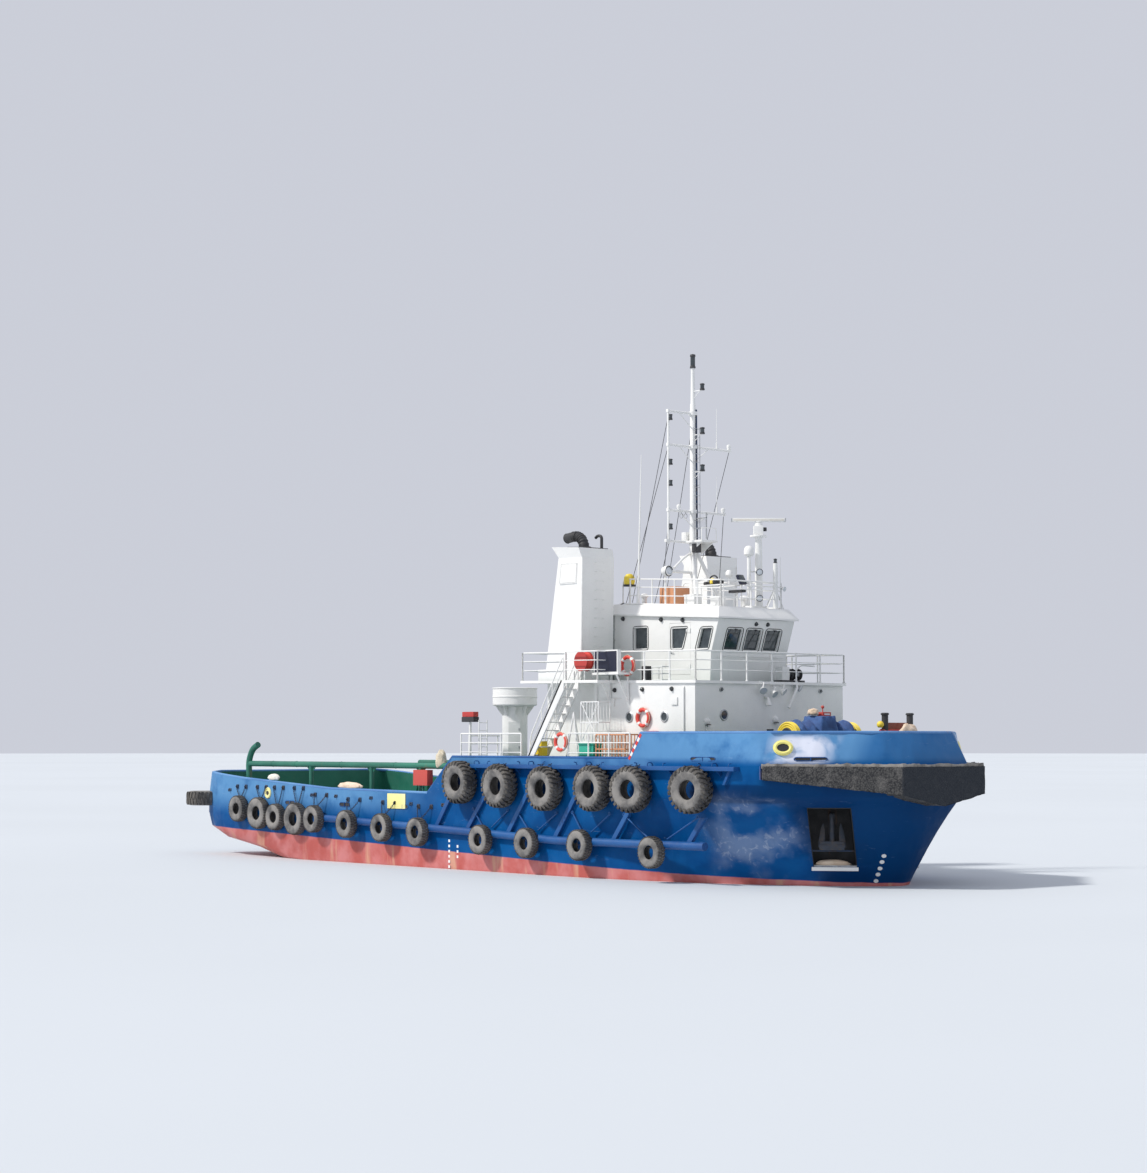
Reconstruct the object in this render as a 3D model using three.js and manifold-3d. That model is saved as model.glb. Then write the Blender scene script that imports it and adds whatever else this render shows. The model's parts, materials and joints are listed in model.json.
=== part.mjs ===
// An anchor-handling tugboat afloat. Millimetres: +X is the bow, +Y port, +Z up.
// The origin is on the centreline at the waterline.
import * as THREE from 'three';
import { mergeVertices } from 'three/addons/utils/BufferGeometryUtils.js';
import Module from 'manifold-3d';

const wasm = await Module();
wasm.setup();

// Driving dimensions of the hull.
const halfBeam = 5100;
const waterlineHalf = 5050;
const stemX = 17000;
const entranceX = 4000;
const deckShoulderX = 15100;
const deckFrontX = 18100;
const deckFrontHalf = 1950;
const cargoDeckZ = 1800;
const raisedDeckZ = 4150;
const foreBulwarkZ = 5280;
const aboveHullZ = 6200;
const bulwarkThick = 110;
const wellFrontX = -2600;
const touchGap = 0.3;
const runningGap = 8;

// Upper works.
const houseFrontX = 10450;
const houseHalf = 3820;
const boatDeckThick = 100;
const wheelhouseHalf = 1960;
const wallThick = 90;
const railThick = 46;

// Paint and rubber.
const paint = {
  blue: ['#1d4f96', 0.45],
  white: ['#e9e9e6', 0.5],
  green: ['#0d5f43', 0.5],
  red: ['#a02a26', 0.55],
  rubber: ['#3a3a3b', 0.92],
  black: ['#17181a', 0.7],
  bronze: ['#8f6a3a', 0.35],
  steel: ['#5c6064', 0.6],
  glass: ['#27323a', 0.08],
};

const group = new THREE.Group();

function addMesh(name, geometry, colour, parent = group) {
  const [color, roughness] = paint[colour];
  const metalness = colour === 'bronze' || colour === 'steel' ? 0.8 : 0.0;
  const mesh = new THREE.Mesh(geometry, new THREE.MeshStandardMaterial({ color, roughness, metalness }));
  mesh.name = name;
  parent.add(mesh);
  return mesh;
}

// A closed geometry as a solid that can be joined and cut, and back again.
function toSolid(geometry) {
  const bare = geometry.clone();
  bare.deleteAttribute('normal');
  bare.deleteAttribute('uv');
  const merged = mergeVertices(bare, 0.01);
  return new wasm.Manifold(new wasm.Mesh({
    numProp: 3,
    vertProperties: new Float32Array(merged.attributes.position.array),
    triVerts: new Uint32Array(merged.index.array),
  }));
}

function toGeometry(solid) {
  const mesh = solid.getMesh();
  const geometry = new THREE.BufferGeometry();
  geometry.setAttribute('position', new THREE.BufferAttribute(new Float32Array(mesh.vertProperties), 3));
  geometry.setIndex(new THREE.BufferAttribute(new Uint32Array(mesh.triVerts), 1));
  return geometry;
}

const join = (...solids) => solids.reduce((sum, next) => sum.add(next));
const cut = (solid, ...tools) => tools.reduce((left, tool) => left.subtract(tool), solid);
const mirrorY = (solid) => solid.mirror([0, 1, 0]);
const bothSides = [['stbd', (solid) => solid], ['port', mirrorY]];

// Box between two corners.
function box(x0, x1, y0, y1, z0, z1) {
  const geometry = new THREE.BoxGeometry(x1 - x0, y1 - y0, z1 - z0);
  geometry.translate((x0 + x1) / 2, (y0 + y1) / 2, (z0 + z1) / 2);
  return toSolid(geometry);
}

// Upright prism over a plan outline of [x, y] points.
function planPrism(points, z0, z1) {
  const shape = new THREE.Shape(points.map(([x, y]) => new THREE.Vector2(x, y)));
  const geometry = new THREE.ExtrudeGeometry(shape, { depth: z1 - z0, bevelEnabled: false });
  geometry.translate(0, 0, z0);
  return toSolid(geometry);
}

// Prism across the boat over a side profile of [x, z] points.
function sidePrism(points, y0, y1) {
  const shape = new THREE.Shape(points.map(([x, z]) => new THREE.Vector2(x, z)));
  const geometry = new THREE.ExtrudeGeometry(shape, { depth: y1 - y0, bevelEnabled: false });
  geometry.rotateX(Math.PI / 2);
  geometry.translate(0, y1, 0);
  return toSolid(geometry);
}

// Prism along the boat over a cross section of [y, z] points.
function frontPrism(points, x0, x1) {
  const shape = new THREE.Shape(points.map(([y, z]) => new THREE.Vector2(y, z)));
  const geometry = new THREE.ExtrudeGeometry(shape, { depth: x1 - x0, bevelEnabled: false });
  const along = new THREE.Vector3(1, 0, 0);
  const across = new THREE.Vector3(0, 1, 0);
  const up = new THREE.Vector3(0, 0, 1);
  geometry.applyMatrix4(new THREE.Matrix4().makeBasis(across, up, along));
  geometry.translate(x0, 0, 0);
  return toSolid(geometry);
}

// Round or many-sided bar between two points.
function bar(from, to, radius, sides = 6, endRadius = radius) {
  const start = new THREE.Vector3(...from);
  const end = new THREE.Vector3(...to);
  const span = end.clone().sub(start);
  const geometry = new THREE.CylinderGeometry(endRadius, radius, span.length(), sides);
  geometry.applyQuaternion(new THREE.Quaternion().setFromUnitVectors(
    new THREE.Vector3(0, 1, 0), span.clone().normalize()));
  geometry.translate(...start.add(end).multiplyScalar(0.5).toArray());
  return toSolid(geometry);
}

// Bars along a run of points, with a small knob on each inner corner.
function barRun(points, radius, sides = 4) {
  const bars = points.slice(1).map((point, i) => bar(points[i], point, radius, sides));
  const knobs = points.slice(1, -1).map((point) => knob(point, radius * 1.15));
  return join(...bars, ...knobs);
}

function knob(centre, radius, detail = 0) {
  const geometry = new THREE.IcosahedronGeometry(radius, detail);
  geometry.translate(...centre);
  return toSolid(geometry);
}

// Tyre lying with its axis along Z, with a full or a plain side wall.
function tyreShape(radius, width, steps, full = false) {
  const rim = radius * 0.42;
  const half = width / 2;
  const side = full ? [[radius * 0.62, 1], [radius * 0.93, 0.86]] : [[radius * 0.72, 1]];
  const rising = [[rim, 0.74], ...side, [radius, 0.55]];
  const lower = rising.map(([r, k]) => [r, -half * k]);
  const profile = [...lower, ...rising.map(([r, k]) => [r, half * k]).reverse(), lower[0]];
  const geometry = new THREE.LatheGeometry(profile.map(([r, z]) => new THREE.Vector2(r, z)), steps);
  geometry.rotateX(Math.PI / 2);
  return toSolid(geometry);
}

// Tyre hung on its side wall against the ship's side at (x, y, z), turned about Z.
function hungTyre(radius, width, steps, x, y, z, turn = 0, full = false) {
  return tyreShape(radius, width, steps, full)
    .rotate([90, 0, 0]).rotate([0, 0, turn]).translate([x, y, z]);
}

// Hull.
// Each level of the hull is a plan outline. flare runs from the waterline shape (0) to the
// deck shape (1), and stem is how far forward the outline reaches.
const hullLevels = [
  { z: -3400, stern: -8600, sternHalf: 300, quarter: -5200, half: 3000, stem: 15000, flare: 0 },
  { z: -2800, stern: -10600, sternHalf: 1500, quarter: -6800, half: 4300, stem: 15900, flare: 0 },
  { z: -1500, stern: -13000, sternHalf: 3300, quarter: -9200, half: 4900, stem: 16400, flare: 0 },
  { z: 0, stern: -15000, sternHalf: 4300, quarter: -12400, half: 5050, stem: 16750, flare: 0 },
  { z: 420, stern: -16500, sternHalf: 4500, quarter: -14600, half: 5100, stem: 16930, flare: 0.06 },
  { z: 760, stern: -18700, sternHalf: 4650, quarter: -16900, half: 5100, stem: 17090, flare: 0.12 },
  { z: 1250, stern: -19800, sternHalf: 4800, quarter: -18200, half: 5100, stem: 17300, flare: 0.22 },
  { z: 1850, stern: -20000, sternHalf: 4850, quarter: -18500, half: 5100, stem: 17560, flare: 0.36 },
  { z: 2450, stern: -20000, sternHalf: 4850, quarter: -18500, half: 5100, stem: 17800, flare: 0.55 },
  { z: 2950, stern: -20000, sternHalf: 4800, quarter: -18500, half: 5100, stem: 17950, flare: 0.78 },
  { z: 3120, stern: -20000, sternHalf: 4780, quarter: -18500, half: 5100, stem: 18100, flare: 1 },
  { z: 4150, stern: -19950, sternHalf: 4680, quarter: -18500, half: 5100, stem: 18100, flare: 1 },
];
// The fore bulwark leans inboard above the deck level, and runs on past its top edge.
const leanPerMetre = 440;
const leanFromX = 11000;
const sideLean = 0.6;
const bulwarkLevel = (z) => {
  const lean = leanPerMetre * (z - raisedDeckZ) / 1000;
  const outline = { stern: -19900, sternHalf: 4600, quarter: -18500, half: 5100, flare: 1 };
  return { ...outline, z, lean, stem: deckFrontX - lean };
};
hullLevels.push(bulwarkLevel(aboveHullZ));

const bowSteps = 9;

// Half outline of one level from the stern's centre to the stem, set in by the plate thickness.
function halfOutline(level, inset = 0) {
  const lean = level.lean ?? 0;
  const scaleX = (level.stem - entranceX) / ((level.flare > 0.99 ? deckFrontX : stemX) - entranceX);
  const points = [
    [level.stern + inset, 0],
    [level.stern + inset, level.sternHalf - inset],
    [level.stern + inset + (level.quarter - level.stern) * 0.35,
      level.half - inset * 1.1 - (level.half - level.sternHalf) * 0.4],
    [level.quarter + inset, level.half - inset],
    [level.quarter * 0.5 + entranceX * 0.5, level.half - inset],
  ];
  for (let i = 0; i <= bowSteps; i += 1) {
    const t = i / bowSteps;
    // Waterline shape: a full entrance on a superellipse.
    const reach = 1 - (1 - t) ** 1.6;
    const sharpX = entranceX + (stemX - entranceX) * reach;
    const sharpY = waterlineHalf * Math.max(0, 1 - reach ** 2.1) ** (1 / 1.5);
    // Deck shape: straight sides, a slanting shoulder and a flat front.
    const deckPath = [
      [entranceX, halfBeam], [deckShoulderX, halfBeam], [deckFrontX, deckFrontHalf], [deckFrontX, 0],
    ];
    const ends = [0, 4 / bowSteps, 8 / bowSteps, 1];
    const leg = t <= ends[1] ? 0 : t <= ends[2] ? 1 : 2;
    const along = (t - ends[leg]) / (ends[leg + 1] - ends[leg]);
    const deckX = deckPath[leg][0] + (deckPath[leg + 1][0] - deckPath[leg][0]) * along;
    const deckY = deckPath[leg][1] + (deckPath[leg + 1][1] - deckPath[leg][1]) * along;
    const leanStart = Math.max(0, Math.min(1, (deckX - leanFromX) / (deckShoulderX - leanFromX)));
    const frontLean = lean * Math.max(0, (deckX - deckShoulderX) / (deckFrontX - deckShoulderX));
    const mixedX = sharpX * (1 - level.flare) + deckX * level.flare;
    const x = level.flare > 0.99 ? mixedX - frontLean : blendReach(mixedX, level);
    const mixedY = sharpY * (level.half / waterlineHalf) * (1 - level.flare) + deckY * level.flare;
    const y = mixedY - lean * leanStart * sideLean;
    points.push([x - inset * Math.max(0, (t - 0.4) / 0.6), Math.max(0, t === 1 ? 0 : y - inset)]);
  }
  return points;
}

// Squeezes the part forward of the entrance so that the outline ends at the level's stem.
function blendReach(x, level) {
  const end = stemX * (1 - level.flare) + deckFrontX * level.flare;
  return entranceX + (x - entranceX) * (level.stem - entranceX) / (end - entranceX);
}

// Solid through the levels: a ring of points for each, walls between rings, and two caps.
function loftLevels(levels, inset = 0) {
  const rings = levels.map((level) => {
    const half = halfOutline(level, inset);
    const port = half.slice(1, -1).map(([x, y]) => [x, y, level.z]).reverse();
    return [...half.map(([x, y]) => [x, -y, level.z]), ...port];
  });
  const count = rings[0].length;
  const positions = rings.flat(2);
  const index = [];
  for (let r = 0; r + 1 < rings.length; r += 1) {
    for (let i = 0; i < count; i += 1) {
      const a = r * count + i;
      const b = r * count + (i + 1) % count;
      index.push(a, b, b + count, a, b + count, a + count);
    }
  }
  const top = (rings.length - 1) * count;
  const shapeOf = (ring) => THREE.ShapeUtils.triangulateShape(
    ring.map(([x, y]) => new THREE.Vector2(x, y)), []);
  shapeOf(rings[0]).forEach(([a, b, c]) => index.push(a, c, b));
  shapeOf(rings.at(-1)).forEach(([a, b, c]) => index.push(top + a, top + b, top + c));
  const geometry = new THREE.BufferGeometry();
  geometry.setAttribute('position', new THREE.BufferAttribute(new Float32Array(positions), 3));
  geometry.setIndex(index);
  return toSolid(geometry);
}

// Top edge of the bulwarks along the side, [x, z].
const sheerLine = [
  [-21000, 3690], [-20000, 3630], [-16900, 3380], [-10300, 3020], [-3600, 2950],
  [-2000, 4380], [8300, 4380], [8950, foreBulwarkZ], [19000, foreBulwarkZ],
];

function hullSolid() {
  const aboveSheer = sidePrism([...sheerLine, [19000, 7000], [-21000, 7000]], -6000, 6000);
  const upperLevels = hullLevels.filter((level) => level.z >= 1250);
  const insideFull = loftLevels(upperLevels, bulwarkThick);
  const aftWell = insideFull.intersect(box(-21000, wellFrontX, -6000, 6000, cargoDeckZ, 7000));
  const foreWell = insideFull.intersect(box(-2000, 19000, -6000, 6000, raisedDeckZ, 7000));
  const stepWell = insideFull.intersect(box(wellFrontX - 1, -1999, -6000, 6000, raisedDeckZ, 7000));
  return cut(loftLevels(hullLevels), aboveSheer, aftWell, foreWell, stepWell);
}

// Anchor pockets: a slanting recess let into each bow, square to the ship's side.
const pocket = {
  x: 15770, y: 2440, z: 1700, halfWidth: 750, halfHeight: 1025, slant: 110, out: 1500, in: 1250, turn: 44,
};

function pocketBox() {
  const { z, halfWidth, halfHeight, slant } = pocket;
  const corners = [[slant - halfWidth, z - halfHeight], [slant + halfWidth, z - halfHeight],
    [halfWidth - slant, z + halfHeight], [-halfWidth - slant, z + halfHeight]];
  return sidePrism(corners, -pocket.out, pocket.in)
    .rotate([0, 0, pocket.turn]).translate([pocket.x, -pocket.y, 0]);
}

// Wooden sheathing laid on the cargo deck, clear of the bulwarks and the winch.
const sheathing = { aftX: -15600, foreX: -6300, half: 3700, thick: 70 };
const sheathingSolid = box(sheathing.aftX, sheathing.foreX, -sheathing.half, sheathing.half,
  cargoDeckZ - 20, cargoDeckZ + sheathing.thick);
let hull = cut(hullSolid(), pocketBox(), mirrorY(pocketBox())).add(sheathingSolid);

// Skegs ahead of the two shafts, joined to the hull's underside.
const shaft = { y: 2350, z: -2050 };
const skegEndX = -13700;
const skegProfile = [[-6500, -3390], [skegEndX, -2350], [skegEndX, -1750], [-11000, -1200], [-6500, -1600]];
// Rudders hang from round trunks under the counter.
const rudder = { x: -16350, half: 70, foot: -3150, head: -650, trunkZ: -60, trunkRadius: 190 };
for (const side of [-1, 1]) {
  const y = side * shaft.y;
  hull = hull.add(sidePrism(skegProfile, y - 160, y + 160));
  hull = hull.add(bar([rudder.x, y, rudder.trunkZ], [rudder.x, y, 700], rudder.trunkRadius, 10));
}

// Bow fender: thick rubber round the fore end, deeper at the corners and deepest at the stem.
const fender = {
  aftX: 15150, cornerX: 18740, cornerHalf: 2100, top: 4130, aftTop: 4190,
  aftBottom: 3670, cornerBottom: 3150, stemBottom: 2750, sideHalf: 5230,
};

function fenderSolid() {
  const plan = [[fender.aftX - 60, -fender.sideHalf + 70], [fender.aftX + 60, -fender.sideHalf],
    [fender.cornerX, -fender.cornerHalf], [fender.cornerX, fender.cornerHalf],
    [fender.aftX + 60, fender.sideHalf], [fender.aftX - 60, fender.sideHalf - 70]];
  const profile = [[fender.aftX - 100, fender.aftBottom], [fender.cornerX - 20, fender.cornerBottom],
    [fender.cornerX + 60, fender.cornerBottom], [fender.cornerX + 60, fender.top],
    [fender.aftX - 100, fender.aftTop - 45]];
  const chin = frontPrism([[-fender.cornerHalf, fender.cornerBottom], [0, fender.stemBottom],
    [fender.cornerHalf, fender.cornerBottom], [fender.cornerHalf, fender.cornerBottom + 200],
    [-fender.cornerHalf, fender.cornerBottom + 200]], 17000, fender.cornerX);
  const hullForm = loftLevels(hullLevels.filter((level) => level.z >= 1850), -touchGap);
  const wall = planPrism(plan, 3000, 4300).intersect(sidePrism(profile, -6000, 6000));
  return cut(join(wall, chin), hullForm);
}

// Side fenders.
const upperRail = { z: 4030, height: 150, out: 5400, aftX: -500, foreX: 14000 };
const lowerPipe = { radius: 150, y: 5215, sides: 6 };
// Lower pipe's centre along the side, [x, z].
const pipeLine = [[-11100, 1800], [-5500, 1640], [1100, 1440], [4500, 1320], [12400, 1350]];
// Slanting rubbing bars down to the lower pipe: upper end and foot, [topX, topZ, footX].
const slantDepth = 120;
const slantBars = [
  [-1500, 3500, -2950], [480, 3270, -1000], [3400, 3900, 1500],
  [5640, 3150, 4250], [8430, 2480, 7500], [12270, 2330, 11450],
];
// Big lugged tyres on the upper rail: x, z of the centre and the turn towards the bow.
const bigTyres = [
  { x: -1020, z: 3400, turn: 0 }, { x: 1440, z: 3290, turn: 0 }, { x: 4100, z: 3230, turn: 0 },
  { x: 6800, z: 3270, turn: 0 }, { x: 8970, z: 3270, turn: 8 }, { x: 12070, z: 3300, turn: 10 },
];
const bigTyre = { radius: 830, width: 560 };
// Small tyres over the lower pipe, and the aft ones on the bare side: x, z and radius.
const pipeTyres = [
  { x: -10900, z: 1750 }, { x: -8530, z: 1600 }, { x: -6110, z: 1520 }, { x: -3710, z: 1410 },
  { x: 290, z: 1230 }, { x: 3040, z: 1190 }, { x: 6070, z: 1210 }, { x: 9950, z: 1080 },
];
const aftTyres = [
  { x: -16940, z: 2050, radius: 570 }, { x: -15360, z: 1890, radius: 680 },
  { x: -14040, z: 1750, radius: 570 }, { x: -12530, z: 1710, radius: 680 },
];
const smallTyre = { radius: 570, width: 370 };

// Height of the lower pipe at x.
function pipeZ(x) {
  const next = Math.max(1, pipeLine.findIndex(([px]) => px >= x));
  const [[x0, z0], [x1, z1]] = [pipeLine[next - 1], pipeLine[next]];
  return z0 + (z1 - z0) * (x - x0) / (x1 - x0);
}

function upperFender() {
  const rail = box(upperRail.aftX, upperRail.foreX, -upperRail.out, -halfBeam - touchGap,
    upperRail.z - upperRail.height / 2, upperRail.z + upperRail.height / 2);
  const bracket = sidePrism([[upperRail.foreX - 420, upperRail.z], [upperRail.foreX - 300, upperRail.z],
    [upperRail.foreX - 620, 3480], [upperRail.foreX - 740, 3480]], -halfBeam - 130, -halfBeam - touchGap);
  const tyreY = -(halfBeam + slantDepth + touchGap + bigTyre.width / 2);
  const tyres = bigTyres.map(({ x, z, turn }) => {
    const out = Math.sin(turn * Math.PI / 180) * bigTyre.radius * 0.7;
    return hungTyre(bigTyre.radius, bigTyre.width, 12, x, tyreY - out, z, turn, true);
  });
  return join(rail, bracket, ...tyres);
}

function lowerFender() {
  const line = pipeLine.map(([x, z]) => [x, -lowerPipe.y, z]);
  const pipe = line.slice(1).map((point, i) => bar(line[i], point, lowerPipe.radius, lowerPipe.sides));
  const bars = slantBars.map(([topX, topZ, footX]) => sidePrism(
    [[footX - 100, pipeZ(footX)], [footX + 140, pipeZ(footX)], [topX + 120, topZ], [topX - 120, topZ]],
    -halfBeam - slantDepth, -halfBeam + 40));
  const tyreY = -(lowerPipe.y + lowerPipe.radius - 60 + smallTyre.width / 2);
  const tyres = pipeTyres.map(({ x, z }) => hungTyre(smallTyre.radius, smallTyre.width, 10, x, tyreY, z));
  return join(...pipe, ...bars, ...tyres);
}

// Stern quarter tyres lie flat on a shelf at each corner of the stern.
const quarterTyre = { x: -20280, y: 4930, z: 2440, radius: 800, width: 640 };

function sternTyre() {
  return tyreShape(quarterTyre.radius, quarterTyre.width, 14, true)
    .translate([quarterTyre.x, -quarterTyre.y, quarterTyre.z]);
}

// Prism across the boat with one height at each end of a sloping top, [x0, x1, topAft, topFore].
function slopedBox(x0, x1, y0, y1, z0, topAft, topFore) {
  return sidePrism([[x0, z0], [x1, z0], [x1, topFore], [x0, topAft]], y0, y1);
}

// Deckhouse on the raised deck: wide fore part, narrower casing aft under the boat deck.
const house = { foreX0: 5000, aftX0: 1250, aftHalf: 2950 };
// The door is in the casing's aft end; it is given as on a side wall and turned there.
const houseDoor = { x0: -400, x1: 400, z0: 4450, z1: 6350 };

function deckhouseSolid() {
  const block = (x0, x1, half, inset) => slopedBox(x0 + inset, x1 - inset, -half + inset, half - inset,
    raisedDeckZ + touchGap + inset, boatDeckUnder(x0 + inset) - inset, boatDeckUnder(x1 - inset) - inset);
  const outer = join(block(house.foreX0, houseFrontX, houseHalf, 0),
    block(house.aftX0, house.foreX0 + 10, house.aftHalf, 0));
  const inner = join(block(house.foreX0, houseFrontX, houseHalf, wallThick),
    block(house.aftX0, house.foreX0 + 3 * wallThick, house.aftHalf, wallThick));
  const doorway = box(house.aftX0 - 100, house.aftX0 + wallThick + 100, houseDoor.x0 - runningGap,
    houseDoor.x1 + runningGap, houseDoor.z0 - runningGap, houseDoor.z1 + runningGap);
  return cut(outer, inner, doorway);
}

// Door leaf flush with a side wall, hinged at its forward edge on barrels outside the wall.
const barrel = { radius: 16, length: 160 };

function doorLeaf(door, wallHalf) {
  const leaf = box(door.x0, door.x1, -wallHalf, -wallHalf + 60, door.z0, door.z1);
  const axisX = door.x1 + runningGap + 4;
  const axisY = -(wallHalf + barrel.radius + touchGap);
  const barrels = [0.15, 0.85].flatMap((t) => {
    const z = door.z0 + (door.z1 - door.z0) * t;
    return [
      bar([axisX, axisY, z - barrel.length / 2], [axisX, axisY, z + barrel.length / 2], barrel.radius, 8),
      box(door.x1 - 130, door.x1 + 2, axisY - 4, -wallHalf + 2, z - barrel.length / 2, z + barrel.length / 2),
    ];
  });
  return join(leaf, ...barrels);
}

// Boat deck: the slab over the deckhouse, with a side wing at the head of each stair.
// It rises a little towards the stern.
const boatDeckTop = (x) => 7310 - 165 * x / 11000;
const boatDeckUnder = (x) => boatDeckTop(x) - boatDeckThick;
const boatDeck = {
  aftX: 1050, foreX: 10560, half: 4150, foreHalf: 3900, wingX0: 4560, wingX1: 6500, wingHalf: 4980,
};

function boatDeckSolid() {
  const plan = [
    [boatDeck.aftX, -boatDeck.half], [boatDeck.wingX0, -boatDeck.half],
    [boatDeck.wingX0, -boatDeck.wingHalf], [boatDeck.wingX1, -boatDeck.wingHalf],
    [boatDeck.wingX1, -boatDeck.foreHalf], [boatDeck.foreX, -boatDeck.foreHalf],
  ];
  const outline = [...plan, ...plan.map(([x, y]) => [x, -y]).reverse()];
  const slope = sidePrism([[0, boatDeckUnder(0) + touchGap], [11000, boatDeckUnder(11000) + touchGap],
    [11000, boatDeckTop(11000)], [0, boatDeckTop(0)]], -6000, 6000);
  return planPrism(outline, 6500, 7800).intersect(slope);
}

// Everything above a sloping deck, from its height at two x positions.
function above(heightAt, gap = touchGap) {
  const [low, high] = [heightAt(0) + gap, heightAt(11000) + gap];
  return sidePrism([[0, low], [11000, high], [11000, 26000], [0, 26000]], -6000, 6000);
}

// Rails: posts along a path with legs fore-and-aft or athwart, joined by a top rail and a mid rail.
// The feet are trimmed after.
function railing(path, height, postStep = 2400) {
  const parts = [];
  const straight = (from, to, up, half) => {
    const [[x0, y0, z0], [x1, y1, z1]] = from[0] < to[0] ? [from, to] : [to, from];
    return x0 === x1
      ? box(x0 - half, x0 + half, Math.min(y0, y1) - half, Math.max(y0, y1) + half,
        z0 + up - half, z0 + up + half)
      : slopedBar([x0, z0], [x1, z1], y0, up, half);
  };
  for (let i = 0; i + 1 < path.length; i += 1) {
    const [a, b] = [path[i], path[i + 1]];
    parts.push(straight(a, b, height, railThick * 0.5));
    parts.push(straight(a, b, height * 0.5, railThick * 0.36));
    const posts = Math.max(1, Math.round(Math.hypot(b[0] - a[0], b[1] - a[1]) / postStep));
    for (let p = i ? 1 : 0; p <= posts; p += 1) {
      const [x, y, z] = a.map((value, k) => value + (b[k] - value) * p / posts);
      const half = railThick * 0.43;
      parts.push(box(x - half, x + half, y - half, y + half, z - 20, z + height));
    }
  }
  return join(...parts);
}

// Square bar along X between two [x, z] points at one y.
function slopedBar([x0, z0], [x1, z1], y, up, half) {
  return sidePrism([[x0 - half, z0 + up - half], [x1 + half, z1 + up - half],
    [x1 + half, z1 + up + half], [x0 - half, z0 + up + half]], y - half, y + half);
}

const onBoatDeck = (x, y) => [x, y, boatDeckTop(x)];

const railInset = 60;
const boatRailHeight = 1060;

function aftRails() {
  const half = boatDeck.half - railInset;
  const aft = boatDeck.aftX + railInset;
  const openX = boatDeck.wingX0 - 900;
  const path = [[openX, -half], [aft, -half], [aft, half], [openX, half]];
  return railing(path.map(([x, y]) => onBoatDeck(x, y)), boatRailHeight);
}

function foreRails() {
  const fore = boatDeck.foreHalf - railInset;
  const wing = boatDeck.wingHalf - railInset;
  const wingX0 = boatDeck.wingX0 + railInset;
  const wingX1 = boatDeck.wingX1 - railInset;
  const front = boatDeck.foreX - railInset;
  const starboard = [[wingX0, -wing], [wingX1, -wing], [wingX1, -fore], [front, -fore]];
  const port = starboard.map(([x, y]) => [x, -y]).reverse();
  return railing([...starboard, ...port].map(([x, y]) => onBoatDeck(x, y)), boatRailHeight);
}

// Stairs from the raised deck to the boat deck, one each side.
const stair = { footX: 2350, headX: 4530, y0: 4170, y1: 4930, treads: 9, stringer: 50 };

function stairSolid() {
  const headZ = boatDeckTop(stair.headX) - 20;
  const line = [[stair.footX, raisedDeckZ + touchGap], [stair.footX + 260, raisedDeckZ + touchGap],
    [stair.headX, headZ - 350], [stair.headX, headZ], [stair.headX - 120, headZ]];
  const sides = [stair.y0, stair.y1 - stair.stringer].map((y) => sidePrism(line, -y - stair.stringer, -y));
  const treads = [];
  for (let i = 1; i <= stair.treads; i += 1) {
    const t = i / (stair.treads + 1);
    const x = stair.footX + 120 + (stair.headX - stair.footX - 120) * t;
    const z = raisedDeckZ + (headZ - raisedDeckZ) * t;
    treads.push(box(x - 110, x + 110, -stair.y1 + 10, -stair.y0 - 10, z - 20, z + 20));
  }
  const rise = headZ - raisedDeckZ;
  const rails = [stair.y0 + 25, stair.y1 - 25].flatMap((y) => {
    const low = [stair.footX + 250, -y, raisedDeckZ + 1050];
    const high = [stair.headX - 30, -y, raisedDeckZ + rise + 950];
    return [bar(low, high, 24, 4), bar([low[0], -y, raisedDeckZ + 200], low, 22, 4),
      bar([high[0], -y, headZ - 60], high, 22, 4)];
  });
  return join(...sides, ...treads, ...rails);
}

// Funnels: tapered side profile, with a lip that flares aft and outboard at the top.
const funnel = {
  inner: 2450, outer: 4060, lip: 120, kinkZ: 11880, lipX: 2950, topZ: 12330, topEndX: 4480, topEndZ: 12240,
};
const funnelProfile = [
  [2380, 7000], [4480, 7000], [4560, funnel.kinkZ], [funnel.topEndX, funnel.topEndZ],
  [funnel.lipX, funnel.topZ], [3220, 11920], [2600, 8440],
];

function funnelSolid() {
  const { inner, outer, lip, kinkZ, topZ } = funnel;
  const section = [[-inner, 7000], [-outer, 7000], [-outer, kinkZ], [-outer - lip, topZ], [-inner, topZ]];
  const body = sidePrism(funnelProfile, -outer - lip - 50, -inner + 50)
    .intersect(frontPrism(section, 1500, 5500));
  const plateCorners = [[3330, 10950], [4230, 10950], [4270, 11640], [3440, 11640]];
  const plate = sidePrism(plateCorners, -outer - 30, -outer + 40);
  const base = box(2000, 4440, -outer + 15, -inner - 15, 7000, 7700);
  return join(body, plate, base).intersect(above(boatDeckTop));
}

// Exhausts on a funnel's top plate: a fat pipe bent aft and a thin one with a hooked end.
const exhaust = { y: -3350, thinY: -2750 };

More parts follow.
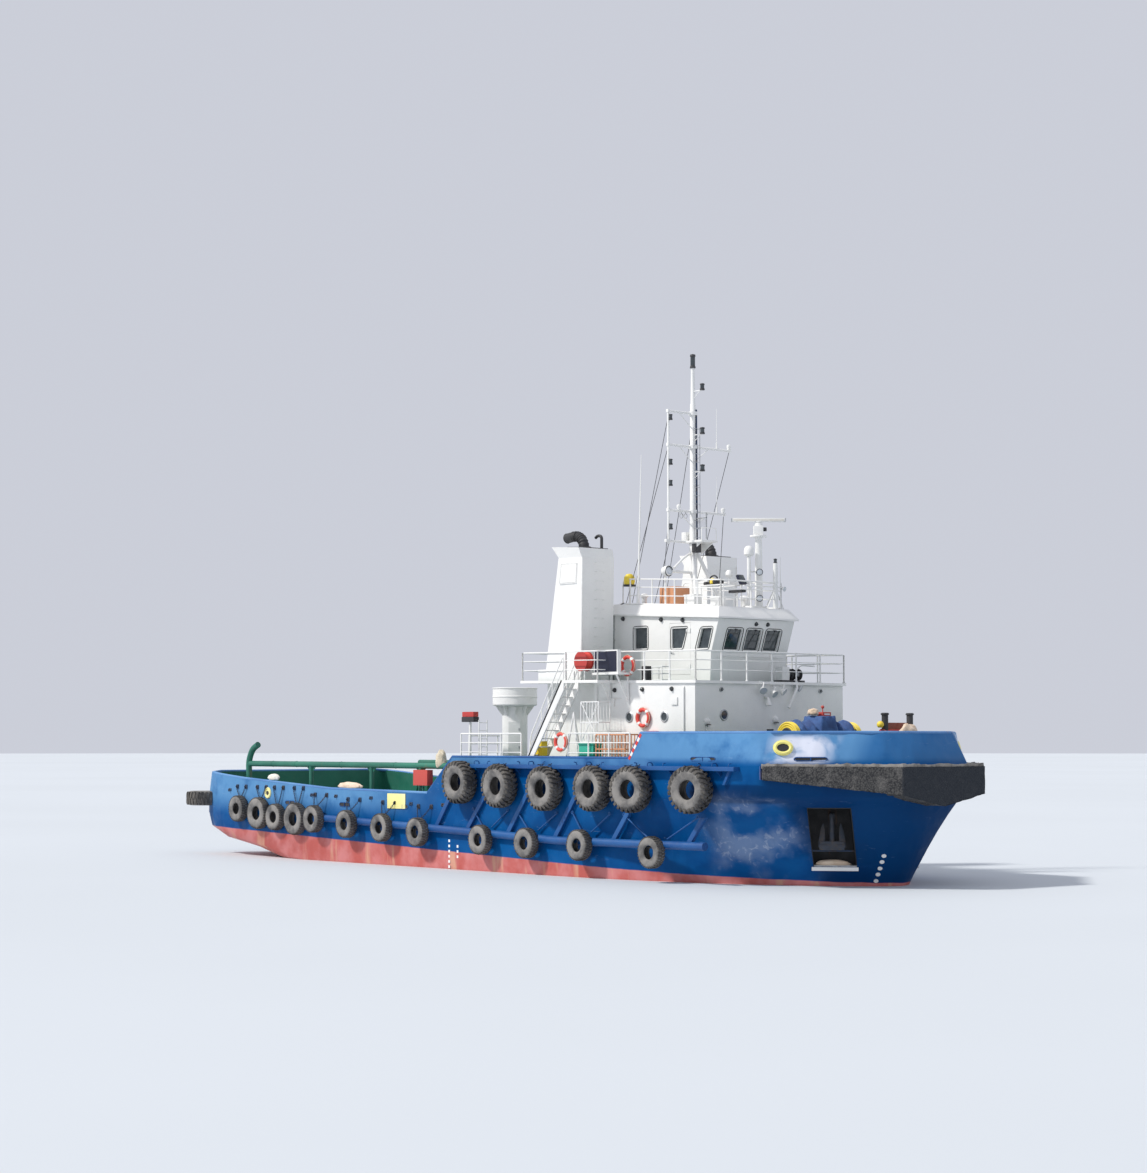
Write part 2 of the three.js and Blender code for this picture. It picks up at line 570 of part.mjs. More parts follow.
function exhaustSolid() {
  const { y, thinY } = exhaust;
  const topSlope = (funnel.topEndZ - funnel.topZ) / (funnel.topEndX - funnel.lipX);
  const topAt = (x) => funnel.topZ + topSlope * (x - funnel.lipX);
  const plate = sidePrism([[3500, topAt(3500) + touchGap], [4430, topAt(4430) + touchGap],
    [4430, topAt(4430) + 30], [3500, topAt(3500) + 30]], -3900, -2600);
  const fat = join(
    bar([3900, y, 12290], [3800, y, 12600], 210, 8), bar([3860, y, 12500], [3400, y, 12790], 205, 8),
    bar([3500, y, 12770], [2900, y, 12700], 195, 8));
  const hook = [[4200, 12260], [4200, 12740], [3970, 12790], [3850, 12700]];
  const thin = barRun(hook.map(([x, z]) => [x, thinY, z]), 60, 5);
  const overFunnel = [[2000, topAt(2000) + touchGap], [5000, topAt(5000) + touchGap],
    [5000, 14000], [2000, 14000]];
  return join(plate, fat, thin).intersect(sidePrism(overFunnel, -6000, 0));
}

// Wheelhouse: straight sides, front upright to the sills and raked forward above them.
const wheel = {
  aftX: 4080, footX: 9290, sillX: 9340, sillZ: 8200, headX: 9760, aftTop: 9760, foreTop: 9450,
};
const wheelOutline = (inset, lift) => [
  [wheel.aftX + inset, boatDeckTop(wheel.aftX) + lift],
  [wheel.footX - inset, boatDeckTop(wheel.footX) + lift], [wheel.sillX - inset, wheel.sillZ],
  [wheel.headX - inset, wheel.foreTop - inset], [wheel.aftX + inset, wheel.aftTop - inset],
];
// Side windows and the door window as [x, z] outlines.
const sideWindows = {
  aft: [[5170, 8460], [5890, 8460], [5890, 9240], [5170, 9240]],
  fore: [[8570, 8380], [9180, 8380], [9400, 9110], [8840, 9110]],
};
const doorWindow = [[7250, 8420], [7790, 8420], [8080, 9150], [7250, 9150]];
const wheelDoor = { x0: 7120, x1: 8240, z0: 7440, z1: 9340 };
// Front windows, [y0, y1]; aft windows likewise.
const frontWindows = [[-1370, -640], [-365, 365], [640, 1370]];
const aftWindows = [[-1500, -500], [500, 1500]];
const frontGlass = { z0: 8340, z1: 9080 };
const aftGlass = { z0: 8500, z1: 9250 };

function windowCutters() {
  const across = wheelhouseHalf + 300;
  const sides = Object.values(sideWindows).map((points) => sidePrism(points, -across, across));
  const front = frontWindows.map(([y0, y1]) => box(9150, 10400, y0, y1, frontGlass.z0, frontGlass.z1));
  const aft = aftWindows.map(([y0, y1]) => box(3800, 4500, y0, y1, aftGlass.z0, aftGlass.z1));
  return [...sides, ...front, ...aft];
}

function wheelhouseSolid() {
  const [half, room] = [wheelhouseHalf, wheelhouseHalf - wallThick];
  const outer = sidePrism(wheelOutline(0, touchGap), -half, half);
  const inner = sidePrism(wheelOutline(wallThick, wallThick), -room, room);
  const doorway = box(wheelDoor.x0 - runningGap, wheelDoor.x1 + runningGap, -half - 300, half + 300,
    wheelDoor.z0 - runningGap, wheelDoor.z1 + runningGap);
  return cut(outer, inner, doorway, ...windowCutters());
}

function wheelhouseDoorSolid() {
  const opening = sidePrism(doorWindow, -wheelhouseHalf - 100, -wheelhouseHalf + 200);
  return cut(doorLeaf(wheelDoor, wheelhouseHalf), opening);
}

// Window panes: thin slabs against the inner face of a wall or door, a little larger than the window.
const pane = { thick: 14, lap: 30 };

function paneOver(points, y, wallIn) {
  const middle = [0, 1].map((k) => points.reduce((sum, point) => sum + point[k], 0) / points.length);
  const larger = points.map((point) => point.map(
    (value, k) => value + Math.sign(value - middle[k]) * pane.lap));
  return sidePrism(larger, y + wallIn + touchGap, y + wallIn + touchGap + pane.thick);
}

function frontPane() {
  const [y0, y1] = [frontWindows[0][0] - pane.lap, frontWindows.at(-1)[1] + pane.lap];
  const inner = wheelOutline(wallThick + touchGap, wallThick);
  const back = wheelOutline(wallThick + touchGap + pane.thick, wallThick);
  return sidePrism([back[2], inner[2], inner[3], back[3]], y0, y1)
    .intersect(box(9000, 10000, y0, y1, frontGlass.z0 - pane.lap, frontGlass.z1 + pane.lap));
}

function aftPane() {
  const x = wheel.aftX + wallThick + touchGap;
  return box(x, x + pane.thick, aftWindows[0][0] - pane.lap, aftWindows.at(-1)[1] + pane.lap,
    aftGlass.z0 - pane.lap, aftGlass.z1 + pane.lap);
}

// Roof: flat top, sloping fascia and a small overhang.
const roof = { aftX: 3700, foreX: 9880, half: 2080, inset: 280, rise: 430, aftZ: 9780, foreZ: 9455 };

const roofRim = (x) => roof.aftZ + (roof.foreZ - roof.aftZ) * (x - roof.aftX) / (roof.foreX - roof.aftX);
const roofTop = (x) => roofRim(x) + roof.rise;

function roofSolid() {
  const corners = (x0, x1, half) => [[x0, -half], [x1, -half], [x1, half], [x0, half]];
  const rim = corners(roof.aftX, roof.foreX, roof.half);
  const inner = corners(roof.aftX + 150, roof.foreX - roof.inset, roof.half - roof.inset);
  const positions = [
    ...rim.flatMap(([x, y]) => [x, y, roofRim(x)]),
    ...rim.flatMap(([x, y]) => [x, y, roofRim(x) + 60]),
    ...inner.flatMap(([x, y]) => [x, y, roofTop(x)]),
  ];
  const index = [0, 2, 1, 0, 3, 2, 8, 9, 10, 8, 10, 11];
  for (const base of [0, 4]) {
    for (let i = 0; i < 4; i += 1) {
      const [a, b] = [base + i, base + (i + 1) % 4];
      index.push(a, b, b + 4, a, b + 4, a + 4);
    }
  }
  const geometry = new THREE.BufferGeometry();
  geometry.setAttribute('position', new THREE.BufferAttribute(new Float32Array(positions), 3));
  geometry.setIndex(index);
  const clearHalf = wheelhouseHalf + touchGap;
  const walls = sidePrism(wheelOutline(-touchGap, -20), -clearHalf, clearHalf);
  return cut(toSolid(geometry), walls);
}

const islandRail = { half: 1560, aft: 4500, fore: 9450, height: 980 };

function islandRails() {
  const { half, aft, fore, height } = islandRail;
  const path = [[aft, -half], [fore, -half], [fore, half], [aft, half]];
  return railing(path.map(([x, y]) => [x, y, roofTop(x)]), height);
}

// Mast: round pole on three legs, with yards, a signal pole and a lamp head.
const mast = { x: 6350, footZ: roofTop(6350) - 30, top: 19750 };
// Yards as height, starboard end and port end.
const yards = [
  { z: 17450, from: -1300, to: 60 }, { z: 16170, from: -1300, to: 1940 },
  { z: 13690, from: -1300, to: 1640 }, { z: 12520, from: -1400, to: 100 },
];

// Upright rods on the yards: y, foot, head and radius.
const mastRods = [
  { y: -1280, foot: 12400, head: 17500, radius: 55 },
  { y: 1250, foot: 16170, head: 17750, radius: 22 }, { y: 1250, foot: 13690, head: 15150, radius: 22 },
];
// Pole sections from the foot up: foot, head, radius at the foot and at the head.
const poleSections = [
  [mast.footZ, 13000, 150, 150], [12950, 17800, 130, 105], [17750, mast.top - 500, 90, 70],
  [mast.top - 550, mast.top, 110, 110],
];
const mastLeg = { spread: 700, reach: 900, headZ: 12300, radius: 75, footHalf: 125 };
const searchlight = { y: -1450, z: 11370, armEnd: -1350, radius: 180 };

function mastSolid() {
  const { x } = mast;
  const pole = poleSections.map(
    ([foot, head, radius, end]) => bar([x, 0, foot], [x, 0, head], radius, 8, end));
  const legX = x + mastLeg.reach;
  const legs = [-1, 1].flatMap((side) => {
    const y = side * mastLeg.spread;
    const { footHalf } = mastLeg;
    return [
      bar([legX, y, roofTop(legX) - 20], [x + 40, side * 40, mastLeg.headZ], mastLeg.radius, 6),
      box(legX - footHalf, legX + footHalf, y - footHalf, y + footHalf,
        roofTop(legX) - 30, roofTop(legX) + 65),
    ];
  });
  const arms = yards.map(({ z, from, to }) => bar([x, from, z], [x, to, z], 48, 6));
  const platform = box(x - 200, x + 900, -420, 420, 12480, 12560);
  const rods = mastRods.map(
    ({ y, foot, head, radius }) => bar([x, y, foot], [x, y, head], radius, radius > 50 ? 6 : 4));
  const ladder = bar([x + 190, 60, 12900], [x + 190, 60, 16900], 24, 4);
  const clips = [13300, 14700, 16100, 16850].map((z) => bar([x, 30, z], [x + 190, 60, z], 22, 4));
  const searchArm = bar([x, 0, searchlight.z], [x, searchlight.armEnd, searchlight.z], 60, 6);
  const lamp = bar([x - 180, searchlight.y, searchlight.z - 20], [x + 200, searchlight.y, searchlight.z + 30],
    searchlight.radius, 8);
  return join(...pole, ...legs, ...arms, platform, ...rods, ladder, ...clips, searchArm, lamp);
}

// Radar pedestal and dome post on the wheelhouse roof. turn is how the scanner stands at rest.
const radar = {
  x: 8950, y: 900, z: 12640, spindleZ: 13130, domeY: 450, domeZ: 12060, reach: 1030, turn: -40.6,
};

function radarPostSolid() {
  const foot = roofTop(radar.x) - 20;
  const dome = knob([radar.x - 60, radar.domeY, radar.domeZ], 210, 1);
  return join(
    bar([radar.x, radar.y, foot], [radar.x, radar.y, radar.z], 150, 8, 125),
    bar([radar.x, radar.y, radar.z - 20], [radar.x, radar.y, radar.z + 60], 320, 10),
    bar([radar.x, radar.y, radar.z], [radar.x, radar.y, radar.spindleZ], 200, 8, 170),
    bar([radar.x - 60, radar.domeY, foot + 20], [radar.x - 60, radar.domeY, radar.domeZ - 60], 75, 6), dome,
    box(radar.x - 320, radar.x + 200, radar.domeY - 180, radar.y + 220, foot - 20, foot + 80));
}

function radarScannerSolid() {
  return join(
    box(-90, 90, -radar.reach, radar.reach, -75, 75),
    bar([0, 0, -120], [0, 0, 0], 90, 8),
  ).rotate([0, 0, radar.turn]).translate([radar.x, radar.y, radar.spindleZ + 120 + touchGap]);
}

// Tub on a pedestal behind the deckhouse.
const tub = { x: -1300, y: -2500, radius: 880, bottom: 6380, top: 7090, pedestal: 500, wall: 50 };

function tubSolid() {
  const body = bar([0, 0, tub.bottom], [0, 0, tub.top], tub.radius, 20);
  const inside = bar([0, 0, tub.bottom + tub.wall], [0, 0, tub.top + 50], tub.radius - tub.wall, 20);
  const post = bar([0, 0, raisedDeckZ + touchGap], [0, 0, tub.bottom + 30], tub.pedestal, 16);
  return join(cut(body, inside), post).translate([tub.x, tub.y, 0]);
}

// Crash rails: heavy pipes along the cargo deck, with a horn at the aft end of the starboard one.
const crash = { y: 4640, z: 4000, aftX: -17000, foreX: -2700, radius: 125 };
// Posts as x of the foot; the aft ones stand clear of the deck's aft corner.
const crashPosts = [-12300, -7950, -4600];

const crashFoot = [crash.aftX + 100, -crash.y, cargoDeckZ - 40];
const crashEnds = {
  stbd: [crashFoot, [crash.aftX - 120, -crash.y, 4100], [crash.aftX + 160, -crash.y, 4650],
    [crash.aftX + 620, -crash.y, 4850]],
  port: [crashFoot, [crash.aftX + 80, -crash.y, crash.z]],
};

// Rail of one side, as on the starboard side.
function crashRailSolid(side) {
  const y = -crash.y;
  const rail = bar([crash.aftX, y, crash.z], [crash.foreX, y, crash.z], crash.radius, 6);
  const end = barRun(crashEnds[side], 135, 6);
  const posts = crashPosts.map((x) => bar([x, y, cargoDeckZ + touchGap], [x, y, crash.z], 95, 6));
  return join(rail, end, ...posts).intersect(box(-21000, 0, -6000, 0, cargoDeckZ + touchGap, 9000));
}

// Towing winch on the cargo deck, against the deck step.
const winch = { x: -4600, z: 3000, half: 1100, drum: 620, flange: 980, axle: 90, bore: 96, gearTop: 3550 };

function winchFrameSolid() {
  const cheek = (y0, y1) => sidePrism([
    [winch.x - 1000, cargoDeckZ + touchGap], [winch.x + 1000, cargoDeckZ + touchGap],
    [winch.x + 700, winch.z + 500], [winch.x - 500, winch.z + 700]], y0, y1);
  const [inside, outside] = [winch.half + 120, winch.half + 260];
  const bed = box(winch.x - 1000, winch.x + 1000, -outside, outside, cargoDeckZ + touchGap, cargoDeckZ + 160);
  const gear = box(winch.x - 520, winch.x + 520, -winch.half - 1050, -outside + 20,
    cargoDeckZ + 100, winch.gearTop);
  const hole = bar([winch.x, -winch.half - 230, winch.z], [winch.x, winch.half + 400, winch.z],
    winch.bore, 10);
  return cut(join(cheek(-outside, -inside), cheek(inside, outside), bed, gear), hole);
}

function winchDrumSolid() {
  const along = (y0, y1, radius, sides) => bar([winch.x, y0, winch.z], [winch.x, y1, winch.z], radius, sides);
  return join(
    along(-winch.half - 220, winch.half + 240, winch.axle, 10),
    along(-winch.half + 20, winch.half - 20, winch.drum, 16),
    along(-winch.half - 40, -winch.half + 60, winch.flange, 16),
    along(winch.half - 60, winch.half + 40, winch.flange, 16),
    along(winch.half + 200, winch.half + 330, 60, 8),
    along(winch.half + 260 + touchGap, winch.half + 330, 150, 10));
}

// Anchor windlass and mooring bitts on the fore deck.
const windlass = { x: 12900, shaftZ: 5150, bedTop: 4410, gearTop: 5820 };
// Turning parts on each side of the middle: y from, y to and radius.
const windlassDrums = [[350, 1250, 520], [1420, 1720, 300]];

function windlassSolid() {
  const { x, shaftZ, bedTop } = windlass;
  const across = (y0, y1, radius, sides) => bar([x, y0, shaftZ], [x, y1, shaftZ], radius, sides);
  const parts = [-1, 1].flatMap((side) => [
    ...windlassDrums.map(([y0, y1, radius]) => across(side * y0, side * y1, radius, 14)),
    box(x - 380, x + 380, Math.min(side * 1290, side * 1420), Math.max(side * 1290, side * 1420),
      bedTop - 60, shaftZ + 150),
  ]);
  return join(
    box(x - 900, x + 900, -1300, 1300, raisedDeckZ + touchGap, bedTop), across(-1700, 1700, 130, 10),
    box(x - 420, x + 420, -330, 330, bedTop - 60, windlass.gearTop), ...parts);
}

const bitts = { x: 16600, y: 640, top: 5960, radius: 120, barZ: 5250, barReach: 800, barRadius: 150 };

function bittsSolid() {
  const { x, barZ } = bitts;
  const posts = [-bitts.y, bitts.y].map(
    (y) => bar([x, y, raisedDeckZ + touchGap], [x, y, bitts.top], bitts.radius, 10));
  return join(...posts, bar([x, -bitts.barReach, barZ], [x, bitts.barReach, barZ], bitts.barRadius, 8));
}

// Propulsion: nozzle, propeller and rudder each side under the counter.
const prop = { x: -15000, radius: 1080, blades: 4, hub: 190, pitch: 28 };
const nozzle = { aft: -560, fore: 620, outer: 1330, inner: 1130 };

function nozzleSolid() {
  const y = -shaft.y;
  const along = (x0, x1, radius, sides) => bar([x0, y, shaft.z], [x1, y, shaft.z], radius, sides);
  const ring = cut(along(prop.x + nozzle.aft, prop.x + nozzle.fore, nozzle.outer, 24),
    along(prop.x - 700, prop.x + 700, nozzle.inner, 24));
  const strut = box(prop.x - 300, prop.x + 420, y - 90, y + 90, shaft.z + nozzle.inner + 60, 600);
  return cut(join(ring, strut), hullClear);
}

function propellerSolid() {
  const y = -shaft.y;
  const hub = bar([prop.x - 330, y, shaft.z], [skegEndX - touchGap, y, shaft.z], prop.hub, 12);
  const blades = [];
  for (let i = 0; i < prop.blades; i += 1) {
    const blade = box(-40, 40, -300, 300, 120, prop.radius)
      .rotate([0, 0, prop.pitch]).rotate([i * 360 / prop.blades, 0, 0]).translate([prop.x, y, shaft.z]);
    blades.push(blade);
  }
  const disc = bar([prop.x - 400, y, shaft.z], [prop.x + 400, y, shaft.z], prop.radius, 24);
  return join(hub, join(...blades).intersect(disc));
}

function rudderSolid() {
  const y = -shaft.y;
  const { half } = rudder;
  const plan = [[-500, -half], [250, -half], [420, 0], [250, half], [-500, half], [-1050, 0]];
  const blade = planPrism(plan, rudder.foot, rudder.head).translate([rudder.x, y, 0]);
  return join(blade, bar([rudder.x, y, rudder.head - 50], [rudder.x, y, rudder.trunkZ - touchGap], 100, 8));
}

// Anchors stowed in the pockets: crown, two flukes, shank, and a stub back to the pocket's wall.
const anchor = { y: 350, crownZ: 1400, shankTop: 2500, stubZ: 2420, flukeTop: 2150 };

function anchorSolid() {
  const { y, crownZ } = anchor;
  const flukes = [-1, 1].map((side) => bar(
    [side * 360, y - 30, crownZ], [side * 300, y + 100, anchor.flukeTop], 110, 6, 50));
  const parts = join(
    box(-420, 420, y - 120, y + 120, crownZ - 150, crownZ + 160), ...flukes,
    bar([0, y, crownZ], [0, y, anchor.shankTop], 90, 8),
    bar([0, y - 30, anchor.stubZ], [0, pocket.in - touchGap, anchor.stubZ], 100, 8));
  return parts.rotate([0, 0, pocket.turn]).translate([pocket.x, -pocket.y, 0]);
}

const upper = upperFender();
const bowFender = fenderSolid();
const hullClear = loftLevels(hullLevels, -touchGap);
const lower = cut(lowerFender(), hullClear);
const upperCut = cut(upper, hullClear);
const quarter = cut(sternTyre(), hullClear);

addMesh('hull', toGeometry(hull), 'blue');
addMesh('bow_fender', toGeometry(bowFender), 'rubber');
for (const [side, turned] of bothSides) {
  addMesh(`fender_upper_${side}`, toGeometry(turned(upperCut)), 'blue');
  addMesh(`fender_lower_${side}`, toGeometry(turned(lower)), 'blue');
  addMesh(`tyre_stern_${side}`, toGeometry(turned(quarter)), 'rubber');
  aftTyres.forEach(({ x, z, radius }, i) => {
    const tyreY = -(halfBeam + touchGap + smallTyre.width / 2);
    const tyre = hungTyre(radius, smallTyre.width, 10, x, tyreY, z);
    addMesh(`tyre_aft_${side}_${i + 1}`, toGeometry(turned(tyre)), 'rubber');
  });
}

addMesh('deckhouse', toGeometry(deckhouseSolid()), 'white');
addMesh('deckhouse_door', toGeometry(doorLeaf(houseDoor, -house.aftX0).rotate([0, 0, -90])), 'white');
addMesh('boat_deck', toGeometry(boatDeckSolid()), 'white');
addMesh('rails_boat_deck_aft', toGeometry(aftRails().intersect(above(boatDeckTop))), 'white');
addMesh('rails_boat_deck_fore', toGeometry(foreRails().intersect(above(boatDeckTop))), 'white');
addMesh('wheelhouse', toGeometry(wheelhouseSolid()), 'white');
addMesh('wheelhouse_roof', toGeometry(roofSolid()), 'white');
addMesh('rails_wheelhouse_roof', toGeometry(islandRails().intersect(above(roofTop))), 'white');
addMesh('mast', toGeometry(mastSolid().intersect(above(roofTop))), 'white');
addMesh('radar_post', toGeometry(radarPostSolid().intersect(above(roofTop))), 'white');
addMesh('glass_front', toGeometry(frontPane()), 'glass');
addMesh('glass_aft', toGeometry(aftPane()), 'glass');
addMesh('radar_scanner', toGeometry(radarScannerSolid()), 'white');
addMesh('tub_on_pedestal', toGeometry(tubSolid()), 'white');
addMesh('towing_winch', toGeometry(winchFrameSolid()), 'green');
addMesh('towing_winch_drum', toGeometry(winchDrumSolid()), 'steel');
addMesh('windlass', toGeometry(windlassSolid()), 'red');
addMesh('mooring_bitts', toGeometry(bittsSolid()), 'black');
for (const [side, turned] of bothSides) {
  addMesh(`stair_${side}`, toGeometry(turned(stairSolid())), 'white');
  addMesh(`funnel_${side}`, toGeometry(turned(funnelSolid())), 'white');
  addMesh(`exhaust_${side}`, toGeometry(turned(exhaustSolid())), 'black');
  for (const [end, outline] of Object.entries(sideWindows)) {
    const paneSolid = turned(paneOver(outline, -wheelhouseHalf, wallThick));
    addMesh(`glass_side_${end}_${side}`, toGeometry(paneSolid), 'glass');
  }
  addMesh(`glass_door_${side}`, toGeometry(turned(paneOver(doorWindow, -wheelhouseHalf, 60))), 'glass');
  addMesh(`wheelhouse_door_${side}`, toGeometry(turned(wheelhouseDoorSolid())), 'white');
  addMesh(`crash_rail_${side}`, toGeometry(turned(crashRailSolid(side))), 'green');
  addMesh(`nozzle_${side}`, toGeometry(turned(nozzleSolid())), 'red');
  addMesh(`propeller_${side}`, toGeometry(turned(propellerSolid())), 'bronze');
  addMesh(`rudder_${side}`, toGeometry(turned(rudderSolid())), 'red');
  addMesh(`anchor_${side}`, toGeometry(turned(anchorSolid())), 'black');
}

export default group;
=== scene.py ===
import json
import random
from math import copysign, cos, pi, radians, sin, sqrt

import bmesh
import bpy
from mathutils import Matrix, Vector, noise
from mathutils.bvhtree import BVHTree

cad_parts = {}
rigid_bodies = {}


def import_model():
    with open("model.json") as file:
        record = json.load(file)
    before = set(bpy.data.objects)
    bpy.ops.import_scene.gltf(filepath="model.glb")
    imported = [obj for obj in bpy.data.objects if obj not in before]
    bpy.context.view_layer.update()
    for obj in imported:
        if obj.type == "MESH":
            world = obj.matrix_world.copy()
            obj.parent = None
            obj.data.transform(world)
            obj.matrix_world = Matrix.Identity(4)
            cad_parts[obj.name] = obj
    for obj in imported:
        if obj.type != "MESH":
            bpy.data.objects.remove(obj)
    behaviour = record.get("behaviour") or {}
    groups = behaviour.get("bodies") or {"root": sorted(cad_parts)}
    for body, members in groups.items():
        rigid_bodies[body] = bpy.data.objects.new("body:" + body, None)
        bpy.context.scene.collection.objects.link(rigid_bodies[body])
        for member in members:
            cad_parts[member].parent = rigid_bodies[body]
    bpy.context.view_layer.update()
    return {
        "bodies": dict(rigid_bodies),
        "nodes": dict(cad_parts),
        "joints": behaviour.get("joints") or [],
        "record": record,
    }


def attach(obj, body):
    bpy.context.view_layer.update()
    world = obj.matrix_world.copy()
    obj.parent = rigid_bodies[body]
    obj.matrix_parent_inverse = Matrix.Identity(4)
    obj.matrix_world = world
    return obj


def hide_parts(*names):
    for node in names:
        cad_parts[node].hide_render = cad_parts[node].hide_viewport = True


# A tugboat afloat. Metres, +X to the bow, +Y to port, the floor at the waterline.
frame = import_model()
cadNodes = frame["nodes"]
scene = bpy.context.scene
print("frame loaded:", len(cadNodes), "nodes")

# Camera, floor and light
cameraView = {
    "place": (73.4, -63.47, 4.99),
    "azimuth": 49.4,
    "pitch": 3.632,
    "focalPixels": 2432.4,
    "imageSize": (1147, 1173),
    "sensor": 36.0,
}
studio = {
    "floorRadius": 900.0,
    "floorColour": (0.6, 0.64, 0.68),
    "sky": (0.83, 0.86, 0.96),
    "skyStrength": 0.72,
    "sunFrom": (-0.5, -1.0, 1.18),
    "sunStrength": 3.1,
    "sunSoftness": 5.0,
}


def linked(name, data):
    # A new object in the scene
    thing = bpy.data.objects.new(name, data)
    scene.collection.objects.link(thing)
    return thing


def lookingAlong():
    turn, rise = radians(cameraView["azimuth"]), radians(cameraView["pitch"])
    return Vector((-sin(turn) * cos(rise), cos(turn) * cos(rise), sin(rise)))


def makeCamera():
    data = bpy.data.cameras.new("viewCamera")
    data.sensor_width = cameraView["sensor"]
    data.lens = cameraView["sensor"] * cameraView["focalPixels"] / max(cameraView["imageSize"])
    data.clip_end = 3000
    camera = linked("viewCamera", data)
    camera.location = cameraView["place"]
    camera.rotation_euler = lookingAlong().to_track_quat("-Z", "Y").to_euler()
    scene.camera = camera


def pixelRay(px, py):
    # Direction from the camera through a pixel of the photograph
    ahead = lookingAlong()
    right = ahead.cross(Vector((0, 0, 1))).normalized()
    up = right.cross(ahead)
    width, height = cameraView["imageSize"]
    focal = cameraView["focalPixels"]
    return (ahead + right * ((px - width / 2) / focal) - up * ((py - height / 2) / focal)).normalized()


def makeStudio():
    scene.view_settings.view_transform = "Standard"
    world = bpy.data.worlds.new("paleSky")
    world.use_nodes = True
    sky = world.node_tree.nodes["Background"]
    sky.inputs[0].default_value = (*studio["sky"], 1)
    sky.inputs[1].default_value = studio["skyStrength"]
    scene.world = world
    sun = bpy.data.lights.new("sun", "SUN")
    sun.energy = studio["sunStrength"]
    sun.angle = radians(studio["sunSoftness"])
    sun.color = (1.0, 0.965, 0.91)
    lamp = linked("sun", sun)
    lamp.rotation_euler = (-Vector(studio["sunFrom"])).to_track_quat("-Z", "Y").to_euler()


makeCamera()
makeStudio()
print("camera and light placed")


# Node recipes for the finishes; every pattern reads Object coordinates.
class Finish:
    def __init__(self, name):
        self.material = bpy.data.materials.new(name)
        self.material.use_nodes = True
        self.tree = self.material.node_tree
        self.tree.nodes.clear()
        self.shader = self.add("ShaderNodeBsdfPrincipled")
        self.tree.links.new(self.shader.outputs[0], self.add("ShaderNodeOutputMaterial").inputs[0])
        self.place = self.add("ShaderNodeTexCoord").outputs["Object"]
        self.axes = self.add("ShaderNodeSeparateXYZ")
        self.tree.links.new(self.place, self.axes.inputs[0])

    def add(self, kind, **settings):
        node = self.tree.nodes.new(kind)
        for key, value in settings.items():
            setattr(node, key, value)
        return node

    def put(self, socket, value):
        if isinstance(value, bpy.types.NodeSocket):
            self.tree.links.new(value, socket)
        elif isinstance(value, tuple) and len(value) == 3 and socket.type == "RGBA":
            socket.default_value = (*value, 1)
        else:
            socket.default_value = value

    def noise(self, scale, detail=4.0, rough=0.55, stretch=None, twist=0.0):
        node = self.add("ShaderNodeTexNoise")
        for key, value in (("Scale", scale), ("Detail", detail), ("Roughness", rough),
                ("Distortion", twist)):
            node.inputs[key].default_value = value
        source = self.place
        if stretch:
            mapping = self.add("ShaderNodeMapping")
            mapping.inputs["Scale"].default_value = stretch
            self.put(mapping.inputs[0], self.place)
            source = mapping.outputs[0]
        self.put(node.inputs["Vector"], source)
        return node.outputs["Fac"]

    def cells(self, scale, feature="F1"):
        node = self.add("ShaderNodeTexVoronoi", feature=feature)
        node.inputs["Scale"].default_value = scale
        self.put(node.inputs["Vector"], self.place)
        return node.outputs["Distance"]

    def span(self, value, low, high, start=0.0, end=1.0):
        node = self.add("ShaderNodeMapRange", interpolation_type="SMOOTHSTEP")
        for socket, number in zip(node.inputs[1:5], (low, high, start, end)):
            socket.default_value = number
        self.put(node.inputs[0], value)
        return node.outputs[0]

    def cloud(self, levels, *pattern, **more):
        return self.span(self.noise(*pattern, **more), *levels)

    def calc(self, operation, first, second=0.0):
        node = self.add("ShaderNodeMath", operation=operation)
        self.put(node.inputs[0], first)
        self.put(node.inputs[1], second)
        return node.outputs[0]

    def mix(self, share, first, second):
        node = self.add("ShaderNodeMix", data_type="RGBA")
        self.put(node.inputs[0], share)
        self.put(node.inputs[6], first)
        self.put(node.inputs[7], second)
        return node.outputs[2]

    def both(self, *masks):
        value = masks[0]
        for mask in masks[1:]:
            value = self.calc("MULTIPLY", value, mask)
        return value

    def between(self, axis, low, high, soft):
        value = self.axes.outputs[axis]
        return self.both(self.span(value, low - soft, low + soft),
            self.span(value, high + soft, high - soft))

    def bump(self, height, depth, before=None):
        node = self.add("ShaderNodeBump")
        node.inputs["Distance"].default_value = depth
        self.put(node.inputs["Height"], height)
        if before:
            self.put(node.inputs["Normal"], before)
        return node.outputs[0]

    def done(self, colour, roughness=0.5, metallic=0.0, normal=None):
        self.put(self.shader.inputs["Base Color"], colour)
        self.put(self.shader.inputs["Roughness"], roughness)
        self.shader.inputs["Metallic"].default_value = metallic
        if normal:
            self.put(self.shader.inputs["Normal"], normal)
        return self.material


def paintFinish(name, colour, fade, rust=0.25, gloss=0.42, seams=0.0):
    # Ship's paint: faded patches, fine speckle, rust runs and waviness in the plate
    f = Finish(name)
    tone = f.mix(f.cloud((0.35, 0.68), 0.35, 5), colour, fade)
    tone = f.mix(f.both(f.cloud((0.58, 0.72), 26, 3), 0.1 + rust * 0.2), tone, (0.2, 0.16, 0.12))
    runs = f.both(f.cloud((0.6, 0.76), 1.0, 4, stretch=(3.2, 3.2, 0.2)),
        f.cloud((0.45, 0.68), 5.0, 4, stretch=(1, 1, 0.35)), rust)
    tone = f.mix(runs, tone, (0.3, 0.13, 0.05))
    rough = f.cloud((0.3, 0.7, gloss, gloss + 0.18), 3.0, 4)
    wave = f.bump(f.noise(0.9, 2, stretch=(1, 1, 0.7)), 0.05 + seams)
    return f.done(tone, rough, 0.0, f.bump(f.noise(60, 2), 0.0012, wave))


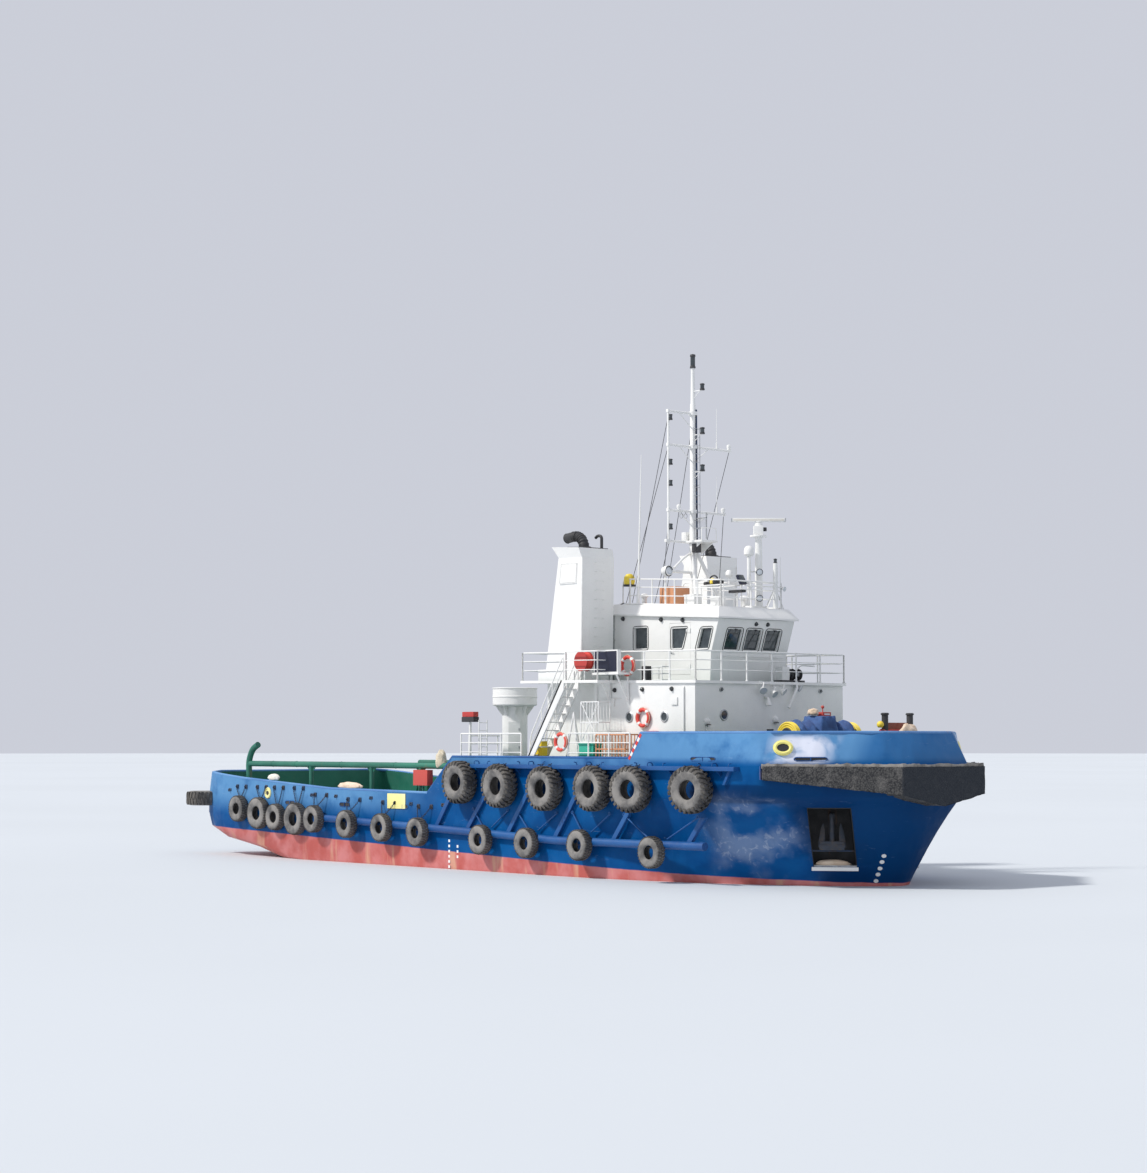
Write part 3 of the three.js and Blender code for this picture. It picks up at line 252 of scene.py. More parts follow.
bootTop = {"height": 0.6, "risePerMetre": -0.031, "edge": 0.02}
hullTones = {
    "blue": (0.001, 0.063, 0.228),
    "blueWorn": (0.003, 0.092, 0.292),
    "lighter": (0.1, 0.26, 0.49),
    # painted shade: the navy for the hull in the bow fender's shadow
    "deep": (0.001, 0.023, 0.09),
    "boot": (0.5, 0.12, 0.105),
    "bootFaded": (0.62, 0.23, 0.225),
    "underwater": (0.215, 0.06, 0.05),
    "scuff": (0.36, 0.44, 0.58),
    "chalk": (0.55, 0.6, 0.7),
    "run": (0.66, 0.38, 0.26),
}


def hullFinish():
    f = Finish("hullPaint")
    x, z = f.axes.outputs[0], f.axes.outputs[2]
    # Lighter blue towards the top of the side: aft of x -1.5 above z 1.75, amidships above z 3.95 and
    # forward of x 5 above z 4.15
    upper = f.both(f.span(z, 1.75, 2.75), f.span(x, -1.5, -9.0))
    foreBand = f.both(f.span(z, 4.15, 4.45), f.span(x, 5.0, 9.5))
    midBand = f.both(f.span(z, 3.95, 4.15), f.between(0, -2.2, 9.5, 0.4), 0.75)
    lighterAreas = f.calc("MAXIMUM", f.calc("MAXIMUM", upper, midBand), foreBand)
    mottle = f.cloud((0.36, 0.66), 0.5, 5, stretch=(1, 1, 1.6))
    blue = f.mix(mottle, hullTones["blue"], hullTones["blueWorn"])
    blue = f.mix(f.both(lighterAreas, f.cloud((0.15, 0.55), 0.8, 4)), blue, hullTones["lighter"])
    blue = f.mix(f.both(f.span(x, 16.9, 17.5), 0.65), blue, hullTones["blueWorn"])
    # Painted shade: forward of x 15 below z 3.9, and from x 12 between z 2.85 and 3.5, the hull is darkened
    # to navy for the shadow under the bow fender and its flare
    shade = f.calc("MAXIMUM", f.both(f.span(x, 14.7, 15.3), f.span(z, 4.1, 3.9)),
        f.both(f.span(x, 10.5, 12.0), f.between(2, 2.85, 3.5, 0.06)))
    blue = f.mix(f.both(shade, 0.7), blue, hullTones["deep"])
    # Worn patches where other boats push, below the knuckle forward
    rubbed = f.both(f.between(0, 12.0, 14.9, 0.8), f.between(2, 0.45, 2.9, 0.5),
        f.cloud((0.38, 0.66), 0.85, 4, 0.45))
    blue = f.mix(f.both(rubbed, 0.45), blue, hullTones["scuff"])
    chalky = f.both(rubbed, f.cloud((0.52, 0.68), 3.2, 7, 0.62, twist=0.5), 0.6)
    blue = f.mix(chalky, blue, hullTones["chalk"])
    # Painted highlight: a pale patch on the fore bulwark, x 15.3 to 16.5, stands for the sun's glint there
    paintedGlint = f.both(f.between(0, 15.3, 16.5, 0.3), f.between(2, 4.25, 5.15, 0.15),
        f.cloud((0.34, 0.56), 0.9, 5, 0.5, twist=0.7))
    blue = f.mix(f.both(paintedGlint, 0.9), blue, (0.8, 0.82, 0.92))
    scratch = f.both(f.cloud((0.64, 0.72), 2.2, 6, 0.7, stretch=(0.5, 0.5, 3.0), twist=0.6),
        f.span(z, 0.4, 1.4), 0.4)
    blue = f.mix(scratch, blue, (0.22, 0.33, 0.52))
    # Red boot-top with a slightly wavy upper edge and pale runs under the side
    line = f.calc("ADD", f.calc("MULTIPLY", x, bootTop["risePerMetre"]), bootTop["height"])
    over = f.calc("SUBTRACT", z, f.calc("ADD", line, f.calc("MULTIPLY", f.noise(1.2, 3), 0.05)))
    runs = f.both(f.cloud((0.53, 0.66), 0.9, 3, stretch=(1.6, 1.6, 0.1)), f.span(z, 1.5, 0.3))
    red = f.mix(f.cloud((0.35, 0.65), 0.8, 5), hullTones["boot"], hullTones["bootFaded"])
    red = f.mix(f.both(runs, 0.8), red, hullTones["run"])
    red = f.mix(f.span(z, 0.1, -0.25), red, hullTones["underwater"])
    growth = f.both(f.cloud((0.45, 0.65), 7, 6), f.span(z, 0.12, -0.5))
    red = f.mix(f.both(growth, 0.6), red, (0.05, 0.075, 0.035))
    tone = f.mix(f.span(over, -bootTop["edge"], bootTop["edge"]), red, blue)
    f.shader.inputs["Specular IOR Level"].default_value = 0.07
    rough = f.cloud((0.3, 0.7, 0.3, 0.52), 2.0, 4)
    plates = f.bump(f.noise(0.55, 2, stretch=(1.6, 1.6, 1.0)), 0.1)
    return f.done(tone, rough, 0.0, f.bump(f.noise(40, 3), 0.002, plates))


def deckFinish(name, colour, worn):
    # Gritty deck paint with worn patches and rust spots
    f = Finish(name)
    tone = f.mix(f.cloud((0.42, 0.62), 0.7, 7, 0.6), colour, worn)
    tone = f.mix(f.both(f.cloud((0.6, 0.7), 2.6, 8, 0.65, twist=0.8), 0.7), tone, (0.19, 0.085, 0.045))
    return f.done(tone, f.cloud((0.3, 0.7, 0.62, 0.85), 9, 3), 0.0, f.bump(f.noise(70, 2), 0.004))


def rubberFinish(name, colour, dusty, grain, depth):
    f = Finish(name)
    dust = f.cloud((0.35, 0.62), 1.7, 6, 0.6)
    tone = f.mix(dust, colour, dusty)
    tone = f.mix(f.both(f.cloud((0.6, 0.7), 12, 4), 0.5), tone, (0.3, 0.27, 0.23))
    return f.done(tone, f.cloud((0.3, 0.7, 0.72, 0.92), 5, 3), 0.0, f.bump(f.noise(grain, 5, 0.65), depth))


def crumbFinish():
    # Pressed rubber crumb of the bow fender, with painted shade on its front face
    f = Finish("crumbRubber")
    crumbs = f.cells(17.0)
    tone = f.mix(f.span(crumbs, 0.1, 0.85), (0.09, 0.088, 0.085), (0.024, 0.025, 0.028))
    tone = f.mix(f.both(f.cloud((0.5, 0.66), 3, 6), 0.45), tone, (0.165, 0.158, 0.15))
    # Painted shade: forward of x 18.7 the front face is painted a flat dark navy for the shade it lies in
    smooth = f.span(f.axes.outputs[0], 18.66, 18.72)
    tone = f.mix(f.both(smooth, 0.85), tone, (0.014, 0.02, 0.03))
    return f.done(tone, 0.9, 0.0, f.bump(f.calc("SUBTRACT", 1.0, crumbs), 0.03,
        f.bump(f.noise(22, 5), 0.02)))


def metalFinish(name, colour, rust, roughness, metallic, grain=30.0):
    f = Finish(name)
    tone = f.mix(f.cloud((0.44, 0.66), 4.0, 6, 0.6), colour, rust)
    return f.done(tone, f.cloud((0.3, 0.7, roughness, roughness + 0.2), 8, 4), metallic,
        f.bump(f.noise(grain, 4), 0.004))


def glassFinish():
    f = Finish("tintedGlass")
    smear = f.noise(2.4, 5)
    f.shader.inputs["Specular IOR Level"].default_value = 0.9
    tone = f.mix(f.span(smear, 0.35, 0.7), (0.02, 0.03, 0.036), (0.05, 0.065, 0.072))
    return f.done(tone, f.span(smear, 0.4, 0.7, 0.03, 0.12))


def ropeFinish():
    f = Finish("ropeFibre")
    strand = f.noise(30, 4, 0.6, stretch=(1, 1, 2.4))
    tone = f.mix(f.span(strand, 0.35, 0.65), (0.5, 0.42, 0.29), (0.74, 0.68, 0.55))
    return f.done(tone, 0.88, 0.0, f.bump(strand, 0.012))


def clothFinish(name, colour, shade):
    f = Finish(name)
    weave = f.noise(160, 2)
    tone = f.mix(f.cloud((0.3, 0.7), 3.5, 5), colour, shade)
    f.shader.inputs["Sheen Weight"].default_value = 0.15
    return f.done(tone, f.span(weave, 0.3, 0.7, 0.66, 0.82), 0.0, f.bump(weave, 0.0015))


def plankFinish():
    # Worn wooden sheathing, its planks laid fore and aft
    f = Finish("deckPlanks")
    board = f.calc("FRACT", f.calc("MULTIPLY", f.axes.outputs[1], 5.4))
    seam = f.span(f.calc("ABSOLUTE", f.calc("SUBTRACT", board, 0.5)), 0.45, 0.49)
    grain = f.noise(3.0, 7, 0.65, stretch=(0.25, 4.0, 1))
    tone = f.mix(f.span(grain, 0.35, 0.65), (0.15, 0.105, 0.072), (0.285, 0.225, 0.165))
    tone = f.mix(f.cloud((0.5, 0.66), 0.6, 5), tone, (0.105, 0.085, 0.068))
    tone = f.mix(seam, tone, (0.022, 0.019, 0.017))
    return f.done(tone, 0.86, 0.0, f.bump(f.calc("SUBTRACT", 1.0, seam), 0.01, f.bump(grain, 0.006)))


deckPlanks = plankFinish()
hullPaint = hullFinish()
bluePaint = paintFinish("bluePaint", (0.004, 0.066, 0.24), (0.01, 0.1, 0.31), 0.35)
paleBluePaint = paintFinish("paleBluePaint", (0.06, 0.185, 0.44), (0.11, 0.275, 0.54), 0.25)
greenPaint = paintFinish("greenPaint", (0.01, 0.125, 0.085), (0.022, 0.185, 0.125), 0.55)
deckGreen = deckFinish("deckGreen", (0.012, 0.095, 0.07), (0.045, 0.12, 0.095))
deckRed = deckFinish("deckRed", (0.2, 0.05, 0.036), (0.26, 0.095, 0.07))
whitePaint = paintFinish("whitePaint", (0.86, 0.86, 0.84), (0.78, 0.785, 0.775), 0.16, 0.38)
redPaint = paintFinish("redPaint", (0.44, 0.03, 0.028), (0.52, 0.07, 0.055), 0.3)
orangeRed = paintFinish("orangeRed", (0.66, 0.036, 0.026), (0.74, 0.095, 0.07), 0.1)
yellowPaint = paintFinish("yellowPaint", (0.84, 0.62, 0.03), (0.88, 0.7, 0.12), 0.22)
paleYellow = paintFinish("paleYellow", (0.88, 0.8, 0.25), (0.9, 0.86, 0.52), 0.12)
orangePaint = paintFinish("orangePaint", (0.6, 0.25, 0.115), (0.66, 0.34, 0.19), 0.25)
blackPaint = paintFinish("blackPaint", (0.022, 0.023, 0.027), (0.05, 0.05, 0.054), 0.4, 0.5)
navyPaint = paintFinish("navyPaint", (0.006, 0.008, 0.028), (0.01, 0.014, 0.04), 0.0, 0.35)
greenBoxPaint = paintFinish("greenBoxPaint", (0.012, 0.33, 0.225), (0.03, 0.38, 0.27), 0.1)
redBottom = paintFinish("redBottom", (0.23, 0.062, 0.05), (0.29, 0.095, 0.075), 0.2, 0.6)
wornEdge = rubberFinish("wornEdge", (0.11, 0.105, 0.1), (0.33, 0.31, 0.285), 22, 0.015)
lampGlass = metalFinish("lampGlass", (0.64, 0.68, 0.72), (0.46, 0.5, 0.55), 0.06, 0.15)
tyreRubber = rubberFinish("tyreRubber", (0.1, 0.098, 0.098), (0.25, 0.238, 0.225), 40, 0.006)
tyreTread = rubberFinish("tyreTread", (0.034, 0.033, 0.034), (0.12, 0.11, 0.098), 30, 0.01)
gasketRubber = rubberFinish("gasketRubber", (0.016, 0.017, 0.019), (0.035, 0.035, 0.036), 60, 0.001)
crumbRubber = crumbFinish()
anchorIron = metalFinish("anchorIron", (0.045, 0.055, 0.075), (0.085, 0.075, 0.072), 0.62, 0.2)
chainSteel = metalFinish("chainSteel", (0.03, 0.055, 0.11), (0.075, 0.06, 0.055), 0.55, 0.3)
bareSteel = metalFinish("bareSteel", (0.33, 0.33, 0.33), (0.24, 0.14, 0.085), 0.38, 0.85)
paleSteel = metalFinish("paleSteel", (0.52, 0.54, 0.56), (0.44, 0.44, 0.43), 0.35, 0.7)
bronze = metalFinish("bronze", (0.52, 0.34, 0.135), (0.3, 0.27, 0.14), 0.28, 0.9, 12)
tintedGlass = glassFinish()
rope = ropeFinish()
blueCloth = clothFinish("blueCloth", (0.02, 0.06, 0.2), (0.04, 0.115, 0.32))
paleCloth = clothFinish("paleCloth", (0.7, 0.66, 0.58), (0.82, 0.8, 0.74))
skinCloth = clothFinish("tanCanvas", (0.66, 0.5, 0.36), (0.78, 0.64, 0.5))


def meshOf(name, bm, recalculate=True):
    if recalculate:
        bmesh.ops.recalc_face_normals(bm, faces=bm.faces[:])
    mesh = bpy.data.meshes.new(name)
    bm.to_mesh(mesh)
    bm.free()
    return mesh


def floorFinish():
    f = Finish("paleFloor")
    tint = tuple(c * 0.965 for c in studio["floorColour"])
    return f.done(f.mix(f.cloud((0.3, 0.7), 0.02, 3), studio["floorColour"], tint), 0.75)


def makeFloor():
    bm = bmesh.new()
    bmesh.ops.create_circle(bm, cap_ends=True, segments=128, radius=studio["floorRadius"])
    mesh = meshOf("floor", bm, False)
    mesh.materials.append(floorFinish())
    floor = linked("floor", mesh)


makeFloor()
print("finishes made:", len(bpy.data.materials))


moved = Matrix.Translation
overKeel = Matrix.Diagonal((1, -1, 1, 1))


def spun(angle, axis):
    return Matrix.Rotation(radians(angle), 4, axis)


# Deck heights, each with the 0.3 mm that keeps fittings clear of the plating
raisedDeck, cargoDeck = 4.1503, 1.8003


def turnsOf(count):
    return [2 * pi * k / count for k in range(count)]


# Mesh makers; each adds closed parts to a bmesh.
def place(bm, part, matrix=None):
    mesh = meshOf("part", part, False)
    if matrix:
        mesh.transform(matrix)
        if matrix.determinant() < 0:
            mesh.flip_normals()
    bm.from_mesh(mesh)
    bpy.data.meshes.remove(mesh)


def mirrored(bm):
    # Adds the port side's copy of what was built to starboard
    place(bm, bm.copy(), overKeel)


def bridge(bm, rings, closed=False, capped=True):
    # Faces between rings of as many points each
    for low, high in zip(rings, rings[1:] + rings[:1] if closed else rings[1:]):
        count = len(low)
        for k in range(count):
            bm.faces.new((low[k], low[(k + 1) % count], high[(k + 1) % count], high[k]))
    if capped and not closed:
        bm.faces.new(rings[0][::-1])
        bm.faces.new(rings[-1])


def tube(bm, points, radius, sides=10):
    points = [Vector(p) for p in points]
    radii = radius if isinstance(radius, list) else [radius] * len(points)
    rings, normal = [], None
    for i, point in enumerate(points):
        before = (point - points[i - 1]).normalized() if i else (points[1] - point).normalized()
        after = (points[i + 1] - point).normalized() if i + 1 < len(points) else before
        along = (before + after).normalized()
        normal = along.orthogonal() if normal is None else normal - along * normal.dot(along)
        normal.normalize()
        side = along.cross(normal)
        steps = turnsOf(sides)
        rings.append([bm.verts.new(point + (normal * cos(a) + side * sin(a)) * radii[i]) for a in steps])
    bridge(bm, rings)


def rounded(points, bend, steps=4):
    # The same line with its corners turned into short curves
    points = [Vector(p) for p in points]
    line = [points[0]]
    for before, corner, after in zip(points, points[1:], points[2:]):
        start = corner + (before - corner).normalized() * min(bend, (before - corner).length * 0.48)
        end = corner + (after - corner).normalized() * min(bend, (after - corner).length * 0.48)
        for k in range(steps + 1):
            t = k / steps
            line.append(start.lerp(corner, t).lerp(corner.lerp(end, t), t))
    return line + [points[-1]]


def block(bm, low, high, bevel=0.01, matrix=None):
    part = bmesh.new()
    low, high = Vector(low), Vector(high)
    shape = moved((low + high) / 2) @ Matrix.Diagonal((*(high - low), 1))
    bmesh.ops.create_cube(part, size=1, matrix=shape)
    if bevel:
        bmesh.ops.bevel(part, geom=part.edges[:], offset=bevel, segments=2, affect="EDGES", profile=0.7)
    place(bm, part, matrix)


def prism(bm, outline, offset, bevel=0.0, matrix=None):
    # Flat outline of 3-D points, thickened by an offset
    part = bmesh.new()
    base = [part.verts.new(p) for p in outline]
    far = [part.verts.new(Vector(p) + Vector(offset)) for p in outline]
    part.faces.new(base)
    part.faces.new(far[::-1])
    for k in range(len(base)):
        part.faces.new((base[k], far[k], far[(k + 1) % len(base)], base[(k + 1) % len(base)]))
    bmesh.ops.recalc_face_normals(part, faces=part.faces[:])
    if bevel:
        bmesh.ops.bevel(part, geom=part.edges[:], offset=bevel, segments=2, affect="EDGES", profile=0.7)
    place(bm, part, matrix)


def lathe(bm, profile, steps=24, matrix=None):
    # Profile of (radius, height) turned about Z; it starts and ends on the axis or on the same point
    part = bmesh.new()
    closed = profile[0] == profile[-1]
    points = profile[:-1] if closed else profile
    rings = []
    for radius, height in points:
        count = 1 if radius < 1e-6 else steps
        turns = [2 * pi * k / steps for k in range(count)]
        rings.append([part.verts.new((radius * cos(a), radius * sin(a), height)) for a in turns])
    pairs = list(zip(rings, rings[1:])) + ([(rings[-1], rings[0])] if closed else [])
    for low, high in pairs:
        for k in range(steps):
            corners = [low[k % len(low)], low[(k + 1) % len(low)], high[(k + 1) % len(high)],
                high[k % len(high)]]
            corners = list(dict.fromkeys(corners))
            if len(corners) > 2:
                part.faces.new(corners)
    bmesh.ops.recalc_face_normals(part, faces=part.faces[:])
    place(bm, part, matrix)


def drum(radius, low, high):
    # Profile of a plain round block
    return [(0, low), (radius, low), (radius, high), (0, high)]


def turnTo(direction, place=(0, 0, 0)):
    # Matrix that stands a part's Z axis along a direction
    return moved(place) @ Vector(direction).to_track_quat("Z", "Y").to_matrix().to_4x4()


def dome(bm, centre, radius, squash=1.0, direction=(0, 0, 1), steps=20):
    # Ball with a flattened foot
    arc = [radians(a) for a in range(-55, 91, 15)]
    profile = [(0, radius * sin(arc[0]) * squash)]
    profile += [(radius * cos(a), radius * sin(a) * squash) for a in arc[:-1]] + [(0, radius * squash)]
    lathe(bm, profile, steps, turnTo(direction, centre))


def finishPiece(name, bm, material, body="boat", slot=None, replaces=(), sharp=35):
    mesh = meshOf(name, bm)
    mesh.materials.append(material)
    return settle(name, mesh, body, slot, replaces, sharp)


def settle(name, mesh, body="boat", slot=None, replaces=(), sharp=35):
    mesh.polygons.foreach_set("use_smooth", [True] * len(mesh.polygons))
    mesh.set_sharp_from_angle(angle=radians(sharp))
    piece = linked(name, mesh)
    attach(piece, body)
    if replaces:
        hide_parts(*replaces)
    return piece


# Geometry Nodes trees that repeat a unit round an axis or along a line.
def repeatTree(name, kind):
    tree = bpy.data.node_groups.new(name, "GeometryNodeTree")
    for label, way, sort in (("Geometry", "OUTPUT", "Geometry"), ("Geometry", "INPUT", "Geometry"),
            ("Unit", "INPUT", "Object"), ("Spacing", "INPUT", "Float"), ("Twist", "INPUT", "Float"),
            ("Finish", "INPUT", "Material")):
        tree.interface.new_socket(name=label, in_out=way, socket_type="NodeSocket" + sort)
    add = tree.nodes.new

    def join(first, output, second, entry):
        tree.links.new(first.outputs[output], second.inputs[entry])

    given, result = add("NodeGroupInput"), add("NodeGroupOutput")
    unit, copies = add("GeometryNodeObjectInfo"), add("GeometryNodeInstanceOnPoints")
    real, finish = add("GeometryNodeRealizeInstances"), add("GeometryNodeSetMaterial")
    join(given, "Unit", unit, "Object")
    join(unit, "Geometry", copies, "Instance")
    join(copies, 0, real, 0)
    join(real, 0, finish, 0)
    join(given, "Finish", finish, "Material")
    join(finish, 0, result, 0)
    index, angle, spin = add("GeometryNodeInputIndex"), add("ShaderNodeMath"), add("ShaderNodeCombineXYZ")
    angle.operation = "MULTIPLY"
    join(index, 0, angle, 0)
    join(given, "Twist", angle, 1)
    join(angle, 0, spin, "Z")
    if kind == "ring":
        # Twist is the angle between neighbours; Spacing is their count
        line = add("GeometryNodeMeshLine")
        line.inputs["Offset"].default_value = (0, 0, 0)
        join(given, "Spacing", line, "Count")
    else:
        line = add("GeometryNodeResampleCurve")
        line.mode = "LENGTH"
        join(given, "Geometry", line, "Curve")
        join(given, "Spacing", line, "Length")
    if kind == "path":
        # The unit's Z axis follows the line, and each one is turned by Twist more than the last
        tangent, lie = add("GeometryNodeInputTangent"), add("FunctionNodeAlignRotationToVector")
        local = add("FunctionNodeRotateRotation")
        lie.axis = "Z"
        local.rotation_space = "LOCAL"
        join(tangent, 0, lie, "Vector")
        join(lie, 0, local, 0)
        join(spin, 0, local, 1)
        spin = local
    join(line, 0, copies, "Points")
    join(spin, 0, copies, "Rotation")
    return tree


ringTree = repeatTree("repeatRoundAxis", "ring")
pathTree = repeatTree("repeatAlongLine", "path")
uprightTree = repeatTree("repeatUpright", "upright")


def nodesToMesh(holder, tree, unit, spacing, twist, material):
    modifier = holder.modifiers.new("repeat", "NODES")
    modifier.node_group = tree
    names = {item.name: item.identifier for item in tree.interface.items_tree if item.in_out == "INPUT"}
    modifier[names["Unit"]] = unit
    modifier[names["Spacing"]] = float(spacing)
    modifier[names["Twist"]] = float(twist)
    modifier[names["Finish"]] = material
    bpy.context.view_layer.update()
    evaluated = holder.evaluated_get(bpy.context.evaluated_depsgraph_get())
    mesh = bpy.data.meshes.new_from_object(evaluated)
    data = holder.data
    bpy.data.objects.remove(holder)
    (bpy.data.curves if isinstance(data, bpy.types.Curve) else bpy.data.meshes).remove(data)
    return mesh


def unitObject(name, bm):
    return linked(name, meshOf(name, bm))


def dropUnit(unit):
    mesh = unit.data
    bpy.data.objects.remove(unit)
    bpy.data.meshes.remove(mesh)


def roundAxis(unit, count, material):
    holder = linked("holder", bpy.data.meshes.new("holder"))
    return nodesToMesh(holder, ringTree, unit, count, 2 * pi / count, material)


def alongLines(unit, lines, spacing, twist, material, upright=False):
    curve = bpy.data.curves.new("lines", "CURVE")
    curve.dimensions = "3D"
    for points in lines:
        spline = curve.splines.new("POLY")
        spline.points.add(len(points) - 1)
        for target, point in zip(spline.points, points):
            target.co = (*point, 1)
    holder = linked("holder", curve)
    return nodesToMesh(holder, uprightTree if upright else pathTree, unit, spacing, twist, material)


def addMesh(bm, mesh, matrix=None):
    if matrix:
        mesh = mesh.copy()
        mesh.transform(matrix)
        if matrix.determinant() < 0:
            mesh.flip_normals()
    bm.from_mesh(mesh)
    if matrix:
        bpy.data.meshes.remove(mesh)


sides = {"stbd": -1, "port": 1}
finishes = {
    "blue": (bluePaint, "blue_paint"), "paleBlue": (paleBluePaint, "blue_paint"),
    "navy": (navyPaint, "blue_paint"), "blueCloth": (blueCloth, "blue_paint"),
    "green": (greenPaint, "green_paint"), "greenBox": (greenBoxPaint, "green_paint"),
    "white": (whitePaint, "white_paint"), "paleYellow": (paleYellow, "white_paint"),
    "yellow": (yellowPaint, "white_paint"), "paleCloth": (paleCloth, "white_paint"),
    "rope": (rope, "white_paint"), "red": (redPaint, "red_paint"), "orangeRed": (orangeRed, "red_paint"),
    "orange": (orangePaint, "red_paint"), "redBottom": (redBottom, "red_paint"),
    "black": (blackPaint, "black_paint"), "chain": (chainSteel, "black_paint"),
    "anchorIron": (anchorIron, "black_paint"),
    "rubber": (gasketRubber, "black_rubber"), "edge": (wornEdge, "black_rubber"),
    "lens": (lampGlass, "glass"),
    "steel": (bareSteel, "bare_steel"),
    "paleSteel": (paleSteel, "bare_steel"), "bronze": (bronze, "bronze"), "glass": (tintedGlass, "glass"),
    "deckRed": (deckRed, "red_paint"), "deckGreen": (deckGreen, "green_paint"),
}


class Fittings:
    # Parts of one group, kept apart by finish until they are turned into pieces
    def __init__(self, name, body="boat"):
        self.name, self.body, self.parts = name, body, {}

    def of(self, finish):
        return self.parts.setdefault(finish, bmesh.new())

    def tube(self, finish, *shape):
        tube(self.of(finish), *shape)

    def lathe(self, finish, *shape):
        lathe(self.of(finish), *shape)

    def block(self, finish, *shape):
        block(self.of(finish), *shape)

    def prism(self, finish, *shape):
        prism(self.of(finish), *shape)

    def torus(self, finish, *shape):
        torus(self.of(finish), *shape)

    def hoop(self, finish, *shape):
        hoop(self.of(finish), *shape)

    def mirrored(self):
        for bm in self.parts.values():
            mirrored(bm)
        return self

    def repeat(self, finish, unit, lines, spacing, twist=0.0, upright=True):
        # A unit along lines, and then the unit is dropped
        whole = unitObject(self.name + "Unit", unit)
        addMesh(self.of(finish), alongLines(whole, lines, spacing, twist, finishes[finish][0], upright))
        dropUnit(whole)

    def bolts(self, centre, direction, radius, count, size=0.02):
        # A ring of hexagon heads on a face
        head = bmesh.new()
        stand = moved((radius, 0, 0))
        lathe(head, drum(size, 0, size * 0.8), 6, stand)
        whole = unitObject(self.name + "Bolt", head)
        ring = roundAxis(whole, count, bareSteel)
        dropUnit(whole)
        addMesh(self.of("steel"), ring, turnTo(direction, centre))

    def done(self, *nodes, sharp=35):
        for i, (finish, bm) in enumerate(self.parts.items()):
            material, slot = finishes[finish]
            finishPiece(f"{self.name}_{finish}", bm, material, self.body, slot, () if i else nodes, sharp)


# Hull
def cadCopy(name, gap=0.0005):
    bm = bmesh.new()
    bm.from_mesh(cadNodes[name].data)
    bmesh.ops.remove_doubles(bm, verts=bm.verts[:], dist=gap)
    return bm


hullTree = BVHTree.FromBMesh(cadCopy("hull"))


def onHull(x, z, side=-1):
    return hullTree.ray_cast(Vector((x, side * 9, z)), Vector((0, -side, 0)))[:2]


def insideHull(face):
    # The wells' floors and the bulwarks' inner faces
    centre, normal = face.calc_center_median(), face.normal
    if normal.z > 0.95 and abs(centre.z - 1.87) < 0.02:
        return "planks"
    if normal.z > 0.95 and (abs(centre.z - 1.8) < 0.02 or abs(centre.z - 4.15) < 0.02):
        return "deck"
    if centre.z < 1.79 or abs(normal.z) > 0.8:
        return None
    outer = Vector((centre.x - 4.0, centre.y, 0))
    if centre.x > 8:
        outer = Vector(((centre.x - 12) * 0.9, centre.y, 0))
    elif centre.x > -18:
        outer = Vector((0, centre.y, 0))
    return "wall" if outer.dot(normal) < 0 else None


def buildHull():
    bm = cadCopy("hull")
    for face in bm.faces:
        kind = insideHull(face)
        face.material_index = {"deck": 1, "wall": 2, "planks": 3}.get(kind, 0)
    mesh = meshOf("hull_shell", bm, False)
    for material in (hullPaint, deckGreen, greenPaint, deckPlanks):
        mesh.materials.append(material)
    settle("hull_shell", mesh, slot="blue_paint", replaces=["hull"], sharp=24)
    for face in mesh.polygons:
        if face.material_index in (1, 3):
            face.use_smooth = False


buildHull()
print("hull done")

# Tyres
tyreSizes = {
    "big": {"radius": 0.83, "width": 0.56, "lugs": 24, "lugDepth": 0.075, "lugShare": 0.6, "slant": 0.12},
    "pipe": {"radius": 0.57, "width": 0.37, "lugs": 30, "lugDepth": 0.022, "lugShare": 0.66, "slant": 0.05},
    "aftLarge": {"radius": 0.68, "width": 0.37, "lugs": 34, "lugDepth": 0.022, "lugShare": 0.66,
        "slant": 0.05},
    "stern": {"radius": 0.8, "width": 0.64, "lugs": 26, "lugDepth": 0.045, "lugShare": 0.62, "slant": 0.05},
}
# Half of a tyre's section: share of the radius and of the half width, bead to crown and back inside
tyreSection = [(0.425, 0.62), (0.43, 0.76), (0.475, 0.86), (0.575, 0.96), (0.7, 1.0), (0.81, 0.96),
    (0.895, 0.84), (0.935, 0.62), (0.945, 0.3)]
tyreInside = [(0.885, 0.3), (0.86, 0.62), (0.78, 0.78), (0.64, 0.8), (0.52, 0.7)]


def tyreBody(size, steps):
    radius, half = size["radius"], size["width"] / 2
    skin = 1 - size["lugDepth"] / size["radius"]
    outside = [(r * radius * skin / 0.945, z * half) for r, z in tyreSection]
    inside = [(r * radius * skin / 0.945, z * half) for r, z in tyreInside]
    loop = outside + [(r, -z) for r, z in reversed(outside)] + [(r, -z)
        for r, z in reversed(inside)] + inside
    bm = bmesh.new()
    lathe(bm, loop + [loop[0]], steps)
    return bm


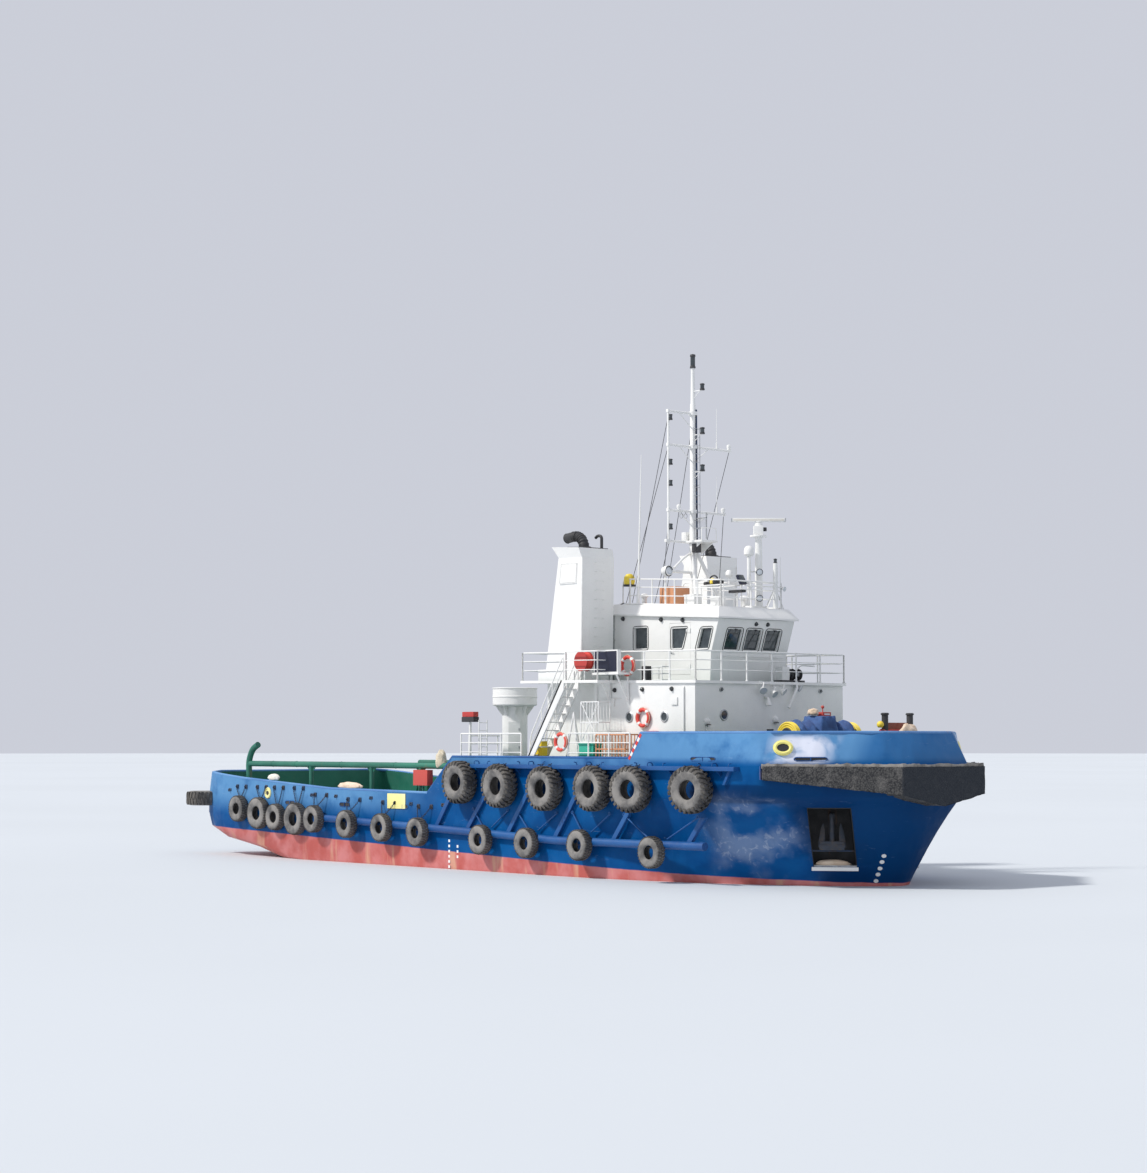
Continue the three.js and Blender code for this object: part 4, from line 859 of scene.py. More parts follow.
def tyreLug(size):
    # One pair of lugs, each from the middle of the tread down over its shoulder
    radius, half, pitch = size["radius"], size["width"] / 2, 2 * pi / size["lugs"]
    low = radius - size["lugDepth"]
    wide = pitch * size["lugShare"] / 2
    bm = bmesh.new()
    for side, shift in ((1, 0.0), (-1, pitch / 2)):
        rows = [(0.02, low - 0.01, radius, 0), (0.62, low - 0.012, radius, 0.5),
            (0.9, low * 0.955, radius * 0.965, 1)]
        if size["slant"] > 0.1:
            rows.append((1.03, low * 0.87, radius * 0.9, 1.2))
        rings = []
        for share, inner, outer, lean in rows:
            turn = shift + lean * size["slant"]
            corners = [(inner, turn - wide), (outer, turn - wide * 0.82), (outer, turn + wide * 0.82),
                (inner, turn + wide)]
            rings.append([bm.verts.new((r * cos(a), r * sin(a), side * half * share)) for r, a in corners])
        bridge(bm, rings)
    return bm


def makeTyre(kind, steps):
    size = tyreSizes[kind]
    body = bpy.data.meshes.new(kind + "Body")
    tyreBody(size, steps).to_mesh(body)
    unit = unitObject(kind + "Lug", tyreLug(size))
    tread = roundAxis(unit, size["lugs"], tyreTread)
    dropUnit(unit)
    return body, tread


bigTyres = [(-1.02, 3.4, 0), (1.44, 3.29, 0), (4.1, 3.23, 0), (6.8, 3.27, 0), (8.97, 3.27, 8),
    (12.07, 3.3, 10)]
pipeTyres = [(-10.9, 1.75), (-8.53, 1.6), (-6.11, 1.52), (-3.71, 1.41), (0.29, 1.23), (3.04, 1.19),
    (6.07, 1.21), (9.95, 1.08)]
aftTyres = [(-16.94, 2.05, "pipe"), (-15.36, 1.89, "aftLarge"), (-14.04, 1.75, "pipe"),
    (-12.53, 1.71, "aftLarge")]
hangs = {"bigY": 5.5, "pipeY": 5.49, "aftY": 5.285, "outSlope": 0.7}
quarterTyre = {"place": (-20.28, -4.93, 2.44), "sternX": -20.004, "corner": (-20.0, 4.85),
    "past": (-19.475, 5.0)}
tyreShapes = {kind: makeTyre(kind, 56 if kind == "big" else 44) for kind in tyreSizes}


def hungPlaces():
    # Each side tyre of the starboard side: kind, centre, turn about Z and a roll of its own
    spin = random.Random(4)
    places = []
    for x, z, turn in bigTyres:
        out = sin(radians(turn)) * tyreSizes["big"]["radius"] * hangs["outSlope"]
        places.append(("big", Vector((x, -hangs["bigY"] - out, z)), turn, spin.random() * 6))
    places += [("pipe", Vector((x, -hangs["pipeY"], z)), 0, spin.random() * 6) for x, z in pipeTyres]
    places += [(kind, Vector((x, -hangs["aftY"], z)), 0, spin.random() * 6) for x, z, kind in aftTyres]
    return places


def buildSideTyres():
    bodies, treads = bmesh.new(), bmesh.new()
    for kind, centre, turn, roll in hungPlaces():
        stand = moved(centre) @ spun(turn, "Z")
        stand = stand @ spun(90, "X") @ Matrix.Rotation(roll, 4, "Z")
        body, tread = tyreShapes[kind]
        addMesh(bodies, body, stand)
        addMesh(treads, tread, stand)
    for bm in (bodies, treads):
        mirrored(bm)
    names = [f"tyre_aft_{side}_{i}" for side in sides for i in range(1, 5)]
    finishPiece("side_tyres", bodies, tyreRubber, slot="black_rubber", replaces=names, sharp=50)
    finishPiece("side_tyre_treads", treads, tyreTread, slot="black_rubber")


def buildSternTyres():
    # The quarter tyres lie flat, shaped round the corner of the stern
    body, tread = tyreShapes["stern"]
    x, y, z = quarterTyre["place"]
    corner, past = quarterTyre["corner"], quarterTyre["past"]
    bm = bmesh.new()
    addMesh(bm, body, moved((x, y, z)))
    holder = unitObject("sternTyre", bm)
    cutter = bmesh.new()
    plan = [(quarterTyre["sternX"], -1), (quarterTyre["sternX"], -corner[1]), (past[0], -past[1]),
        (-17, -5.2), (-17, -1)]
    prism(cutter, [(px, py, z - 0.6) for px, py in plan], (0, 0, 1.2))
    tool = unitObject("sternCorner", cutter)
    modifier = holder.modifiers.new("corner", "BOOLEAN")
    modifier.operation = "DIFFERENCE"
    modifier.object = tool
    bpy.context.view_layer.update()
    cut = bpy.data.meshes.new_from_object(holder.evaluated_get(bpy.context.evaluated_depsgraph_get()))
    whole = bmesh.new()
    whole.from_mesh(cut)
    dropUnit(holder)
    dropUnit(tool)
    lugs = bmesh.new()
    addMesh(lugs, tread, moved((x, y, z)))
    islands = {v for v in lugs.verts if v.co.x > quarterTyre["sternX"] - 0.03 and v.co.y > -corner[1] - 0.09}
    stack = list(islands)
    while stack:
        for edge in stack.pop().link_edges:
            for v in edge.verts:
                if v not in islands:
                    islands.add(v)
                    stack.append(v)
    bmesh.ops.delete(lugs, geom=list(islands), context="VERTS")
    for bm in (whole, lugs):
        mirrored(bm)
    finishPiece("stern_tyres", whole, tyreRubber, slot="black_rubber",
        replaces=[f"tyre_stern_{s}" for s in sides], sharp=50)
    finishPiece("stern_tyre_treads", lugs, tyreTread, slot="black_rubber")


buildSideTyres()
buildSternTyres()
print("tyres done")

# Fender rails along the side
rails = {
    "upper": {"aft": -0.5, "fore": 14.0, "z": 4.03, "half": 0.075, "out": 5.4},
    "pipeRadius": 0.15, "pipeY": 5.215,
    "pipeLine": [(-11.1, 1.8), (-5.5, 1.64), (1.1, 1.44), (4.5, 1.32), (12.4, 1.35)],
    "slants": [(-1.5, 3.5, -2.95), (0.48, 3.27, -1.0), (3.4, 3.9, 1.5),
               (5.64, 3.15, 4.25), (8.43, 2.48, 7.5), (12.27, 2.33, 11.45)],
    "slantDepth": 0.12, "side": 5.1, "kneeStep": 1.15, "loopStep": 0.82,
}


def heightAlong(line, x):
    # Height at x of a line of (x, z) points
    for (x0, z0), (x1, z1) in zip(line, line[1:]):
        if x <= x1:
            return z0 + (z1 - z0) * (x - x0) / (x1 - x0)
    return line[-1][1]


def buildFenderRails():
    upper, side = rails["upper"], rails["side"]
    bm = bmesh.new()
    block(bm, (upper["aft"], -upper["out"], upper["z"] - upper["half"]),
        (upper["fore"], -side + 0.02, upper["z"] + upper["half"]), 0.03)
    foot = 3.48
    prism(bm, [(upper["fore"] - 0.42, -side - 0.13, upper["z"]),
        (upper["fore"] - 0.3, -side - 0.13, upper["z"]), (upper["fore"] - 0.62, -side - 0.13, foot),
        (upper["fore"] - 0.74, -side - 0.13, foot)], (0, 0.15, 0), 0.01)
    tube(bm, [(x, -rails["pipeY"], z) for x, z in rails["pipeLine"]], rails["pipeRadius"], 18)
    for topX, topZ, footX in rails["slants"]:
        footZ = heightAlong(rails["pipeLine"], footX)
        prism(bm, [(footX - 0.1, -side - rails["slantDepth"], footZ),
            (footX + 0.14, -side - rails["slantDepth"], footZ), (topX + 0.12, -side - rails["slantDepth"],
            topZ), (topX - 0.12, -side - rails["slantDepth"], topZ)], (0, rails["slantDepth"] + 0.03, 0),
            0.015)
    knee = bmesh.new()
    prism(knee, [(0, 0.03, -0.008), (0, -0.27, -0.008), (0.26, 0.03, -0.008)], (0, 0, 0.016))
    unit = unitObject("knee", knee)
    edge = upper["z"] - upper["half"] + 0.005
    addMesh(bm, alongLines(unit, [[(upper["aft"] + 0.3, -side, edge), (upper["fore"] - 0.9, -side, edge)]],
        rails["kneeStep"], 0, bluePaint))
    dropUnit(unit)
    loop = bmesh.new()
    bow = rounded([(0.0, -0.12, 0), (-0.13, -0.11, 0), (-0.13, 0.11, 0), (0.0, 0.12, 0)], 0.08)
    tube(loop, bow, 0.018, 6)
    unit = unitObject("lashingLoop", loop)
    edge = upper["z"] + upper["half"] - 0.01
    addMesh(bm, alongLines(unit, [[(upper["aft"] + 0.2, -5.22, edge), (upper["fore"] - 0.3, -5.22, edge)]],
        rails["loopStep"], pi / 2, bluePaint))
    dropUnit(unit)
    mirrored(bm)
    names = [f"fender_{row}_{s}" for row in ("upper", "lower") for s in sides]
    finishPiece("fender_rails", bm, bluePaint, slot="blue_paint", replaces=names, sharp=40)


buildFenderRails()
print("fender rails done")

# Tyre hangers, and the fittings let into the ship's side
hangers = {
    "linkPitch": 0.078, "linkRadius": 0.01, "linkHalf": (0.048, 0.026),
    "aftPads": 3.0, "aftSpread": 0.34, "pipeSpread": 0.42, "pipeRise": 0.42,
    "strapTops": [(0.29, -0.85, 1.25, 2.35), (3.04, -0.9, 1.35, 2.3), (6.07, -0.75, 1.3, 2.35),
        (9.95, -1.8, 2.05, 2.34)],
}


def chainLink():
    long, wide = hangers["linkHalf"]
    bm = bmesh.new()
    line = [(wide * cos(a), 0, long * sin(a) * 1.15) for a in (k * pi / 5 for k in range(10))]
    hoop(bm, line, hangers["linkRadius"], 5)
    return bm


def hoop(bm, points, radius, sides=8):
    # Closed tube
    points = [Vector(p) for p in points]
    count = len(points)
    middle = sum(points, Vector()) / count
    normal = (points[0] - middle).cross(points[count // 3] - middle).normalized()
    rings = []
    for i, point in enumerate(points):
        along = (points[(i + 1) % count] - points[i - 1]).normalized()
        out = along.cross(normal)
        turns = turnsOf(sides)
        rings.append([bm.verts.new(point + (out * cos(a) + normal * sin(a)) * radius) for a in turns])
    bridge(bm, rings, closed=True)


def torus(bm, centre, direction, ring, radius, steps=28, sides=8, start=0.0, sweep=2 * pi):
    stand = turnTo(direction, centre)
    turns = [start + sweep * k / steps for k in range(steps)]
    hoop(bm, [stand @ Vector((ring * cos(a), ring * sin(a), 0)) for a in turns], radius, sides)


def sagged(start, end, sag, steps=8):
    start, end = Vector(start), Vector(end)
    return [start.lerp(end, k / steps) - Vector((0, 0, sag * 4 * k / steps * (1 - k / steps)))
        for k in range(steps + 1)]


def buildHangers():
    g = Fittings("tyre_hangers")
    chains = []
    for kind, centre, *_ in hungPlaces():
        top = centre.z + tyreSizes[kind]["radius"]
        if kind == "big":
            for dx in (-0.22, 0.22):
                at = Vector((centre.x + dx, -5.36, 4.13))
                chains.append(sagged(at, at + Vector((dx * 0.3, -0.16 + min(0, centre.y + 5.5) * 0.6,
                    -0.02)), 0.02, 3))
            continue
        strapped = [tops for tops in hangers["strapTops"] if abs(tops[0] - centre.x) < 0.01]
        for x, before, after, high in strapped:
            # Painted straps lead from the tyre up to the slanting bars on both sides
            for dx in (before, after):
                foot, head = Vector((x + dx * 0.25, -5.19, top - 0.1)), Vector((x + dx, -5.155, high))
                g.tube("blue", [foot, head], 0.03, 8)
                g.torus("blue", head + Vector((0, -0.02, 0.02)), (0, 1, 0), 0.05, 0.018, 14, 6)
        if strapped:
            continue
        aft = centre.x < -11.5
        spread = hangers["aftSpread"] if aft else hangers["pipeSpread"]
        high = max(hangers["aftPads"], top + 0.3) if aft else top + hangers["pipeRise"]
        for dx in (-spread, spread):
            pad = Vector((centre.x + dx, -5.1, high))
            g.block("chain", pad - Vector((0.09, 0.035, 0.09)), pad + Vector((0.09, 0.03, 0.09)), 0.02)
            g.torus("chain", pad - Vector((0, 0.06, 0)), (1, 0, 0), 0.045, 0.014, 10, 6)
            chains.append(sagged(pad - Vector((0, 0.07, 0.03)),
                (centre.x + dx * 0.25, centre.y + 0.1, top - 0.03), 0.03))
    g.repeat("chain", chainLink(), chains, hangers["linkPitch"], pi / 2, False)
    g.mirrored().done()


sheer = [(-20.0, 3.63), (-16.9, 3.38), (-10.3, 3.02), (-3.6, 2.95), (-2.0, 4.38), (8.3, 4.38), (8.95, 5.28),
    (19.0, 5.28)]
sideFittings = {
    "freeingPort": (11.55, 12.75, 4.36),
    "aftPorts": [-17.2, -13.2, -9.2, -5.2], "aftPortZ": 2.02,
    "padPlates": [(-9.82, 2.71), (-11.57, 2.73), (-7.35, 2.68), (-4.64, 2.49), (-2.55, 2.49), (-17.9, 2.85)],
    "roundPlate": (-14.9, 2.76), "squarePlate": (-6.05, -5.02, 2.28, 2.88),
    "draftMarks": [(884, 856), (882, 862), (880, 868.5), (878, 874.5), (876, 881)],
    "chock": (783, 748), "bowSlots": [(794, 759.3), (827.5, 759.3)],
    "sideMarks": [(-2.15, 0.05, 6), (-1.62, 0.45, 3)],
}


def sheerAt(x):
    return heightAlong(sheer, x)


def seenOnHull(px, py):
    return hullTree.ray_cast(Vector(cameraView["place"]), pixelRay(px, py))[:2]


def oval(centre, direction, width, height, steps=28):
    # Points round an oval on a face, its long side level
    out = Vector(direction).normalized()
    along = Vector((0, 0, 1)).cross(out).normalized()
    up = out.cross(along)
    turns = turnsOf(steps)
    return [Vector(centre) + along * (width * cos(a)) + up * (height * sin(a)) for a in turns]


def ovalPlate(bm, centre, direction, width, height, thick, steps=28):
    prism(bm, oval(centre, direction, width, height, steps), Vector(direction).normalized() * thick)


def slotPlate(g, first, last, normal, height, finish="black"):
    # Dark slot with round ends and a bar across it
    middle, width = (first + last) / 2, (last - first).length / 2
    up = Vector((0, 0, height / 2))
    along = (last - first).normalized()
    ends = [(middle + along * (width - 0.1)), (middle - along * (width - 0.1))]
    line = []
    for end, turn in ((ends[0], -pi / 2), (ends[1], pi / 2)):
        for k in range(7):
            a = turn + pi * k / 6
            line.append(end + along * (0.1 * cos(a)) + up * sin(a))
    g.prism(finish, [p - normal * 0.02 for p in line], normal * 0.026)
    g.hoop("blue", [p + normal * 0.008 for p in line], 0.016, 6)
    g.tube("blue", [middle - up * 1.1 + normal * 0.02, middle + up * 1.1 + normal * 0.02], 0.02, 6)


def buildSideFittings():
    g = Fittings("side_fittings")
    x0, x1, z = sideFittings["freeingPort"]
    first, normal = onHull(x0, z)
    slotPlate(g, first, onHull(x1, z)[0], normal, 0.13)
    first, normal = seenOnHull(*sideFittings["bowSlots"][0])
    slotPlate(g, first, seenOnHull(*sideFittings["bowSlots"][1])[0], normal, 0.12)
    for x in sideFittings["aftPorts"]:
        point, normal = onHull(x, sideFittings["aftPortZ"] + 0.35)
        slotPlate(g, point - Vector((0.36, 0, 0)), point + Vector((0.36, 0, 0)), normal, 0.16)
    point, normal = seenOnHull(*sideFittings["chock"])
    ovalPlate(g.of("paleYellow"), point - normal * 0.01, normal, 0.34, 0.27, 0.05)
    g.hoop("paleYellow", oval(point + normal * 0.04, normal, 0.26, 0.19), 0.06, 8)
    ovalPlate(g.of("black"), point + normal * 0.02, normal, 0.22, 0.15, 0.03)
    for x, z in sideFittings["padPlates"]:
        point, normal = onHull(x, z)
        g.block("chain", point - Vector((0.11, 0.02, 0.06)), point + Vector((0.11, 0.03, 0.06)), 0.015)
        g.torus("chain", point - Vector((0, 0.05, 0.02)), (1, 0, 0), 0.05, 0.014, 10, 6)
    x, z = sideFittings["roundPlate"]
    point, normal = onHull(x, z)
    ovalPlate(g.of("paleYellow"), point - normal * 0.01, normal, 0.24, 0.24, 0.035)
    ovalPlate(g.of("black"), point, normal, 0.085, 0.085, 0.045)
    g.torus("paleYellow", point + normal * 0.03, normal, 0.2, 0.022, 28, 6)
    x0, x1, z0, z1 = sideFittings["squarePlate"]
    g.block("paleYellow", (x0 - 0.15, -5.135, z0), (x1 + 0.02, -5.09, z1), 0.006)
    for px, py in sideFittings["draftMarks"]:
        point, normal = seenOnHull(px, py)
        ovalPlate(g.of("white"), point - normal * 0.004, normal, 0.085, 0.075, 0.008, 12)
    for x, z0, count in sideFittings["sideMarks"]:
        for k in range(count):
            g.block("white", (x - 0.05, -5.105, z0 + 0.2 * k), (x + 0.05, -5.09, z0 + 0.1 + 0.2 * k), 0)
    # Striped end of the fore bulwark
    slope = [(8.3, 4.38), (8.95, 5.28)]
    steps = 7
    for k in range(steps):
        (xa, za), (xb, zb) = [(slope[0][0] + 0.65 * t / steps, slope[0][1] + 0.9 * t / steps)
            for t in (k, k + 1)]
        side = [(xa, -5.108, za - 0.01), (xb, -5.108, zb - 0.01), (xb + 0.09, -5.108, zb - 0.08),
            (xa + 0.09, -5.108, za - 0.08)]
        g.prism("white" if k % 2 else "orangeRed", side, (0, 0.02, 0))
    g.mirrored().done()


def buildBulwarkCap():
    g = Fittings("bulwark_cap")
    # Each stretch keeps the paint of the plating under it
    across = [hullTree.ray_cast(Vector((-25, y, 3.6)), Vector((1, 0, 0)))[0] for y in (0.0, -2.3, -4.3)]
    aft = [Vector((p.x + 0.055, p.y, 3.64)) for p in across]
    fore = []
    for first, last, step, line in ((-19.7, -3.6, 0.35, aft), (8.95, 17.15, 0.2, fore)):
        for k in range(int((last - first) / step) + 1):
            x = first + k * step
            line.append(Vector((x, onHull(x, sheerAt(x) - 0.03)[0].y + 0.05, sheerAt(x) - 0.01)))
    for y in (-1.6, -0.8, 0.0):
        point = hullTree.ray_cast(Vector((25, y, 5.25)), Vector((-1, 0, 0)))[0]
        fore.append(Vector((point.x - 0.05, y, 5.27)))
    middle = [aft[-1]] + [Vector((x, onHull(x, sheerAt(x) - 0.03)[0].y + 0.05, sheerAt(x) - 0.01))
        for x in (-2.0, 2.0, 5.0, 8.3)]
    for finish, line in (("paleBlue", aft), ("blue", middle + [fore[0]]), ("paleBlue", fore)):
        g.tube(finish, line, 0.06, 10)
    # Stiffeners inside the bulwarks
    for x0, x1, z, reach, high in ((-17.6, -4.9, 1.8, 0.24, 1.12), (9.3, 10.9, 4.15, 0.2, 0.98)):
        knee = bmesh.new()
        prism(knee, [(-0.008, -0.02, 0), (-0.008, reach, 0), (-0.008, 0.07, high), (-0.008, -0.02, high)],
            (0.016, 0, 0))
        g.repeat("green", knee, [[(x0, -4.99, z), (x1, -4.99, z)]], 1.05)
    g.mirrored().done()


pocket = {"place": (15.77, -2.44, 0), "turn": 44, "z": 1.7, "halfWidth": 0.75, "halfHeight": 1.025,
    "slant": 0.11, "back": 1.25, "bars": (1.23,), "sill": (0.535, 0.665)}


def pocketX(side, z, inset=0.004):
    lean = pocket["slant"] * (pocket["z"] - z) / pocket["halfHeight"]
    return side * (pocket["halfWidth"] - inset) + lean


def pocketEdge(turn, side, z):
    # Local depth of the ship's side beside the pocket, so that no plate stands out of it
    start = turn @ Vector((pocketX(side, z) + side * 0.06, -3.0, z))
    hit = hullTree.ray_cast(start, turn.to_3x3() @ Vector((0, 1, 0)))[0]
    return (turn.inverted() @ hit).y + 0.03


def sackMesh(centre, half, seed, lump=0.16):
    # A slack closed bag: a ball pressed flat, with lumps and creases in it
    bm = bmesh.new()
    bmesh.ops.create_icosphere(bm, subdivisions=4, radius=1)
    for v in bm.verts:
        n = v.co.normalized()
        crease = abs(noise.noise(n * 4.7 + Vector((0, seed, 0))))
        bulge = 1 + lump * noise.noise(n * 2.1 + Vector((seed, 0, 0))) - lump * 0.5 * crease
        low = max(-0.62, n.z)
        v.co = Vector(centre) + Vector((n.x * half[0], n.y * half[1], low * half[2])) * bulge
    bmesh.ops.recalc_face_normals(bm, faces=bm.faces[:])
    return bm


def buildPocketTrim():
    # The anchor pocket: black sheets on its back, sides and roof as painted shade, a pale sill and a bar
    g = Fittings("anchor_pockets")
    turn = moved(pocket["place"]) @ spun(pocket["turn"], "Z")
    low, high = pocket["z"] - pocket["halfHeight"] + 0.004, pocket["z"] + pocket["halfHeight"] - 0.004
    corners = [(pocketX(-1, low), low), (pocketX(1, low), low), (pocketX(1, high), high),
        (pocketX(-1, high), high)]
    back = pocket["back"]
    g.prism("black", [(x, back - 0.03, z) for x, z in corners], (0, 0.027, 0), 0, turn)
    for side in (-1, 1):
        levels = [low + (high - low) * t for t in (0, 0.25, 0.5, 0.75, 1)]
        wall = [(pocketX(side, z), pocketEdge(turn, side, z), z) for z in levels]
        wall += [(pocketX(side, high), back - 0.01, high), (pocketX(side, low), back - 0.01, low)]
        g.prism("black", wall, (-side * 0.02, 0, 0), 0, turn)
    for finish, z, thick in (("black", high, -0.025), ("paleSteel", low, 0.04)):
        sheet = [(pocketX(side, z), pocketEdge(turn, side, z), z) for side in (-1, 1)]
        sheet += [(pocketX(side, z), back - 0.02, z) for side in (1, -1)]
        g.prism(finish, sheet, (0, 0, thick), 0, turn)
    for z in pocket["bars"]:
        depth = max(pocketEdge(turn, side, z) for side in (-1, 1)) + 0.05
        g.tube("chain", [turn @ Vector((pocketX(side, z, 0.01), depth, z)) for side in (-1, 1)], 0.028, 8)
    g.mirrored().done()
    for name, side in sides.items():
        # A pale sill stands out of the side, and a canvas bundle lies on it
        z0, z1 = pocket["sill"]
        g = Fittings("pocket_sill_" + name)
        edge = [(s * (pocket["halfWidth"] + 0.05) + 0.1, pocketEdge(turn, s, z0 + 0.08) - 0.1)
            for s in (-1, 1)]
        g.prism("white", [(x, y, z0) for x, y in edge] + [(x, y + 0.28, z0) for x, y in edge[::-1]],
            (0, 0, z1 - z0), 0.015, turn)
        g.of("white").transform(Matrix.Diagonal((1, -side, 1, 1)))
        g.done()
        bundle = sackMesh((0.04, 0.7, 0.775), (0.6, 0.13, 0.14), 5)
        bundle.transform(Matrix.Diagonal((1, -side, 1, 1)) @ turn)
        finishPiece("pocket_bundle_" + name, bundle, skinCloth, slot="white_paint")


def buildBowFender():
    bm = cadCopy("bow_fender")
    long = [e for e in bm.edges if e.calc_length() > 0.16]
    while long and len(bm.faces) < 40000:
        bmesh.ops.subdivide_edges(bm, edges=long, cuts=1, use_grid_fill=False)
        bmesh.ops.triangulate(bm, faces=bm.faces[:])
        long = [e for e in bm.edges if e.calc_length() > 0.16]
    bm.normal_update()
    moves = {}
    for v in bm.verts:
        out = Vector((v.co.x - 12.5, v.co.y, 0)).normalized()
        if v.normal.dot(out) < 0.25 and v.normal.z > -0.5 and v.normal.z < 0.5:
            continue
        lump = noise.noise(v.co * 3.1) * 0.5 + noise.noise(v.co * 8.7) * 0.5
        depth = 0.05 if v.normal.z < -0.4 else 0.028
        moves[v] = v.normal * (depth * (lump - 0.55))
    for v, move in moves.items():
        v.co += move
    finishPiece("bow_fender_rubber", bm, crumbRubber, slot="black_rubber", replaces=["bow_fender"], sharp=50)
    g = Fittings("fender_fixings")
    # Steel end plate
    g.block("blue", (15.055, -5.22, 3.68), (15.105, -5.1, 4.14), 0.01)
    # Worn upper edge, ragged where the rubber has torn
    corners = [Vector(p) for p in ((15.12, -5.19, 0), (18.7, -2.08, 0), (18.7, 0.0, 0))]
    bm = g.of("edge")
    rows = []
    for first, last in zip(corners, corners[1:]):
        along = (last - first).normalized()
        inward = Vector((-along.y, along.x, 0))
        count = int((last - first).length / 0.11)
        for k in range(count + (last is corners[-1])):
            spot = first.lerp(last, k / count)
            high = 4.215 + 0.05 * noise.noise(spot * 5.0) + 0.03 * noise.noise(spot * 17.0)
            rows.append([bm.verts.new((spot + inward * deep).to_tuple()[:2] + (z,))
                for deep, z in ((0, 4.06), (0.16, 4.06), (0.15, high - 0.02), (0.02, high))])
    bridge(bm, rows)
    g.mirrored().done()


buildHangers()
buildSideFittings()
buildBulwarkCap()
buildPocketTrim()
buildBowFender()
print("side fittings done")

# Rails: round posts, a hand rail and two lower rails along a path at the deck
railSizes = {"post": 0.03, "top": 0.028, "mid": 0.018, "foot": 0.055, "step": 1.28, "mids": (0.36, 0.69),
    "bend": 0.14}


def railing(g, path, height, finish="white", step=None, ends=()):
    top = [Vector(p) + Vector((0, 0, height)) for p in path]
    for end, reach in ends:
        # The hand rail curves down to the deck past this end
        base = Vector(path[end]) + Vector(reach)
        extra = [base + Vector((0, 0, height)), base - Vector((0, 0, 0.01))]
        top = top + extra if end else extra[::-1] + top
    g.tube(finish, rounded(top, 0.32 if ends else railSizes["bend"]), railSizes["top"], 10)
    for share in railSizes["mids"]:
        line = [Vector(p) + Vector((0, 0, height * share)) for p in path]
        g.tube(finish, rounded(line, railSizes["bend"]), railSizes["mid"], 8)
    post = bmesh.new()
    lathe(post, [(0, -0.01), (railSizes["foot"], -0.01), (railSizes["foot"], 0.014),
        (railSizes["post"] * 1.4, 0.03), (railSizes["post"], 0.05), (railSizes["post"], height),
        (0, height)], 8)
    g.repeat(finish, post, [[a, b] for a, b in zip(path, path[1:])], step or railSizes["step"])


def boatDeckAt(x):
    return 7.31 - 0.015 * x


def roofAt(x):
    return 9.78 - 0.325 * (x - 3.7) / 6.18 + 0.43


deckRails = {"height": 1.06, "half": 4.09, "aft": 1.11, "openX": 3.66, "wing": 4.92, "wingX": (4.62, 6.44),
    "foreHalf": 3.84, "front": 10.5, "roofHalf": 1.56, "roofX": (4.5, 9.45), "roofHeight": 0.98}


def buildDeckRails():
    r = deckRails
    g = Fittings("boat_deck_rails_aft")
    path = [(r["openX"], -r["half"]), (r["aft"], -r["half"]), (r["aft"], r["half"]), (r["openX"], r["half"])]
    railing(g, [(x, y, boatDeckAt(x)) for x, y in path], r["height"])
    g.done("rails_boat_deck_aft")
    g = Fittings("boat_deck_rails_fore")
    (x0, x1), wing, half, front = r["wingX"], r["wing"], r["foreHalf"], r["front"]
    path = [(x0, -wing), (x1, -wing), (x1, -half), (front, -half)]
    path += [(x, -y) for x, y in reversed(path)]
    railing(g, [(x, y, boatDeckAt(x)) for x, y in path], r["height"])
    g.done("rails_boat_deck_fore")
    g = Fittings("roof_rails")
    (x0, x1), half = r["roofX"], r["roofHalf"]
    path = [(x, y, roofAt(x)) for x, y in ((x0, -half), (x1, -half), (x1, half), (x0, half))]
    railing(g, path, r["roofHeight"], step=1.1, ends=((0, (-0.42, 0, 0)), (-1, (-0.42, 0, 0))))
    g.done("rails_wheelhouse_roof")
    # Raised deck rails along the side, inside the low coaming
    g = Fittings("raised_deck_rails")
    for line in ([(-1.7, -4.88), (2.0, -4.88)], [(4.75, -4.88), (8.15, -4.88)]):
        railing(g, [(x, y, 4.15) for x, y in line], 1.12, step=0.95)
    g.mirrored()
    for ends in ((-3.9, -1.0), (1.0, 3.9)):
        railing(g, [(-2.45, y, 4.15) for y in ends], 1.05)
    g.done()


buildDeckRails()

stair = {"headX": 4.53, "y": (4.17, 4.93), "treads": 9, "stringer": 0.05}


